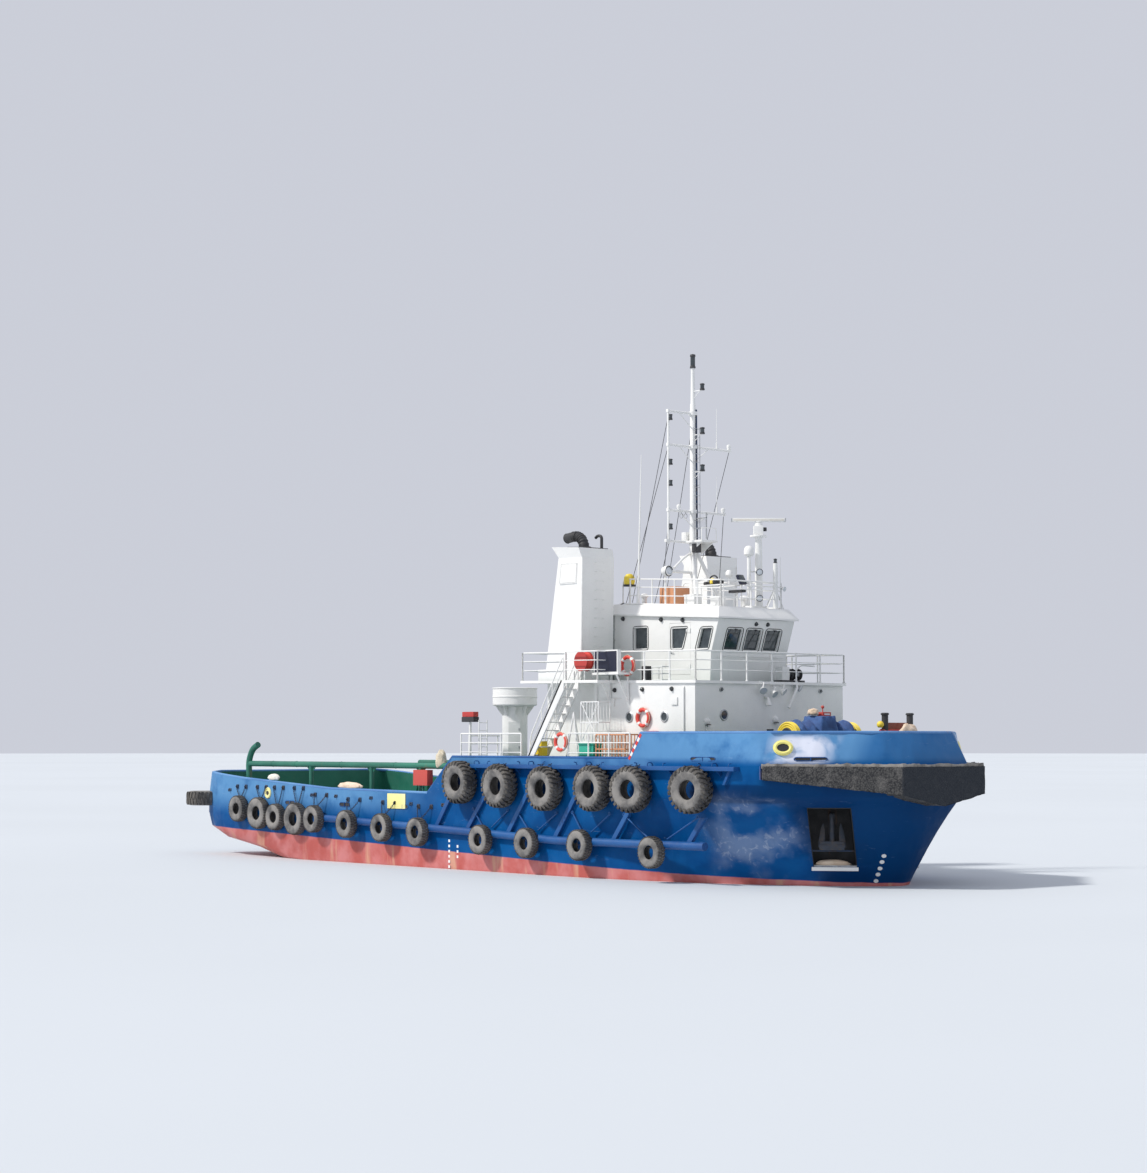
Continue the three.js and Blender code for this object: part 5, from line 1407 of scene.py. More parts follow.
def buildStairs():
    headZ = boatDeckAt(stair["headX"]) - 0.02
    low, high = stair["y"]
    for name, side in sides.items():
        g = Fittings("stair_" + name)
        outline = [(2.35, 4.152), (2.61, 4.152), (4.53, headZ - 0.35), (4.53, headZ), (4.41, headZ)]
        for y in (low, high - stair["stringer"]):
            g.prism("white", [(x, side * y, z) for x, z in outline], (0, side * stair["stringer"], 0), 0.006)
            # A dark tube along each stringer's top outer edge is painted shade for the dark gap there
            edge = [(2.345, 4.19), (4.41, headZ + 0.005)]
            outer = side * (y + (stair["stringer"] if y > low else 0))
            line = [(x, outer, z) for x, z in edge]
            g.tube("rubber", line, 0.03, 6)
        tread = bmesh.new()
        block(tread, (-0.125, -0.33, -0.018), (0.125, 0.33, 0.018), 0.006)
        block(tread, (0.085, -0.33, 0.014), (0.128, 0.33, 0.024), 0.003)
        first, last = [(2.47 + 2.06 * t, side * 4.55, 4.15 + (headZ - 4.15) * t) for t in (0.1, 0.9)]
        gap = (Vector(last) - Vector(first)).length / (stair["treads"] - 1) - 1e-4
        nose = bmesh.new()
        block(nose, (-0.13, -0.32, -0.012), (-0.1, 0.32, 0.021), 0.002)
        cheek = bmesh.new()
        for y in (-1, 1):
            block(cheek, (-0.1, y * 0.345 - 0.012, -0.03), (0.1, y * 0.345 + 0.012, 0.105), 0.004)
        for finish, unit in (("white", tread), ("rubber", nose), ("rubber", cheek)):
            g.repeat(finish, unit, [[first, last]], gap)
        for y in (low + 0.025, high - 0.025):
            y = side * y
            foot, head = (2.6, y, 5.2), (4.5, y, 8.17)
            g.tube("white", rounded([(2.5, y, 4.3), foot, head, (4.5, y, headZ + 0.02)], 0.2), 0.024, 8)
            g.tube("white", [(2.56, y, 4.75), (4.5, y, 7.7)], 0.016, 6)
            for t in (0.33, 0.66):
                x, z = 2.6 + 1.9 * t, 5.2 + 2.97 * t
                g.tube("white", [(x, y, z), (x, y, z - 0.92)], 0.018, 6)
        g.done("stair_" + name)


buildStairs()
print("rails and stairs done")

# Kept walls, decks and panes take their finishes here
keptWalls = {"deckhouse": whitePaint, "wheelhouse": whitePaint, "funnel": whitePaint, "glass": tintedGlass}


def repaintNodes():
    for name, node in cadNodes.items():
        material = keptWalls.get(name.split("_")[0])
        if material:
            for slot in node.material_slots:
                slot.material = material
    deck = cadNodes["boat_deck"]
    mesh = deck.data
    mesh.materials.clear()
    for material in (whitePaint, deckGreen):
        mesh.materials.append(material)
    for face in mesh.polygons:
        face.material_index = 1 if face.normal.z > 0.9 else 0


repaintNodes()

# Windows, doors and small fittings of the houses
houseFittings = {
    "windowBand": (0.05, 0.075), "bandThick": 0.022,
    "sideAft": [(5.17, 8.46), (5.89, 8.46), (5.89, 9.24), (5.17, 9.24)],
    "sideFore": [(8.57, 8.38), (9.18, 8.38), (9.4, 9.11), (8.84, 9.11)],
    "door": [(7.25, 8.42), (7.79, 8.42), (8.08, 9.15), (7.25, 9.15)],
    "front": [(-1.37, -0.64), (-0.365, 0.365), (0.64, 1.37)], "frontZ": (8.34, 9.08),
    "aft": [(-1.5, -0.5), (0.5, 1.5)], "aftZ": (8.5, 9.25),
    "portholes": [(6.96, 5.86), (8.85, 5.86)],
    "frontPortholes": [(-2.4, 5.92)], "portRadius": 0.15,
    "sideLamps": [6.16, 7.68, 9.25], "frontLamps": [(-2.54, 6.84), (-0.41, 6.74), (2.59, 6.84)],
    "floodlights": [(-0.64, 6.82, -0.35), (-0.07, 6.7, 0.1), (0.41, 6.78, 0.35)],
    "vents": [(-3.24, 5.67), (0.2, 5.76)], "eaveLamps": [4.55, 6.68, 7.85],
}


def windowBand(g, corners, normal, finish="rubber"):
    # Rounded rubber band round a window
    inset, outset = houseFittings["windowBand"]
    normal = Vector(normal).normalized()
    corners = [Vector(c) for c in corners]
    middle = sum(corners, Vector()) / 4
    up = (corners[3] - corners[0]).normalized()
    along = (corners[1] - corners[0]).normalized()

    def ring(shift, bend):
        points = []
        for c in corners:
            out = along * copysign(shift, (c - middle).dot(along)) + up * copysign(shift,
                (c - middle).dot(up))
            points.append(c + out)
        line = []
        for k, corner in enumerate(points):
            before, after = points[k - 1], points[(k + 1) % 4]
            start = corner + (before - corner).normalized() * bend
            end = corner + (after - corner).normalized() * bend
            line += [start.lerp(corner, t).lerp(corner.lerp(end, t), t) for t in (0, 0.25, 0.5, 0.75, 1)]
        return line

    inner, outer = ring(-inset, 0.09), ring(outset, 0.15)
    part = bmesh.new()
    thick = houseFittings["bandThick"]
    layers = [(outer, -0.012), (outer, thick * 0.6), ([o.lerp(i, 0.25) for o, i in zip(outer, inner)],
        thick), ([o.lerp(i, 0.8) for o, i in zip(outer, inner)], thick), (inner, thick * 0.5),
        (inner, -0.012)]
    rings = [[part.verts.new(p + normal * lift) for p in line] for line, lift in layers]
    bridge(part, rings, closed=True)
    place(g.of(finish), part)


def porthole(g, centre, direction, radius=None):
    radius = radius or houseFittings["portRadius"]
    stand = turnTo(direction, centre)
    g.lathe("paleSteel", [(radius, -0.01), (radius * 1.38, -0.01), (radius * 1.38, 0.018),
        (radius * 1.2, 0.035), (radius, 0.03), (radius, -0.01)], 28, stand)
    g.lathe("glass", [(0, -0.008), (radius * 1.02, -0.008), (radius * 1.02, 0.008), (0, 0.012)], 28, stand)
    g.bolts(Vector(centre) + Vector(direction) * 0.018, direction, radius * 1.27, 8, 0.013)


def lifeRing(g, centre, direction, ring=0.3, radius=0.066):
    g.torus("orangeRed", centre, direction, ring, radius, 32, 12)
    for k in range(4):
        start = pi / 4 + k * pi / 2
        band = bmesh.new()
        stand = turnTo(direction, centre)
        line = [stand @ Vector((ring * cos(a), ring * sin(a), 0))
            for a in (start - 0.16, start, start + 0.16)]
        tube(band, line, radius * 1.06, 12)
        place(g.of("white"), band)
    out = Vector(direction).normalized()
    line = [(ring + 0.065 + 0.018 * cos(4 * a), a) for a in turnsOf(40)]
    stand = turnTo(direction, Vector(centre) + out * 0.03)
    g.hoop("rope", [stand @ Vector((r * cos(a), r * sin(a), 0)) for r, a in line], 0.011, 6)


def floodlight(g, centre, aim, size=0.17, finish="white"):
    # Lamp body and lens, facing along the aim
    out = Vector(aim).normalized()
    stand = turnTo(out, centre)
    g.lathe(finish, [(0, -size * 0.9), (size * 0.45, -size * 0.85), (size * 0.8, -size * 0.1),
        (size, size * 0.15), (size, size * 0.32), (size * 0.88, size * 0.32), (size * 0.88, size * 0.18),
        (0, size * 0.18)], 20, stand)
    g.lathe("lens", [(0, size * 0.17), (size * 0.87, size * 0.17), (size * 0.8, size * 0.26),
        (0, size * 0.3)], 20, stand)


def bulkheadLamp(g, centre, direction, finish="black"):
    stand = turnTo(direction, centre)
    g.lathe(finish, [(0, -0.005), (0.085, -0.005), (0.085, 0.03), (0.06, 0.045), (0, 0.045)], 16, stand)
    g.lathe("glass", [(0, 0.04), (0.055, 0.04), (0.05, 0.09), (0.02, 0.11), (0, 0.11)], 16, stand)
    for a in (0, pi / 2):
        out = Vector((cos(a), sin(a), 0))
        line = [stand @ (out * r + Vector((0, 0, h))) for r, h in ((0.075, 0.03), (0.06, 0.1), (0, 0.125),
            (-0.06, 0.1), (-0.075, 0.03))]
        g.tube(finish, line, 0.006, 5)


def buildHouseFittings():
    h = houseFittings
    g = Fittings("house_fittings")
    lean = 0.336
    for name in ("sideAft", "sideFore"):
        windowBand(g, [(x, -1.96, z) for x, z in h[name]], (0, -1, 0))
    for x, z in h["portholes"]:
        porthole(g, (x, -3.82, z), (0, -1, 0))
    for x in h["sideLamps"]:
        bulkheadLamp(g, (x, -3.82, 6.86), (0, -1, 0))
    for x in h["eaveLamps"]:
        bulkheadLamp(g, (x, -1.96, 9.62 - 0.05 * (x - 4.5)), (0, -1, 0))
    lifeRing(g, (7.78, -3.895, 5.83), (0, -1, 0))
    # Grab rails, pipes and a hose box on the side
    for z in (5.35, 6.55):
        g.tube("white", rounded([(5.3, -3.81, z), (5.3, -3.87, z), (6.5, -3.87, z), (6.5, -3.81, z)], 0.03),
            0.014, 6)
    g.tube("white", rounded([(9.9, -3.86, 4.16), (9.9, -3.86, 6.9), (9.9, -3.78, 7.0)], 0.05), 0.03, 8)
    g.tube("white", rounded([(5.2, -3.87, 4.16), (5.2, -3.87, 7.0)], 0.05), 0.022, 8)
    g.block("red", (8.05, -3.99, 4.75), (8.55, -3.815, 5.35), 0.02)
    g.block("red", (8.08, -4.005, 4.78), (8.52, -3.985, 5.32), 0.006)
    for x in (6.0, 9.4):
        g.block("white", (x - 0.16, -3.87, 6.28), (x + 0.16, -3.815, 6.56), 0.015)
    g.mirrored()
    for y, z in h["frontPortholes"]:
        porthole(g, (10.45, y, z), (1, 0, 0))
    for y, z in h["frontLamps"]:
        bulkheadLamp(g, (10.45, y, z), (1, 0, 0), "paleSteel")
    for y, z, tilt in h["floodlights"]:
        arm = [(10.44, y + 0.12, z + 0.28), (10.62, y + 0.12, z + 0.28), (10.66, y, z + 0.06)]
        g.tube("white", rounded(arm, 0.06), 0.024, 8)
        floodlight(g, (10.7, y, z), (0.8, tilt, -0.55), 0.16, "white")
        g.block("white", (10.44, y + 0.04, z + 0.2), (10.465, y + 0.2, z + 0.36), 0.005)
    g.tube("white", [(10.46, -0.32, 6.6), (10.62, -0.32, 6.56), (10.66, -0.32, 6.28)], [0.04, 0.05, 0.11],
        14)
    g.tube("white", rounded([(10.44, 1.3, 7.02), (10.66, 1.2, 7.0), (10.68, 0.95, 6.6), (10.68, 0.7, 6.2)],
        0.15), 0.055, 10)
    floodlight(g, (10.68, 1.28, 6.93), (0.7, 0.4, -0.4), 0.14, "paleSteel")
    for y, z in h["vents"]:
        dome(g.of("white"), (10.45, y, z), 0.14, 0.8, (1, 0, 0))
        g.lathe("black", drum(0.1, -0.01, 0.02), 16, turnTo((0, 0, -1), (10.53, y, z - 0.1)))
    g.block("black", (10.445, -0.22, 5.35), (10.46, 0.12, 5.42), 0.003)
    for y0, y1 in ((-3.3, -2.9), (2.9, 3.3)):
        g.block("white", (10.44, y0, 4.9), (10.5, y1, 5.5), 0.012)
    for y0, y1 in h["front"]:
        z0, z1 = h["frontZ"]
        corners = [(9.34 + (z - 8.2) * lean, y, z) for y, z in ((y0, z0), (y1, z0), (y1, z1), (y0, z1))]
        windowBand(g, corners, (1, 0, -lean))
        middle = (y0 + y1) / 2
        top = Vector((9.34 + (z1 - 8.2) * lean + 0.06, middle, z1 - 0.02))
        g.tube("black", [top, top + Vector((-0.17, -0.2, -0.48))], 0.01, 6)
        g.block("black", top - Vector((0.03, 0.05, 0.03)), top + Vector((0.03, 0.05, 0.03)), 0.01)
    for y0, y1 in h["aft"]:
        z0, z1 = h["aftZ"]
        windowBand(g, [(4.08, y, z) for y, z in ((y0, z0), (y1, z0), (y1, z1), (y0, z1))], (-1, 0, 0))
    # Hand rail under the front windows, and lamps over them
    g.tube("white", rounded([(9.36, -1.7, 8.08), (9.42, -1.7, 8.08), (9.42, 1.7, 8.08), (9.36, 1.7, 8.08)],
        0.04), 0.016, 6)
    for y in (0.0, 0.6):
        bulkheadLamp(g, (9.68, y, 9.3), (1, 0, -0.3))
    # Door frame in the aft end
    for y in (-0.46, 0.46):
        g.block("white", (1.225, y - 0.03, 4.4), (1.26, y + 0.03, 6.42), 0.006)
    g.block("white", (1.225, -0.49, 6.38), (1.26, 0.49, 6.44), 0.006)
    bulkheadLamp(g, (1.25, 0, 6.65), (-1, 0, 0))
    g.done()


def buildDoorFittings():
    for name, side in sides.items():
        g = Fittings("door_fittings_" + name, "wheelhouse_door_" + name)
        windowBand(g, [(x, side * 1.96, z) for x, z in houseFittings["door"]], (0, side, 0))
        g.tube("paleSteel", rounded([(7.22, side * 1.955, 8.25), (7.22, side * 2.0, 8.25),
            (7.38, side * 2.0, 8.25)], 0.02), 0.013, 8)
        g.lathe("paleSteel", [(0, -0.004), (0.04, -0.004), (0.035, 0.012), (0, 0.014)], 16,
            turnTo((0, side, 0), (7.22, side * 1.96, 8.25)))
        for z in (7.72, 9.05):
            g.block("white", (8.02, min(side * 1.955, side * 1.972), z - 0.05),
                (8.22, max(side * 1.955, side * 1.972), z + 0.05), 0.004)
        g.done(sharp=40)
    g = Fittings("aft_door_fittings", "deckhouse_door")
    for y, z in ((-0.3, 4.85), (-0.3, 5.9), (0.3, 4.75), (0.3, 5.4), (0.3, 6.05)):
        g.lathe("paleSteel", [(0, -0.003), (0.035, -0.003), (0.03, 0.015), (0, 0.018)], 14,
            turnTo((-1, 0, 0), (1.25, y, z)))
        g.tube("paleSteel", [(1.232, y, z), (1.226, y, z - 0.16)], 0.011, 8)
    porthole(g, (1.25, 0.0, 5.95), (-1, 0, 0), 0.11)
    g.done()


buildHouseFittings()
buildDoorFittings()
print("house fittings done")

# Funnels' louvres and the exhausts
exhaust = {
    "y": 3.35, "fat": [(3.9, 12.27), (3.82, 12.55), (3.62, 12.72), (3.38, 12.765), (2.89, 12.705)],
    "thinY": 2.75, "thin": [(4.2, 12.24), (4.2, 12.74), (3.99, 12.785), (3.85, 12.7)]}


def buildExhausts():
    for name, side in sides.items():
        g = Fittings("exhaust_" + name)
        line = rounded([(x, side * exhaust["y"], z) for x, z in exhaust["fat"]], 0.15, 5)
        radii = [0.205 if k % 2 else 0.178 for k in range(len(line) - 2)] + [0.192, 0.192]
        g.tube("black", line, radii, 20)
        g.torus("black", line[-1], line[-1] - line[-3], 0.185, 0.016, 24, 6)
        thin = rounded([(x, side * exhaust["thinY"], z) for x, z in exhaust["thin"]], 0.1)
        g.tube("black", thin, 0.058, 12)
        plate = [(3.52, 12.325), (4.42, 12.273), (4.42, 12.244), (3.52, 12.297)]
        g.prism("black", [(x, side * 2.62, z) for x, z in plate], (0, side * 1.26, 0), 0.004)
        g.lathe("black", [(0, 0), (0.27, 0), (0.27, 0.03), (0.22, 0.06), (0, 0.06)], 24,
            moved((3.9, side * exhaust["y"], 12.28)))
        g.bolts((3.9, side * exhaust["y"], 12.31), (0, 0, 1), 0.245, 10, 0.014)
        g.done("exhaust_" + name)
    g = Fittings("funnel_fittings")
    # Louvres in the aft face, rungs up the fore face and a frame round the bare plate
    slat = bmesh.new()
    block(slat, (-0.02, -0.45, -0.008), (0.03, 0.45, 0.008), 0.003)
    g.repeat("white", slat, [[(2.5, -3.25, 7.75), (2.565, -3.25, 8.3)]], 0.09)
    rung = bmesh.new()
    tube(rung, rounded([(-0.01, -0.2, 0), (0.13, -0.2, 0), (0.13, 0.2, 0), (-0.01, 0.2, 0)], 0.04), 0.012, 6)
    g.repeat("white", rung, [[(4.5, -3.2, 8.2), (4.557, -3.2, 11.7)]], 0.33)
    frame = [(3.3, 10.92), (4.26, 10.92), (4.3, 11.67), (3.41, 11.67)]
    g.hoop("white", [(x, -4.092, z) for x, z in frame], 0.014, 6)
    g.tube("white", [(4.5, -4.04, 7.3), (4.575, -4.04, 11.86)], 0.02, 6)
    g.mirrored().done()


buildExhausts()
print("funnels done")
# Mast, radar and the gear on the wheelhouse roof
mastKit = {
    "x": 6.35, "legX": 7.25, "legY": 0.7, "legHead": 12.3,
    "pole": [(0, 10.0), (0.15, 10.0), (0.15, 13.0), (0.13, 13.06), (0.105, 17.8), (0.088, 17.84),
        (0.07, 19.25), (0, 19.25)],
    "lampHead": [(0, 19.2), (0.11, 19.2), (0.11, 19.26), (0.085, 19.29), (0.085, 19.62), (0.11, 19.66),
        (0.1, 19.72), (0, 19.75)],
    "yards": [(17.45, -1.3, 0.06), (16.17, -1.3, 1.94), (13.69, -1.3, 1.64), (12.52, -1.4, 0.1)],
    "signalPole": (-1.28, 12.4, 17.5), "whips": [(1.25, 16.17, 17.75), (1.25, 13.69, 15.15)],
    "light": (-1.45, 11.37, 0.18), "bigWhip": (5.2, -1.62, 10.05, 15.85),
}


def navLamp(g, place, radius=0.07, height=0.2, glass="glass"):
    # Lantern with a lens between two caps
    stand = moved(place)
    g.lathe("black", [(0, -0.01), (radius, -0.01), (radius, height * 0.18), (radius * 0.7, height * 0.24),
        (0, height * 0.24)], 16, stand)
    g.lathe(glass, drum(radius * 0.82, height * 0.22, height * 0.78), 16, stand)
    g.lathe("black", [(0, height * 0.76), (radius, height * 0.76), (radius * 0.9, height * 0.92),
        (0, height)], 16, stand)


def buildMast():
    k = mastKit
    x = k["x"]
    g = Fittings("mast")
    upright = moved((x, 0, 0))
    g.lathe("white", k["pole"], 24, upright)
    g.lathe("black", k["lampHead"], 20, upright)
    g.lathe("glass", drum(0.092, 19.3, 19.61), 20, upright)
    for side in (-1, 1):
        foot = Vector((k["legX"], side * k["legY"], roofAt(k["legX"])))
        g.tube("white", [foot, (x + 0.04, side * 0.04, k["legHead"])], 0.075, 16)
        g.block("white", foot - Vector((0.125, 0.125, 0.02)), foot + Vector((0.125, 0.125, 0.03)), 0.008)
        g.tube("white", [foot.lerp(Vector((x, 0, k["legHead"])), 0.5), (x, 0, 11.0)], 0.035, 10)
    # Platform with brackets and a low hoop
    g.block("white", (x - 0.2, -0.42, 12.48), (x + 0.9, 0.42, 12.56), 0.012)
    for y in (-0.3, 0.3):
        g.prism("white", [(x + 0.1, y - 0.012, 12.49), (x + 0.8, y - 0.012, 12.49),
            (x + 0.1, y - 0.012, 12.05)], (0, 0.024, 0), 0.004)
    hoopLine = [(x + 0.86, -0.38, 12.55), (x + 0.86, -0.38, 13.02), (x + 0.86, 0.38, 13.02),
        (x + 0.86, 0.38, 12.55)]
    g.tube("white", rounded(hoopLine, 0.08), 0.018, 8)
    for z, low, high in k["yards"]:
        g.tube("white", [(x, low, z), (x, high, z)], 0.046, 12)
        g.lathe("white", drum(0.17, -0.07, 0.07), 20, moved((x, 0, z)))
        for end in (low, high):
            if abs(end) > 0.5:
                g.block("white", (x - 0.06, end - 0.045, z - 0.06), (x + 0.06, end + 0.045, z + 0.06), 0.012)
        if low < -1 and z > 13:
            g.tube("white", [(x, -0.75, z), (x, -0.09, z - 0.55)], 0.02, 8)
        if high > 1:
            g.tube("white", [(x, 0.85, z), (x, 0.09, z - 0.55)], 0.02, 8)
    y, low, high = k["signalPole"]
    g.tube("white", [(x, y, low), (x, y, high)], 0.05, 12)
    for z in (12.95, 14.6, 15.4, 17.1):
        navLamp(g, (x + 0.13, y, z), 0.075, 0.22)
        g.tube("white", [(x, y, z + 0.02), (x + 0.13, y, z + 0.02)], 0.015, 6)
    for y, low, high in k["whips"]:
        g.tube("white", [(x, y, low), (x, y, low + 0.25), (x, y, low + 0.27), (x, y, high)],
            [0.03, 0.03, 0.014, 0.008], 8)
    # Ladder up the fore side, and a dark tube up the mast beside it
    rungs = bmesh.new()
    tube(rungs, [(0, -0.16, 0), (0, 0.16, 0)], 0.01, 6)
    for y in (-0.16, 0.16):
        g.tube("paleSteel", [(x + 0.21, y, 12.6), (x + 0.21, y, 16.9)], 0.014, 6)
    g.repeat("paleSteel", rungs, [[(x + 0.21, 0, 12.7), (x + 0.21, 0, 16.85)]], 0.3)
    for z in (13.3, 14.7, 16.1, 16.85):
        g.tube("white", [(x, 0, z), (x + 0.21, 0.16, z)], 0.016, 6)
        g.tube("white", [(x, 0, z), (x + 0.21, -0.16, z)], 0.016, 6)
    g.tube("chain", [(x + 0.145, 0.06, 12.5), (x + 0.12, 0.06, 17.6)], 0.035, 8)
    # Masthead lamps on brackets, aerials and a radar reflector on the yards
    for z in (16.62, 15.2, 18.3):
        g.tube("white", [(x, 0, z), (x + 0.52, 0, z)], 0.02, 8)
        g.tube("white", [(x, 0, z - 0.3), (x + 0.42, 0, z)], 0.014, 6)
        navLamp(g, (x + 0.52, 0, z + 0.01), 0.095, 0.26)
    for y, z in ((1.9, 16.17), (1.58, 13.69), (-0.75, 13.69)):
        g.lathe("white", [(0, 0.02), (0.035, 0.02), (0.09, 0.14), (0.075, 0.22), (0, 0.25)], 16,
            moved((x, y, z)))
    for y in (-0.62, -0.4):
        g.torus("paleSteel", (x, y, 13.5), (0, 1, 0), 0.09, 0.014, 20, 6)
        g.tube("paleSteel", [(x, y, 13.58), (x, y, 13.68)], 0.012, 6)
    # Grey lattice panel and the scanner box on the platform
    for low, high in (((6.45, 0.02, 12.62), (6.49, 0.06, 13.62)), ((7.01, 0.02, 12.62), (7.05, 0.06, 13.62)),
            ((6.45, 0.02, 13.03), (7.05, 0.06, 13.07)), ((6.45, 0.02, 13.41), (7.05, 0.06, 13.45))):
        g.block("paleSteel", low, high, 0.006)
    wire = bmesh.new()
    tube(wire, [(0, 0, -0.19), (0, 0, 0.19)], 0.006, 5)
    g.repeat("paleSteel", wire, [[(6.5, 0.04, 13.24), (7.0, 0.04, 13.24)]], 0.05)
    g.block("white", (5.92, -0.22, 12.56), (6.18, 0.22, 12.92), 0.03)
    g.block("black", (6.62, -0.34, 12.1), (6.86, -0.06, 12.44), 0.03)
    # Searchlight on its arm, held up by a strut and a post from the roof
    y, z, radius = k["light"]
    g.tube("white", [(x, 0, z), (x, y + 0.08, z)], 0.058, 12)
    g.tube("white", rounded([(x, -0.1, 12.12), (x, -0.45, 11.95), (x, -1.02, z + 0.12)], 0.2), 0.045, 10)
    g.tube("white", [(x, y, roofAt(x) - 0.06), (x, y, z - 0.16)], 0.036, 10)
    lampTurn = moved((x + 0.02, y, z)) @ spun(84, "Y")
    g.lathe("white", [(0, -0.17), (0.1, -0.16), (0.165, -0.08), (radius, 0.02), (radius, 0.17),
        (radius * 1.06, 0.18), (radius * 1.06, 0.2), (radius * 0.92, 0.2), (radius * 0.92, 0.14), (0, 0.14)],
        28, lampTurn)
    g.lathe("lens", [(0, 0.13), (radius * 0.93, 0.13), (radius * 0.9, 0.175), (0, 0.19)], 28, lampTurn)
    g.torus("black", (x + 0.2, y, z - 0.02), (1, 0, -0.1), radius * 1.02, 0.016, 28, 8)
    g.tube("white", rounded([(x, y - 0.02, z - 0.2), (x, y + 0.22, z - 0.16), (x, y + 0.22, z + 0.05)],
        0.08), 0.018, 8)
    g.done("mast")


radarKit = {
    "x": 8.95, "y": 0.9, "plateZ": 12.64, "spindleZ": 13.13, "barZ": 13.2503,
    "domeY": 0.45, "domeZ": 12.06, "reach": 1.03, "turn": -40.6,
}


def buildRadar():
    k = radarKit
    x, y, foot = k["x"], k["y"], roofAt(k["x"])
    g = Fittings("radar_post")
    stand = moved((x, y, 0))
    g.lathe("white", [(0, foot - 0.02), (0.24, foot - 0.02), (0.24, foot + 0.035), (0.155, foot + 0.06),
        (0.15, foot + 0.3), (0.128, k["plateZ"]), (0, k["plateZ"])], 24, stand)
    g.lathe("white", [(0, k["plateZ"] - 0.03), (0.32, k["plateZ"] - 0.03), (0.325, k["plateZ"]),
        (0.32, k["plateZ"] + 0.03), (0, k["plateZ"] + 0.03)], 28, stand)
    turned = stand @ spun(k["turn"], "Z")
    g.block("white", (-0.19, -0.2, k["plateZ"] + 0.03), (0.19, 0.17, k["spindleZ"] - 0.1), 0.05, turned)
    g.lathe("white", [(0, k["spindleZ"] - 0.12), (0.17, k["spindleZ"] - 0.12), (0.13, k["spindleZ"]),
        (0, k["spindleZ"])], 24, stand)
    g.tube("black", [turned @ Vector((0.02, 0.12, 12.9)), turned @ Vector((0.02, 0.3, 12.9))], 0.075, 14)
    g.bolts((x, y, foot + 0.035), (0, 0, 1), 0.2, 8, 0.016)
    g.bolts((x, y, k["plateZ"] + 0.03), (0, 0, 1), 0.28, 8, 0.012)
    g.block("white", (x - 0.32, k["domeY"] - 0.18, foot - 0.02), (x + 0.2, y + 0.22, foot + 0.075), 0.012)
    domeX = x - 0.06
    g.tube("white", [(domeX, k["domeY"], foot), (domeX, k["domeY"], k["domeZ"] - 0.12)], 0.072, 16)
    g.lathe("white", [(0, -0.19), (0.12, -0.19), (0.185, -0.12), (0.19, 0.02), (0.165, 0.12), (0.1, 0.19),
        (0, 0.21)], 28, moved((domeX, k["domeY"], k["domeZ"])))
    g.tube("white", [(domeX, k["domeY"], 11.3), (x, y - 0.1, 11.3)], 0.03, 8)
    # Two lamps on short arms, and the cable up the post
    for z, size in ((11.28, 0.13), (10.3, 0.13)):
        g.tube("white", [(x, y, z + 0.1), (x + 0.22, y - 0.18, z + 0.1)], 0.02, 8)
        floodlight(g, (x + 0.24, y - 0.2, z), (0.75, -0.55, -0.25), size, "black")
    g.tube("chain", [(x - 0.02, y + 0.155, foot), (x - 0.02, y + 0.14, 12.6)], 0.016, 6)
    g.done("radar_post")
    g = Fittings("radar_scanner", "radar_scanner")
    bar = moved((x, y, k["barZ"])) @ spun(k["turn"], "Z")
    reach = k["reach"]
    g.block("white", (-0.088, -reach + 0.02, -0.072), (0.088, reach - 0.02, 0.074), 0.045, bar)
    for side in (-1, 1):
        ends = sorted((side * (reach - 0.05), side * reach))
        g.block("paleSteel", (-0.09, ends[0], -0.075), (0.09, ends[1], 0.075), 0.03, bar)
    g.block("paleCloth", (0.08, -reach + 0.08, -0.035), (0.0895, reach - 0.08, 0.035), 0.002, bar)
    g.lathe("white", [(0, -0.12), (0.088, -0.12), (0.088, -0.09), (0.12, -0.085), (0.12, -0.06), (0, -0.06)],
        24, bar)
    g.done("radar_scanner")


roofGear = {
    "cabinet": ((5.05, -0.55, 10.12), (5.9, 0.35, 10.86)),
    "lockers": [(7.05, -1.15, 0.55, 0.42), (8.2, -0.9, 0.45, 0.35)],
    "vents": [(5.05, 1.0, 0.15, 0.55), (7.9, 1.15, 0.12, 0.42), (4.35, -0.7, 0.1, 0.4)],
    "yellowLamps": [(4.31, -1.44, 11.13, 1.9), (8.05, -0.62, 10.93, 1.0)], "lightMast": (9.42, 1.31, 11.62),
    "whip": (9.47, 1.52, 11.85),
}


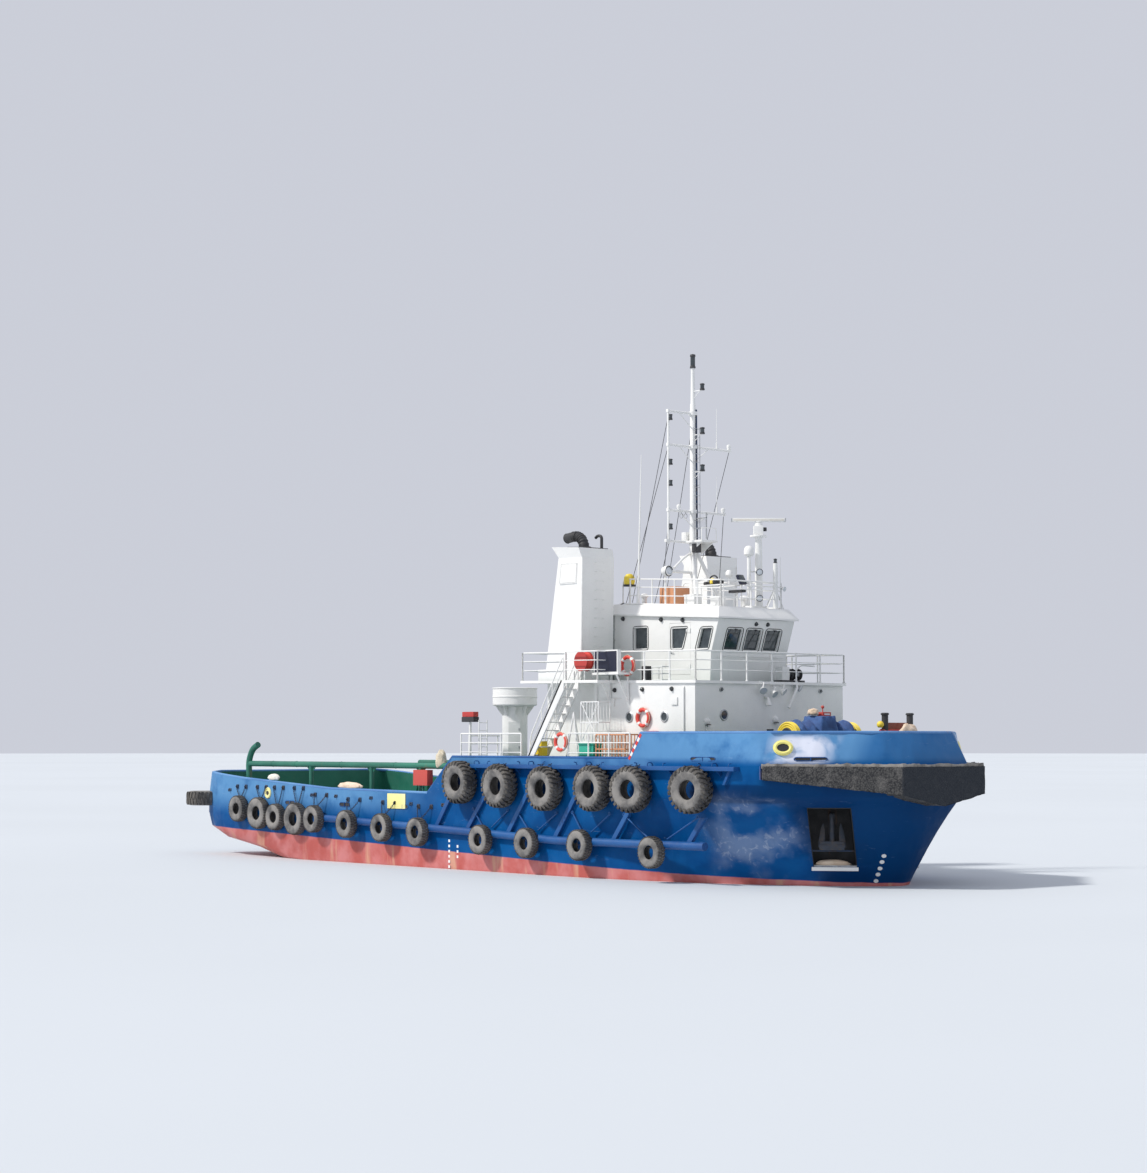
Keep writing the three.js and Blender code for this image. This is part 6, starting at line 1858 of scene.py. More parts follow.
def buildRoofGear():
    r = roofGear
    g = Fittings("roof_gear")
    low, high = r["cabinet"]
    g.block("orange", low, high, 0.02)
    g.block("orange", (low[0] + 0.06, low[1] - 0.012, low[2] + 0.08),
        (low[0] + 0.52, low[1] + 0.01, high[2] - 0.06), 0.006)
    g.block("orange", (low[0] + 0.58, low[1] - 0.012, low[2] + 0.08),
        (high[0] - 0.06, low[1] + 0.01, high[2] - 0.06), 0.006)
    for x, y, length, height in r["lockers"]:
        base = roofAt(x) - 0.01
        g.block("white", (x, y, base), (x + length, y + 0.4, base + height), 0.02)
        g.block("white", (x - 0.015, y - 0.015, base + height - 0.04),
            (x + length + 0.015, y + 0.415, base + height + 0.01), 0.008)
    for x, y, radius, height in r["vents"]:
        base = roofAt(x) - 0.02
        g.lathe("white", [(0, 0), (radius, 0), (radius, height - 0.1), (radius * 1.5, height - 0.06),
            (radius * 1.55, height), (radius * 0.9, height + 0.07), (0, height + 0.09)], 20,
            moved((x, y, base)))
    for x, y, z, grown in r["yellowLamps"]:
        g.tube("white", [(x, y, roofAt(x)), (x, y, z - 0.12 * grown)], 0.02, 8)
        stand = moved((x, y, z)) @ Matrix.Scale(grown, 4)
        g.lathe("yellow", [(0, -0.1), (0.1, -0.1), (0.115, -0.03), (0.105, 0.06), (0.06, 0.115), (0, 0.13)],
            20, stand)
        g.lathe("black", drum(0.125, -0.13, -0.095), 20, stand)
    # Horns, a small dome and a tilted screen ahead of the mast, over a low frame
    frame = [(7.55, -0.75), (8.75, -0.75), (8.75, 0.2), (7.55, 0.2)]
    for x, y in frame:
        g.tube("white", [(x, y, roofAt(x) - 0.01), (x, y, 10.78)], 0.022, 8)
    g.hoop("white", [(x, y, 10.78) for x, y in frame], 0.022, 8)
    g.block("black", (8.35, -0.1, 10.5), (9.04, 0.14, 10.6), 0.02)
    g.tube("white", [(8.7, 0.02, roofAt(8.7) - 0.01), (8.7, 0.02, 10.52)], 0.03, 8)
    tilted = moved((8.9, 0.05, 10.98)) @ spun(-32, "Y")
    g.block("navy", (-0.06, -0.16, -0.2), (0.04, 0.16, 0.2), 0.015, tilted)
    g.block("glass", (0.038, -0.13, -0.17), (0.044, 0.13, 0.17), 0.002, tilted)
    g.tube("white", [(8.88, 0.05, 10.58), (8.88, 0.05, 10.86)], 0.03, 8)
    for y in (-0.62, -0.35):
        horn = [(7.75, y, 10.86), (7.95, y, 10.9), (8.25, y, 10.92)]
        g.tube("black", horn, [0.035, 0.045, 0.115], 20)
        g.tube("black", [(7.62, y, 10.86), (7.78, y, 10.86)], 0.07, 14)
    g.torus("black", (8.02, -0.55, 10.98), (0.3, -1, 0.2), 0.17, 0.03, 24, 8, 0.3, 3.6)
    g.lathe("white", [(0, -0.13), (0.09, -0.13), (0.145, -0.05), (0.14, 0.05), (0.08, 0.13), (0, 0.145)], 24,
        moved((8.35, -0.05, 11.22)))
    g.tube("white", [(8.35, -0.05, 10.78), (8.35, -0.05, 11.12)], 0.035, 10)
    # Forward light mast, a whip and the spar lamp over the roof's front
    x, y, top = r["lightMast"]
    g.tube("white", [(x, y, roofAt(x) - 0.02), (x, y, top)], [0.1, 0.085], 14)
    for reach in (-0.45, 0.45):
        g.tube("white", [(x, y + reach, roofAt(x) - 0.02), (x, y, roofAt(x) + 0.75)], 0.022, 8)
    g.tube("white", [(x - 0.55, y, roofAt(x)), (x, y, roofAt(x) + 0.85)], 0.022, 8)
    g.tube("white", [(x, -0.35, 10.72), (x + 0.08, 1.62, 10.72)], 0.026, 8)
    floodlight(g, (x + 0.16, 1.6, 10.66), (0.95, 0.1, -0.25), 0.095, "white")
    navLamp(g, (x, y, top), 0.07, 0.18)
    x, y, top = r["whip"]
    g.tube("white", [(x, y, roofAt(x) - 0.01), (x, y, roofAt(x) + 0.5), (x, y, top)], [0.022, 0.022, 0.008],
        8)
    # Pipes along the edge of the roof's flat, and a ladder at the wheelhouse's aft corner
    for y in (-1.7, 1.7):
        g.tube("white", [(4.2, y, roofAt(4.2) + 0.03), (9.3, y, roofAt(9.3) + 0.03)], 0.028, 8)
    for x, radius, finish in ((3.76, 0.035, "white"), (3.86, 0.04, "black"), (3.95, 0.03, "paleSteel"),
            (4.03, 0.03, "white")):
        line = [(x, -1.9, 7.24), (x, -1.9, 9.6), (x + 0.05, -1.86, 10.05), (x + 0.45, -1.7, 10.22)]
        g.tube(finish, rounded(line, 0.15), radius, 8)
    for z in (7.6, 8.0, 8.4, 8.8, 9.2):
        g.block("paleSteel", (3.71, -1.95, z), (4.07, -1.85, z + 0.05), 0.005)
    x, y, low, high = mastKit["bigWhip"]
    lean = 0.035
    g.tube("white", [(x - lean * (high - z), y, z) for z in (low - 0.02, low + 0.5, low + 0.52, 13.5, high)],
        [0.06, 0.06, 0.045, 0.03, 0.012], 12)
    g.done()
    # Stays from the yards down to the roof and the boat deck
    g = Fittings("mast_stays")
    for first, last in (((6.35, -1.25, 17.4), (4.55, -1.5, 10.25)),
            ((6.35, -1.28, 16.12), (4.2, -1.5, 10.25)), ((6.35, -1.25, 13.64), (6.2, -1.5, 10.15)),
            ((6.35, -1.28, 12.4), (5.85, -1.54, 10.15)), ((6.35, 0.05, 17.4), (4.4, 0.3, 10.2)),
            ((6.35, 1.9, 16.1), (4.6, 1.5, 10.2)), ((6.35, 1.6, 13.6), (6.1, 1.52, 10.15))):
        g.tube("black", [first, last], 0.011, 6)
    g.done()


buildMast()
buildRadar()
buildRoofGear()
print("mast and roof gear done")
# Towing winch
winch = {"x": -4.6, "z": 3.0, "wirePitch": 0.058, "wireTop": 0.8, "deck": cargoDeck}


def acrossAt(x, z, y=0.0):
    # Matrix that lays a lathe's axis along Y at (x, z)
    return moved((x, y, z)) @ spun(-90, "X")


def buildWinch():
    w = winch
    x, z, deck = w["x"], w["z"], w["deck"]
    g = Fittings("towing_winch")
    g.block("green", (x - 1.0, -1.36, deck), (x + 1.0, 1.36, 1.96), 0.015)
    outline = [(x - 1.0, deck + 0.1), (x + 1.0, deck + 0.1), (x + 0.7, z + 0.5), (x - 0.5, z + 0.7)]
    for y in (-1.36, 1.22):
        cheek = bmesh.new()
        loop = rounded([(px, y, pz) for px, pz in outline[1:] + outline[:1]], 0.25, 5)
        full = [(x + 1.0, y, deck + 0.1)] + loop[1:-1] + [(x - 1.0, y, deck + 0.1)]
        prism(cheek, full, (0, 0.14, 0))
        place(g.of("green"), cheek)
        for px in (x - 0.75, x - 0.3, x + 0.35, x + 0.8):
            rib = [(px - 0.05, 1.95), (px + 0.05, 1.95), (px + 0.02, 2.45), (px - 0.02, 2.45)]
            outer = copysign(1.36, y)
            g.prism("green", [(a, outer, b) for a, b in rib], (0, copysign(0.1, y), 0), 0.004)
    # Bearing housing on the port cheek, open over the axle
    g.lathe("green", [(0.101, 0), (0.24, 0), (0.22, 0.05), (0.101, 0.05), (0.101, 0)], 28,
        acrossAt(x, z, 1.315))
    g.block("green", (x - 0.52, -2.15, deck + 0.1), (x + 0.52, -1.34, 3.55), 0.05)
    for pz in (2.15, 2.6, 3.05, 3.4):
        g.block("green", (x - 0.54, -2.16, pz - 0.02), (x + 0.54, -1.4, pz + 0.02), 0.008)
    g.lathe("green", [(0, 0), (0.36, 0), (0.36, 0.08), (0.3, 0.12), (0, 0.12)], 28,
        acrossAt(x, z - 0.05, -2.15) @ spun(180, "X"))
    g.bolts((x, -2.235, z - 0.05), (0, -1, 0), 0.33, 12, 0.018)
    for px, pz in ((x - 0.3, 3.45), (x + 0.3, 3.45)):
        g.lathe("black", [(0, 0), (0.11, 0), (0.11, 0.3), (0.08, 0.36), (0, 0.36)], 20,
            acrossAt(px, pz - 0.15, -2.12) @ spun(180, "X"))
        g.tube("black", rounded([(px, -2.4, pz - 0.15), (px, -2.52, pz - 0.3), (px + 0.1, -2.52, 1.95),
            (px + 0.5, -2.3, 1.86)], 0.2), 0.025, 8)
    # Brake bands round the flanges, each with its screw
    for y in (-1.1, 1.1):
        angles = [radians(v) for v in range(-40, 221, 10)]
        band = [Vector((x + 1.035 * cos(a), y, z + 1.035 * sin(a))) for a in angles]
        strip = bmesh.new()
        rows = []
        for p in band:
            out = (p - Vector((x, y, z))).normalized()
            rows.append([strip.verts.new(p + Vector((0, s, 0)) + out * t) for s, t in ((-0.05, 0), (0.05, 0),
                (0.05, 0.018), (-0.05, 0.018))])
        bridge(strip, rows)
        place(g.of("green"), strip)
        for p in (band[0], band[-1]):
            g.tube("green", [p + Vector((0, 0, 0.02)), (p.x, p.y, 1.94)], 0.035, 8)
        g.tube("steel", [(band[-1].x - 0.09, y, band[-1].z + 0.05), (band[-1].x - 0.09, y, 3.35)], 0.022, 8)
        g.torus("black", (band[-1].x - 0.09, y, 3.36), (0, 0, 1), 0.14, 0.014, 24, 6)
    g.bolts((x, 1.365, z), (0, 1, 0), 0.2, 8, 0.018)
    for y in (-1.28, 1.28):
        for px in (x - 0.9, x - 0.45, x, x + 0.45, x + 0.9):
            g.lathe("steel", [(0, 0), (0.028, 0), (0.028, 0.03), (0, 0.035)], 6, moved((px, y, 1.958)))
    g.done("towing_winch")
    g = Fittings("towing_winch_drum", "towing_winch_drum")
    axis = acrossAt(x, z)
    profile = [(0, -1.32), (0.09, -1.32), (0.09, -1.14), (0.2, -1.14), (0.2, -1.12), (0.96, -1.12),
        (0.98, -1.1), (0.98, -1.06), (0.96, -1.04), (0.62, -1.04)]
    g.lathe("steel", profile + [(0.62, 1.04), (0.96, 1.04), (0.98, 1.06), (0.98, 1.1), (0.96, 1.12),
        (0.2, 1.12), (0.2, 1.14), (0.09, 1.14), (0.09, 1.4303), (0, 1.4303)], 48, axis)
    g.lathe("steel", [(0, 1.4303 - 0.0697), (0.15, 1.3606), (0.15, 1.42), (0.13, 1.43), (0, 1.43)], 28, axis)
    turns = int(2 * 1.03 / w["wirePitch"])
    scallop = [(w["wireTop"] - 0.026, -1.035)]
    for n in range(turns):
        y0 = -1.035 + n * w["wirePitch"]
        scallop += [(w["wireTop"] - 0.006, y0 + w["wirePitch"] * 0.22),
            (w["wireTop"], y0 + w["wirePitch"] * 0.5), (w["wireTop"] - 0.006, y0 + w["wirePitch"] * 0.78),
            (w["wireTop"] - 0.026, y0 + w["wirePitch"])]
    last = scallop[-1][1]
    g.lathe("chain", [(0.6, -1.035)] + scallop + [(0.6, last), (0.6, -1.035)], 40, axis)
    for y in (-1.125, 1.125):
        for n in range(6):
            a = n * pi / 3
            spoke = [(x + r * cos(a) - 0.02 * sin(a) * s, y, z + r * sin(a) + 0.02 * cos(a) * s)
                for r, s in ((0.18, -1), (0.9, -1), (0.9, 1), (0.18, 1))]
            g.prism("steel", spoke, (0, copysign(0.035, y), 0), 0.004)
    g.done("towing_winch_drum")


# Tub on its pedestal
tub = {"x": -1.3, "y": -2.5, "radius": 0.88, "pedestal": 0.5, "wall": 0.05, "deck": raisedDeck}


def buildTub():
    t = tub
    stand = moved((t["x"], t["y"], 0))
    g = Fittings("tub_on_pedestal")
    radius, post = t["radius"], t["pedestal"]
    g.lathe("white", [(0, t["deck"]), (post, t["deck"]), (post, 6.34), (radius - 0.03, 6.38), (radius, 6.42),
        (radius, 7.04), (radius + 0.025, 7.05), (radius + 0.03, 7.075), (radius + 0.01, 7.09),
        (radius - 0.06, 7.09), (radius - 0.065, 7.05), (radius - t["wall"], 7.03),
        (radius - t["wall"], 6.43), (0, 6.43)], 48, stand)
    g.lathe("white", [(post - 0.02, 4.15), (post + 0.1, 4.15), (post + 0.1, 4.18), (post - 0.02, 4.18),
        (post - 0.02, 4.15)], 40, stand)
    g.bolts((t["x"], t["y"], 4.18), (0, 0, 1), post + 0.055, 16, 0.018)
    for n in range(10):
        a = 2 * pi * n / 10
        out = Vector((cos(a), sin(a), 0))
        side = Vector((-sin(a), cos(a), 0)) * 0.008
        centre = Vector((t["x"], t["y"], 0))
        rib = [centre + out * r + Vector((0, 0, z)) - side
            for r, z in ((post - 0.01, 5.95), (post - 0.01, 6.4), (radius - 0.06, 6.4))]
        g.prism("white", rib, side * 2, 0.0)
    g.lathe("white", [(radius - 0.005, 6.7), (radius + 0.018, 6.71), (radius + 0.018, 6.75),
        (radius - 0.005, 6.76), (radius - 0.005, 6.7)], 48, stand)
    # Door in the pedestal and rungs up the post
    direction = Vector((0.75, -0.66, 0)).normalized()
    door = moved((t["x"], t["y"], 0)) @ direction.to_track_quat("X", "Z").to_matrix().to_4x4()
    g.block("white", (post - 0.03, -0.24, 4.45), (post + 0.022, 0.24, 5.75), 0.02, door)
    for z in (4.75, 5.45):
        g.block("paleSteel", (post + 0.01, 0.16, z - 0.05), (post + 0.04, 0.23, z + 0.05), 0.008, door)
    rung = bmesh.new()
    tube(rung, rounded([(0, -0.16, 0), (-0.14, -0.16, 0), (-0.14, 0.16, 0), (0, 0.16, 0)], 0.04), 0.012, 6)
    ladder = t["x"] - post + 0.005
    g.repeat("white", rung, [[(ladder, t["y"], 4.45), (ladder, t["y"], 6.2)]], 0.32)
    g.done("tub_on_pedestal")


# Fore deck: windlass under canvas and mooring bitts
windlass = {"x": 12.9, "z": 5.15, "bed": 4.41, "gear": 5.82, "deck": raisedDeck}


def buildWindlass():
    w = windlass
    x, z = w["x"], w["z"]
    g = Fittings("windlass")
    g.block("black", (x - 0.9, -1.3, w["deck"]), (x + 0.9, 1.3, 4.22), 0.01)
    for y in (-1.24, -0.42, 0.34, 1.16):
        g.block("black", (x - 0.86, y, 4.2), (x + 0.86, y + 0.08, w["bed"]), 0.008)
    g.block("black", (x - 0.9, -1.3, w["bed"] - 0.03), (x + 0.9, 1.3, w["bed"]), 0.006)
    g.block("black", (x - 0.42, -0.33, w["bed"] - 0.02), (x + 0.42, 0.33, w["gear"]), 0.07)
    for n in range(5):
        level = 4.62 + n * 0.25
        g.block("black", (x - 0.435, -0.345, level), (x + 0.435, 0.345, level + 0.03), 0.006)
    for side in (-1, 1):
        axis = acrossAt(x, z) if side > 0 else acrossAt(x, z) @ spun(180, "X")
        g.lathe("black", [(0, 0.3), (0.13, 0.3), (0.13, 0.35), (0.52, 0.36), (0.52, 0.4), (0.34, 0.42),
            (0.34, 0.66), (0.5, 0.68), (0.5, 0.72), (0.3, 0.74), (0.3, 1.18), (0.52, 1.2), (0.52, 1.25),
            (0.13, 1.26), (0.13, 1.42), (0.3, 1.44), (0.21, 1.52), (0.21, 1.6), (0.3, 1.7), (0.28, 1.72),
            (0, 1.72)], 32, axis)
        ends = sorted((side * 1.29, side * 1.42))
        g.block("black", (x - 0.38, ends[0], w["bed"] - 0.05), (x + 0.38, ends[1], z + 0.15), 0.03)
        g.bolts((x, side * 1.425, z), (0, side, 0), 0.24, 6, 0.018)
    g.bolts((x + 0.435, 0, 5.2), (1, 0, 0), 0.22, 10, 0.016)
    for y in (-0.95, 0.95):
        neck = rounded([(x - 0.75, y, 4.4), (x - 0.75, y, 5.0), (x - 0.62, y, 5.25)], 0.1)
        g.tube("black", neck, 0.022, 8)
        g.torus("black", (x - 0.6, y, 5.28), (-0.6, 0, 1), 0.15, 0.014, 24, 6)
    g.done("windlass")


bitts = {"x": 16.6, "y": 0.64, "top": 5.96, "radius": 0.12, "barZ": 5.25}


def buildBitts():
    b = bitts
    g = Fittings("mooring_bitts")
    x, radius = b["x"], b["radius"]
    for y in (-b["y"], b["y"]):
        stand = moved((x, y, 0))
        g.lathe("black", [(0, raisedDeck), (0.26, raisedDeck), (0.26, 4.19), (0.16, 4.22),
            (radius - 0.006, 4.3), (radius - 0.006, 5.88), (radius + 0.025, 5.895), (radius + 0.025, 5.93),
            (radius - 0.01, b["top"]), (0, b["top"])], 32, stand)
        g.bolts((x, y, 4.19), (0, 0, 1), 0.22, 8, 0.018)
    g.tube("red", [(x, -0.79, b["barZ"]), (x, 0.79, b["barZ"])], 0.147, 24)
    for y in (-0.8, 0.77):
        g.lathe("red", drum(0.165, 0, 0.03), 24, acrossAt(x, b["barZ"], y))
    g.done("mooring_bitts")


# Crash rails with their brackets, anchors in the pockets
crash = {"y": 4.64, "z": 4.0, "aft": -17.0, "fore": -2.7, "radius": 0.125, "posts": [-12.3, -7.95, -4.6]}


def buildCrashRails():
    c = crash
    for name, side in sides.items():
        g = Fittings("crash_rail_" + name)
        y = side * c["y"]
        g.tube("green", [(c["aft"], y, c["z"]), (c["fore"], y, c["z"])], c["radius"] * 0.985, 20)
        g.lathe("green", drum(0.128, -0.012, 0.0), 20, turnTo((1, 0, 0), (c["fore"], y, c["z"])))
        ends = {
            "stbd": [(-16.9, y, cargoDeck), (-17.1, y, 3.6), (-17.13, y, 4.12), (-16.86, y, 4.63),
                (-16.4, y, 4.83)],
            "port": [(-16.9, y, cargoDeck), (-16.93, y, 4.02)],
        }
        line = rounded(ends[name], 0.3, 5) if name == "stbd" else ends[name]
        g.tube("green", line, 0.132, 20)
        for x in c["posts"]:
            g.lathe("green", [(0, cargoDeck), (0.21, cargoDeck), (0.21, 1.83), (0.12, 1.86), (0.093, 1.95),
                (0.093, 3.98), (0, 3.98)], 20, moved((x, y, 0)))
            g.bolts((x, y, 1.83), (0, 0, 1), 0.17, 6, 0.016)
            for lean in (-1, 1):
                g.prism("green", [(x, y - 0.01, 3.6), (x + lean * 0.36, y - 0.01, 3.93),
                    (x, y - 0.01, 3.93)], (0, 0.02, 0), 0.0)
        g.lathe("green", [(0, cargoDeck), (0.26, cargoDeck), (0.26, 1.83), (0.14, 1.88), (0, 1.88)], 20,
            moved((-16.9, y, 0)))
        # Welded collars along the pipe
        for x in (-15.2, -13.4, -10.1, -6.3, -3.5):
            g.torus("green", (x, y, c["z"]), (1, 0, 0), c["radius"] * 0.985, 0.01, 24, 6)
        g.done("crash_rail_" + name)


def buildAnchors():
    for name, side in sides.items():
        g = Fittings("anchor_" + name)
        turn = moved(pocket["place"]) @ spun(pocket["turn"], "Z")
        turn = turn @ moved((0, 0.65, 0))
        if side > 0:
            turn = overKeel @ turn
        bm = g.of("anchorIron")
        block(bm, (-0.42, -0.42, 1.25), (0.42, -0.18, 1.56), 0.05, turn)
        for s in (-1, 1):
            fluke = bmesh.new()
            rows = [(1.36, 0.36, 0.115, 0.1, -0.32), (1.62, 0.345, 0.105, 0.085, -0.29),
                (1.92, 0.32, 0.075, 0.055, -0.235), (2.15, 0.3, 0.02, 0.02, -0.2)]
            rings = [[fluke.verts.new((s * mid + a * wide, back + b * deep, z))
                for a, b in ((-1, -0.6), (0, -1), (1, -0.6), (1, 0.6), (0, 1), (-1, 0.6))]
                for z, mid, wide, deep, back in rows]
            bridge(fluke, rings)
            bmesh.ops.recalc_face_normals(fluke, faces=fluke.faces[:])
            place(bm, fluke, turn)
            lathe(bm, [(0, -0.14), (0.13, -0.14), (0.14, 0), (0.13, 0.14), (0, 0.14)], 20,
                turn @ moved((s * 0.3, -0.3, 1.4)) @ spun(90, "Y"))
        shank = [(0, -0.3, 1.3), (0, -0.3, 2.0), (0, -0.3, 2.46)]
        tube(bm, [turn @ Vector(p) for p in shank], [0.092, 0.082, 0.075], 14)
        tube(bm, [turn @ Vector((0, -0.33, 2.42)), turn @ Vector((0, 0.5997, 2.42))], 0.095, 20)
        torus(bm, turn @ Vector((0, -0.31, 2.44)), turn.to_3x3() @ Vector((1, 0, 0.2)), 0.085, 0.024, 24, 8)
        g.done("anchor_" + name)


# Nozzles, propellers and rudders
screw = {"x": -15.0, "y": 2.35, "z": -2.05, "blades": 4, "skegEnd": -13.7003}


def bladeMesh():
    # One blade standing along Z from the hub, twisted and thinner to the tip
    rows = [(0.15, 0.16, 0.055, 62), (0.35, 0.25, 0.045, 46), (0.6, 0.33, 0.033, 34),
        (0.85, 0.36, 0.022, 27), (1.0, 0.28, 0.014, 24), (1.078, 0.11, 0.007, 23)]
    section = [(-1, 0), (-0.6, 0.8), (0, 1), (0.6, 0.7), (1, 0), (0.6, -0.4), (0, -0.5), (-0.6, -0.4)]
    bm = bmesh.new()
    rings = []
    for height, wide, thick, pitch in rows:
        a = radians(pitch)
        ring = []
        for u, v in section:
            along, out = u * wide, v * thick
            ring.append(bm.verts.new((along * sin(a) + out * cos(a), along * cos(a) - out * sin(a), height)))
        rings.append(ring)
    bridge(bm, rings)
    bmesh.ops.recalc_face_normals(bm, faces=bm.faces[:])
    return bm


def buildPropulsion():
    s = screw
    for name, side in sides.items():
        y = side * s["y"]
        forward = moved((s["x"], y, s["z"])) @ spun(90, "Y")
        g = Fittings("nozzle_" + name)
        foil = [(1.135, -0.56), (1.2, -0.56), (1.3, -0.1), (1.33, 0.2), (1.33, 0.5), (1.28, 0.6),
            (1.22, 0.62), (1.17, 0.6), (1.135, 0.45), (1.132, 0.0), (1.135, -0.56)]
        g.lathe("redBottom", foil, 72, forward)
        strut = [(-0.3, -0.0), (-0.18, -0.085), (0.2, -0.085), (0.42, 0.0), (0.2, 0.085), (-0.18, 0.085)]
        g.prism("redBottom", [(s["x"] + a, y + b, -0.86) for a, b in strut], (0, 0, 0.935), 0.0)
        # Zinc plates on the duct
        for angle in (35, 145, 215, 325):
            a = radians(angle)
            out = Vector((0, cos(a), sin(a)))
            plate = moved(Vector((s["x"] + 0.3, y, s["z"])) + out * 1.325) @ out.to_track_quat("Z",
                "X").to_matrix().to_4x4()
            g.block("paleSteel", (-0.05, -0.14, -0.01), (0.05, 0.14, 0.025), 0.01, plate)
        g.done("nozzle_" + name)
        g = Fittings("propeller_" + name, "propeller_" + name)
        unit = unitObject("blade", bladeMesh())
        ringMesh = bmesh.new()
        for n in range(s["blades"]):
            turn = moved((s["x"], y, s["z"])) @ Matrix.Rotation(n * 2 * pi / s["blades"], 4, "X")
            if side > 0:
                turn = turn @ overKeel
            addMesh(ringMesh, unit.data, turn)
        place(g.of("bronze"), ringMesh)
        dropUnit(unit)
        reach = s["skegEnd"] - s["x"]
        g.lathe("bronze", [(0, -0.33), (0.07, -0.32), (0.135, -0.26), (0.175, -0.15), (0.188, 0.0),
            (0.188, 0.22), (0.16, 0.26), (0, 0.26)], 32, forward)
        g.lathe("steel", [(0, 0.24), (0.165, 0.24), (0.165, 0.34), (0.14, 0.36), (0.14, reach - 0.12),
            (0.188, reach - 0.1), (0.188, reach), (0, reach)], 28, forward)
        g.bolts((s["x"] + 0.34, y, s["z"]), (1, 0, 0), 0.15, 8, 0.014)
        g.done("propeller_" + name)
        g = Fittings("rudder_" + name, "rudder_" + name)
        x = -16.35
        chord = [(-1.05, 0.0), (-0.62, 0.045), (-0.2, 0.064), (0.15, 0.068), (0.33, 0.045), (0.42, 0.0)]
        foil = [(x + a, y + b) for a, b in chord] + [(x + a, y - b) for a, b in reversed(chord[1:-1])]
        g.prism("redBottom", [(a, b, -3.15) for a, b in foil], (0, 0, 2.5), 0.0)
        for z in (-3.15, -0.67):
            g.prism("redBottom", [(x - 0.9, y - 0.069, z), (x + 0.25, y - 0.069, z),
                (x + 0.25, y + 0.069, z), (x - 0.9, y + 0.069, z)], (0, 0, 0.02), 0.0)
        g.lathe("steel", [(0, -0.7), (0.15, -0.7), (0.15, -0.6), (0.098, -0.55), (0.098, -0.0603),
            (0, -0.0603)], 24, moved((x, y, 0)))
        for z in (-1.2, -1.9, -2.6):
            g.block("paleSteel", (x - 0.55, y - 0.075, z - 0.05), (x - 0.25, y + 0.075, z + 0.05), 0.01)
        g.done("rudder_" + name)


# Loose gear on the decks
gear = {
    "rings": [((6.99, -3.93, 7.74), 0.32), ((4.4, -4.95, 4.95), 0.3)], "reel": (5.25, -4.55, 7.93),
    "screen": (5.85, 7.05, -4.55, 7.5, 8.27), "greenBox": ((5.25, -4.8, raisedDeck), (6.05, -4.38, 4.89)),
    "crate": (6.15, 7.75, -4.74, -4.12, raisedDeck, 5.22), "cage": (5.3, 6.3, -4.74, -4.2, 4.92, 6.42),
    "lampPost": (-1.8, -4.35, 5.73), "redBox": ((-4.72, -4.95, 3.22), (-3.79, -4.66, 3.84)),
    "canvas": (12.22, 13.58, -1.47, 1.47), "cloth": 0.01,
}


def frameBox(g, finish, low, high, radius, bars=0):
    # Welded crate: edges of round bar, and uprights along its long sides
    (x0, y0, z0), (x1, y1, z1) = low, high
    for z in (z0 + radius, (z0 + z1) / 2, z1):
        g.hoop(finish, [(x0, y0, z), (x1, y0, z), (x1, y1, z), (x0, y1, z)], radius, 6)
    for x in (x0, x1):
        for y in (y0, y1):
            g.tube(finish, [(x, y, z0), (x, y, z1)], radius, 8)
    for k in range(1, bars):
        x = x0 + (x1 - x0) * k / bars
        for y in (y0, y1):
            g.tube(finish, [(x, y, z0), (x, y, z1)], radius * 0.7, 6)


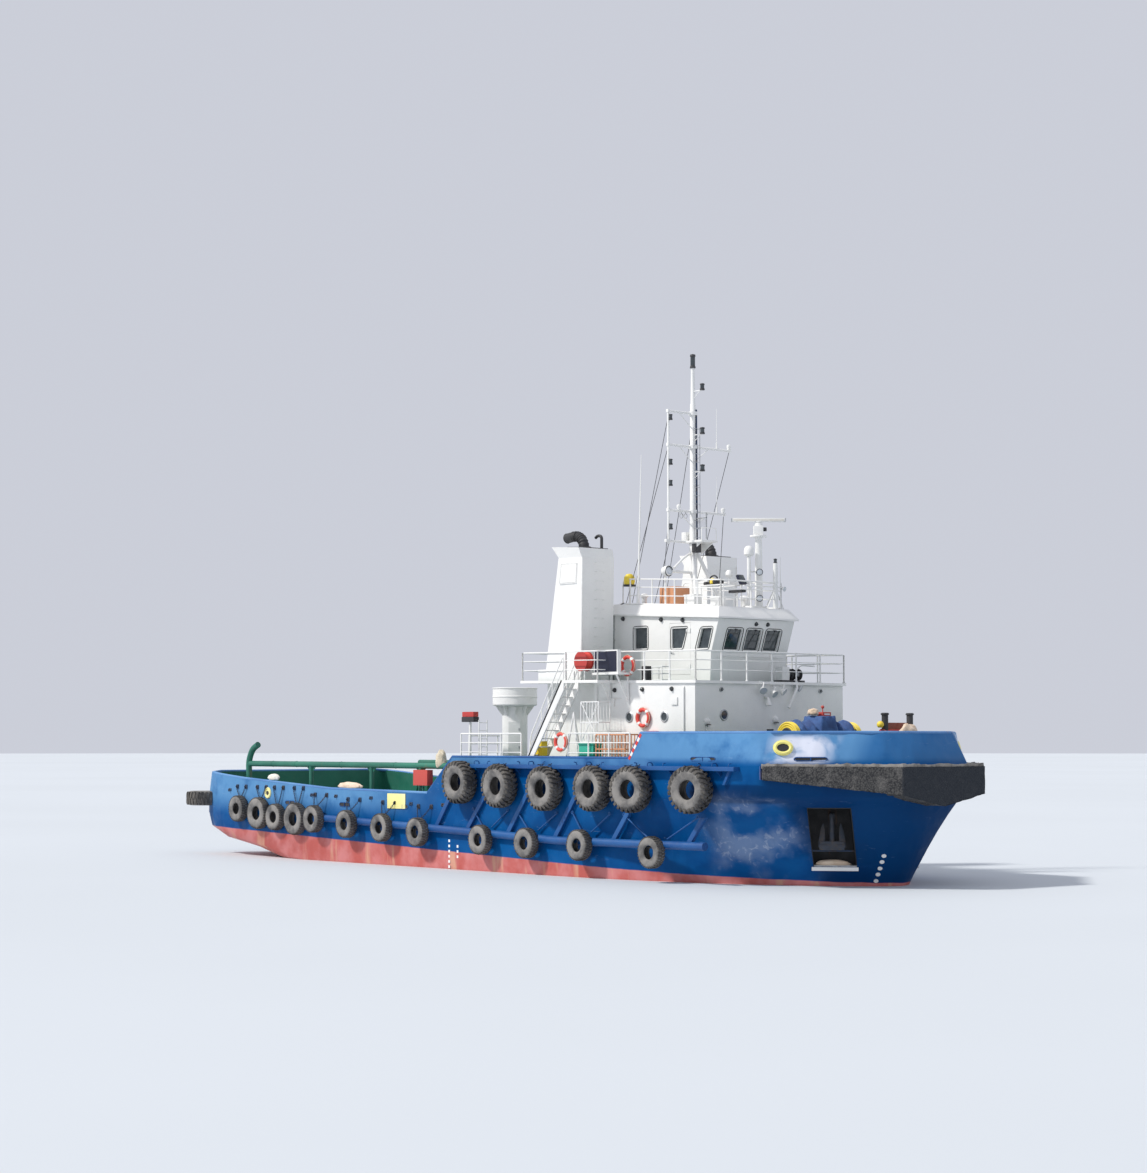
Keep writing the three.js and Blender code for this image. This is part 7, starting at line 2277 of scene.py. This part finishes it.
def buildDeckGear():
    k = gear
    g = Fittings("deck_gear")
    for centre, size in k["rings"]:
        lifeRing(g, centre, (0, -1, 0), size)
    # Fire hose on its reel, and the dark screen on a bracket, beside the stair's head
    x, y, z = k["reel"]
    for side in (-0.17, 0.15):
        g.lathe("red", drum(0.37, side, side + 0.02), 28, turnTo((0, 1, 0), (x, y, z)))
    for row in range(5):
        for ring in (0.25, 0.315):
            g.torus("orangeRed", (x, y - 0.12 + 0.058 * row, z), (0, 1, 0), ring, 0.03, 28, 6)
    for side in (-0.3, 0.3):
        g.tube("white", [(x + side, y + 0.22, boatDeckAt(x)), (x, y + 0.2, z)], 0.025, 8)
        g.tube("white", [(x + side, y - 0.22, boatDeckAt(x)), (x + side, y - 0.22, z - 0.36)], 0.025, 8)
    x0, x1, y, z0, z1 = k["screen"]
    g.block("white", (x0 - 0.12, y - 0.02, z0 - 0.09), (x1 + 0.12, -3.86, z0 - 0.01), 0.012)
    g.block("white", (x0 - 0.05, y + 0.02, z0 - 0.02), (x1 + 0.05, y + 0.2, z1 + 0.05), 0.012)
    g.block("navy", (x0, y, z0 + 0.02), (x1, y + 0.03, z1), 0.008)
    for x in (x0 + 0.1, x1 - 0.1):
        g.tube("white", [(x, y + 0.08, z0 - 0.06), (x, -3.83, 6.35)], 0.035, 8)
        g.tube("white", [(x, -3.9, z0 - 0.06), (x, -3.85, 6.35)], 0.035, 8)
    g.block("black", (7.5, -3.72, boatDeckAt(7.5) - 0.002), (7.78, -3.42, 7.72), 0.03)
    frameBox(g, "white", (8.05, -3.7, boatDeckAt(8.3)), (8.6, -3.35, 7.68), 0.016)
    g.block("white", (8.03, -3.72, 7.67), (8.62, -3.33, 7.7), 0.006)
    # Small derrick winch behind the front rail
    deck = boatDeckAt(10.1) - 0.002
    g.block("white", (9.98, 0.72, deck), (10.34, 1.1, 7.72), 0.03)
    g.block("black", (9.94, 0.66, deck), (10.38, 1.86, deck + 0.07), 0.01)
    for y in (1.24, 1.4, 1.72):
        g.lathe("black", drum(0.22, 0, 0.025), 24, turnTo((0, 1, 0), (10.16, y, 7.44)))
    g.tube("paleSteel", [(10.16, 1.08, 7.44), (10.16, 1.82, 7.44)], 0.1, 16)
    g.tube("white", rounded([(10.16, 1.6, 7.6), (10.16, 1.9, 7.8), (10.16, 2.6, 7.78)], 0.1), 0.03, 8)
    # Raised deck: lockers, a crate, a cage, a lamp box on a post and a ladder
    g.block("greenBox", *k["greenBox"], 0.02)
    low, high = k["greenBox"]
    g.block("greenBox", (low[0] - 0.02, low[1] - 0.02, high[2] - 0.05),
        (high[0] + 0.02, high[1] + 0.02, high[2] + 0.01), 0.012)
    g.block("yellow", (2.55, -4.72, raisedDeck), (3.0, -4.42, 4.98), 0.02)
    x0, x1, y0, y1, z0, z1 = k["crate"]
    frameBox(g, "orange", (x0, y0, z0), (x1, y1, z1), 0.028, 9)
    x0, x1, y0, y1, z0, z1 = k["cage"]
    frameBox(g, "white", (x0, y0, z0), (x1, y1, z1), 0.022, 6)
    for first, last in (((x0, y0, z0), (x1, y0, z1)), ((x1, y0, z0), (x0, y0, z1))):
        g.tube("white", [first, last], 0.018, 6)
    for foot in (-0.38, 0.38):
        g.tube("white", [(4.75 + foot, -4.7, 4.15), (4.75, -4.62, 6.05)], 0.03, 8)
    g.tube("white", [(4.75, -4.2, 4.15), (4.75, -4.62, 6.05)], 0.03, 8)
    x, y, z = k["lampPost"]
    g.tube("white", [(x, y, raisedDeck), (x, y, z + 0.02)], 0.05, 12)
    g.block("black", (x - 0.38, y - 0.14, z), (x + 0.38, y + 0.14, z + 0.2), 0.02)
    g.block("red", (x - 0.36, y - 0.13, z + 0.2), (x + 0.36, y + 0.13, z + 0.4), 0.03)
    rung = bmesh.new()
    tube(rung, [(0, -0.2, 0), (0, 0.2, 0)], 0.014, 6)
    for y in (-4.66, -4.26):
        g.tube("white", [(-0.86, y, raisedDeck), (-0.86, y, 5.8)], 0.022, 8)
    g.repeat("white", rung, [[(-0.86, -4.46, 4.45), (-0.86, -4.46, 5.7)]], 0.3)
    g.block("red", *k["redBox"], 0.02)
    g.tube("green", [(-4.25, -4.8, cargoDeck), (-4.25, -4.8, 3.24)], 0.05, 10)
    # Yellow line on the windlass's heads, a board between the bitts and a small float
    for side in (-1, 1):
        for row in range(3):
            for ring in (0.325, 0.405, 0.48):
                g.torus("yellow", (windlass["x"], side * (1.5 + 0.075 * row), windlass["z"]), (0, 1, 0),
                    ring, 0.04, 36, 8)
    g.block("deckRed", (16.56, -0.53, 5.39), (16.64, 0.53, 5.62), 0.012)
    dome(g.of("yellow"), (16.6, -0.875, 5.55), 0.125)
    g.block("red", (12.8, -0.02, 5.87), (13.08, 0.4, 6.02), 0.02)
    g.block("white", (12.795, 0.05, 5.92), (13.085, 0.33, 5.97), 0.004)
    g.tube("red", [(12.95, 0.1, 6.0), (12.95, 0.1, 6.18)], 0.018, 8)
    dome(g.of("red"), (12.95, 0.1, 6.2), 0.06)
    g.done()


def clothHeight(x, y):
    # What lies under the canvas: the gear case, and the flanges and barrels beside it
    dx, z = x - windlass["x"], windlass["z"]
    high = z - 0.62
    if abs(dx) < 0.455 and abs(y) < 0.365:
        high = windlass["gear"]
    for edge, radius in ((0.42, 0.54), (0.64, 0.36), (0.75, 0.52), (1.17, 0.32), (1.28, 0.54)):
        if abs(y) < edge:
            if abs(dx) < radius:
                high = max(high, z + sqrt(radius * radius - dx * dx))
            break
    if 1.26 < abs(y) < 1.45 and abs(dx) < 0.41:
        high = max(high, z + 0.17)
    return high


def buildCanvas():
    x0, x1, y0, y1 = gear["canvas"]
    across, along = 40, 86
    rows = [[clothHeight(x0 + (x1 - x0) * i / across, y0 + (y1 - y0) * j / along) for j in range(along + 1)]
        for i in range(across + 1)]
    for turn in range(4):
        # The cloth spans hollows but never sinks into what it lies on
        smooth = [row[:] for row in rows]
        for i in range(1, across):
            for j in range(1, along):
                mean = (rows[i - 1][j] + rows[i + 1][j] + rows[i][j - 1] + rows[i][j + 1]) / 4
                smooth[i][j] = max(mean, rows[i][j]) if turn < 3 else mean + 0.012
        rows = smooth
    bm = bmesh.new()
    layers = []
    for lift in (0.03, 0.03 - gear["cloth"]):
        grid = []
        for i in range(across + 1):
            line = []
            for j in range(along + 1):
                x, y = x0 + (x1 - x0) * i / across, y0 + (y1 - y0) * j / along
                crease = abs(noise.noise(Vector((x * 7, y * 6, 8))))
                fold = 0.055 * abs(noise.noise(Vector((x * 2.2, y * 3.4, 3)))) + 0.016 * crease
                line.append(bm.verts.new((x, y, max(rows[i][j], clothHeight(x, y)) + fold + lift)))
            grid.append(line)
        layers.append(grid)
    top, under = layers
    area = 0
    for i in range(across):
        for j in range(along):
            face = bm.faces.new((top[i][j], top[i + 1][j], top[i + 1][j + 1], top[i][j + 1]))
            area += face.calc_area()
            bm.faces.new((under[i][j], under[i][j + 1], under[i + 1][j + 1], under[i + 1][j]))
    rim = [(i, 0) for i in range(across)] + [(across, j) for j in range(along)]
    rim += [(i, along) for i in range(across, 0, -1)] + [(0, j) for j in range(along, 0, -1)]
    for (i, j), (m, n) in zip(rim, rim[1:] + rim[:1]):
        bm.faces.new((top[i][j], under[i][j], under[m][n], top[m][n]))
    canvas = finishPiece("windlass_canvas", bm, blueCloth, slot="blue_paint", sharp=80)
    print("canvas area", round(area, 3))


def buildSacks():
    for name, centre, half, seed, finish in (
            ("windlass_sack", (12.86, -0.3, 6.0), (0.2, 0.2, 0.15), 2, skinCloth),
            ("bow_bundle", (17.02, 0.08, 4.62), (0.26, 0.68, 1.0), 7, skinCloth),
            ("bulwark_bundle_aft", (-14.66, -4.98, 3.42), (0.42, 0.14, 0.16), 3, paleCloth),
            ("bulwark_bundle_mid", (-9.0, -4.98, 3.14), (0.85, 0.12, 0.16), 9, skinCloth),
            ("crash_rail_bundle", (-3.32, -4.62, 4.2), (0.26, 0.2, 0.44), 6, rope)):
        finishPiece(name, sackMesh(centre, half, seed), finish, slot="white_paint", sharp=80)


buildWinch()
buildTub()
buildWindlass()
buildBitts()
buildCrashRails()
buildAnchors()
buildPropulsion()
buildDeckGear()
buildCanvas()
buildSacks()
print("machinery and deck gear done")
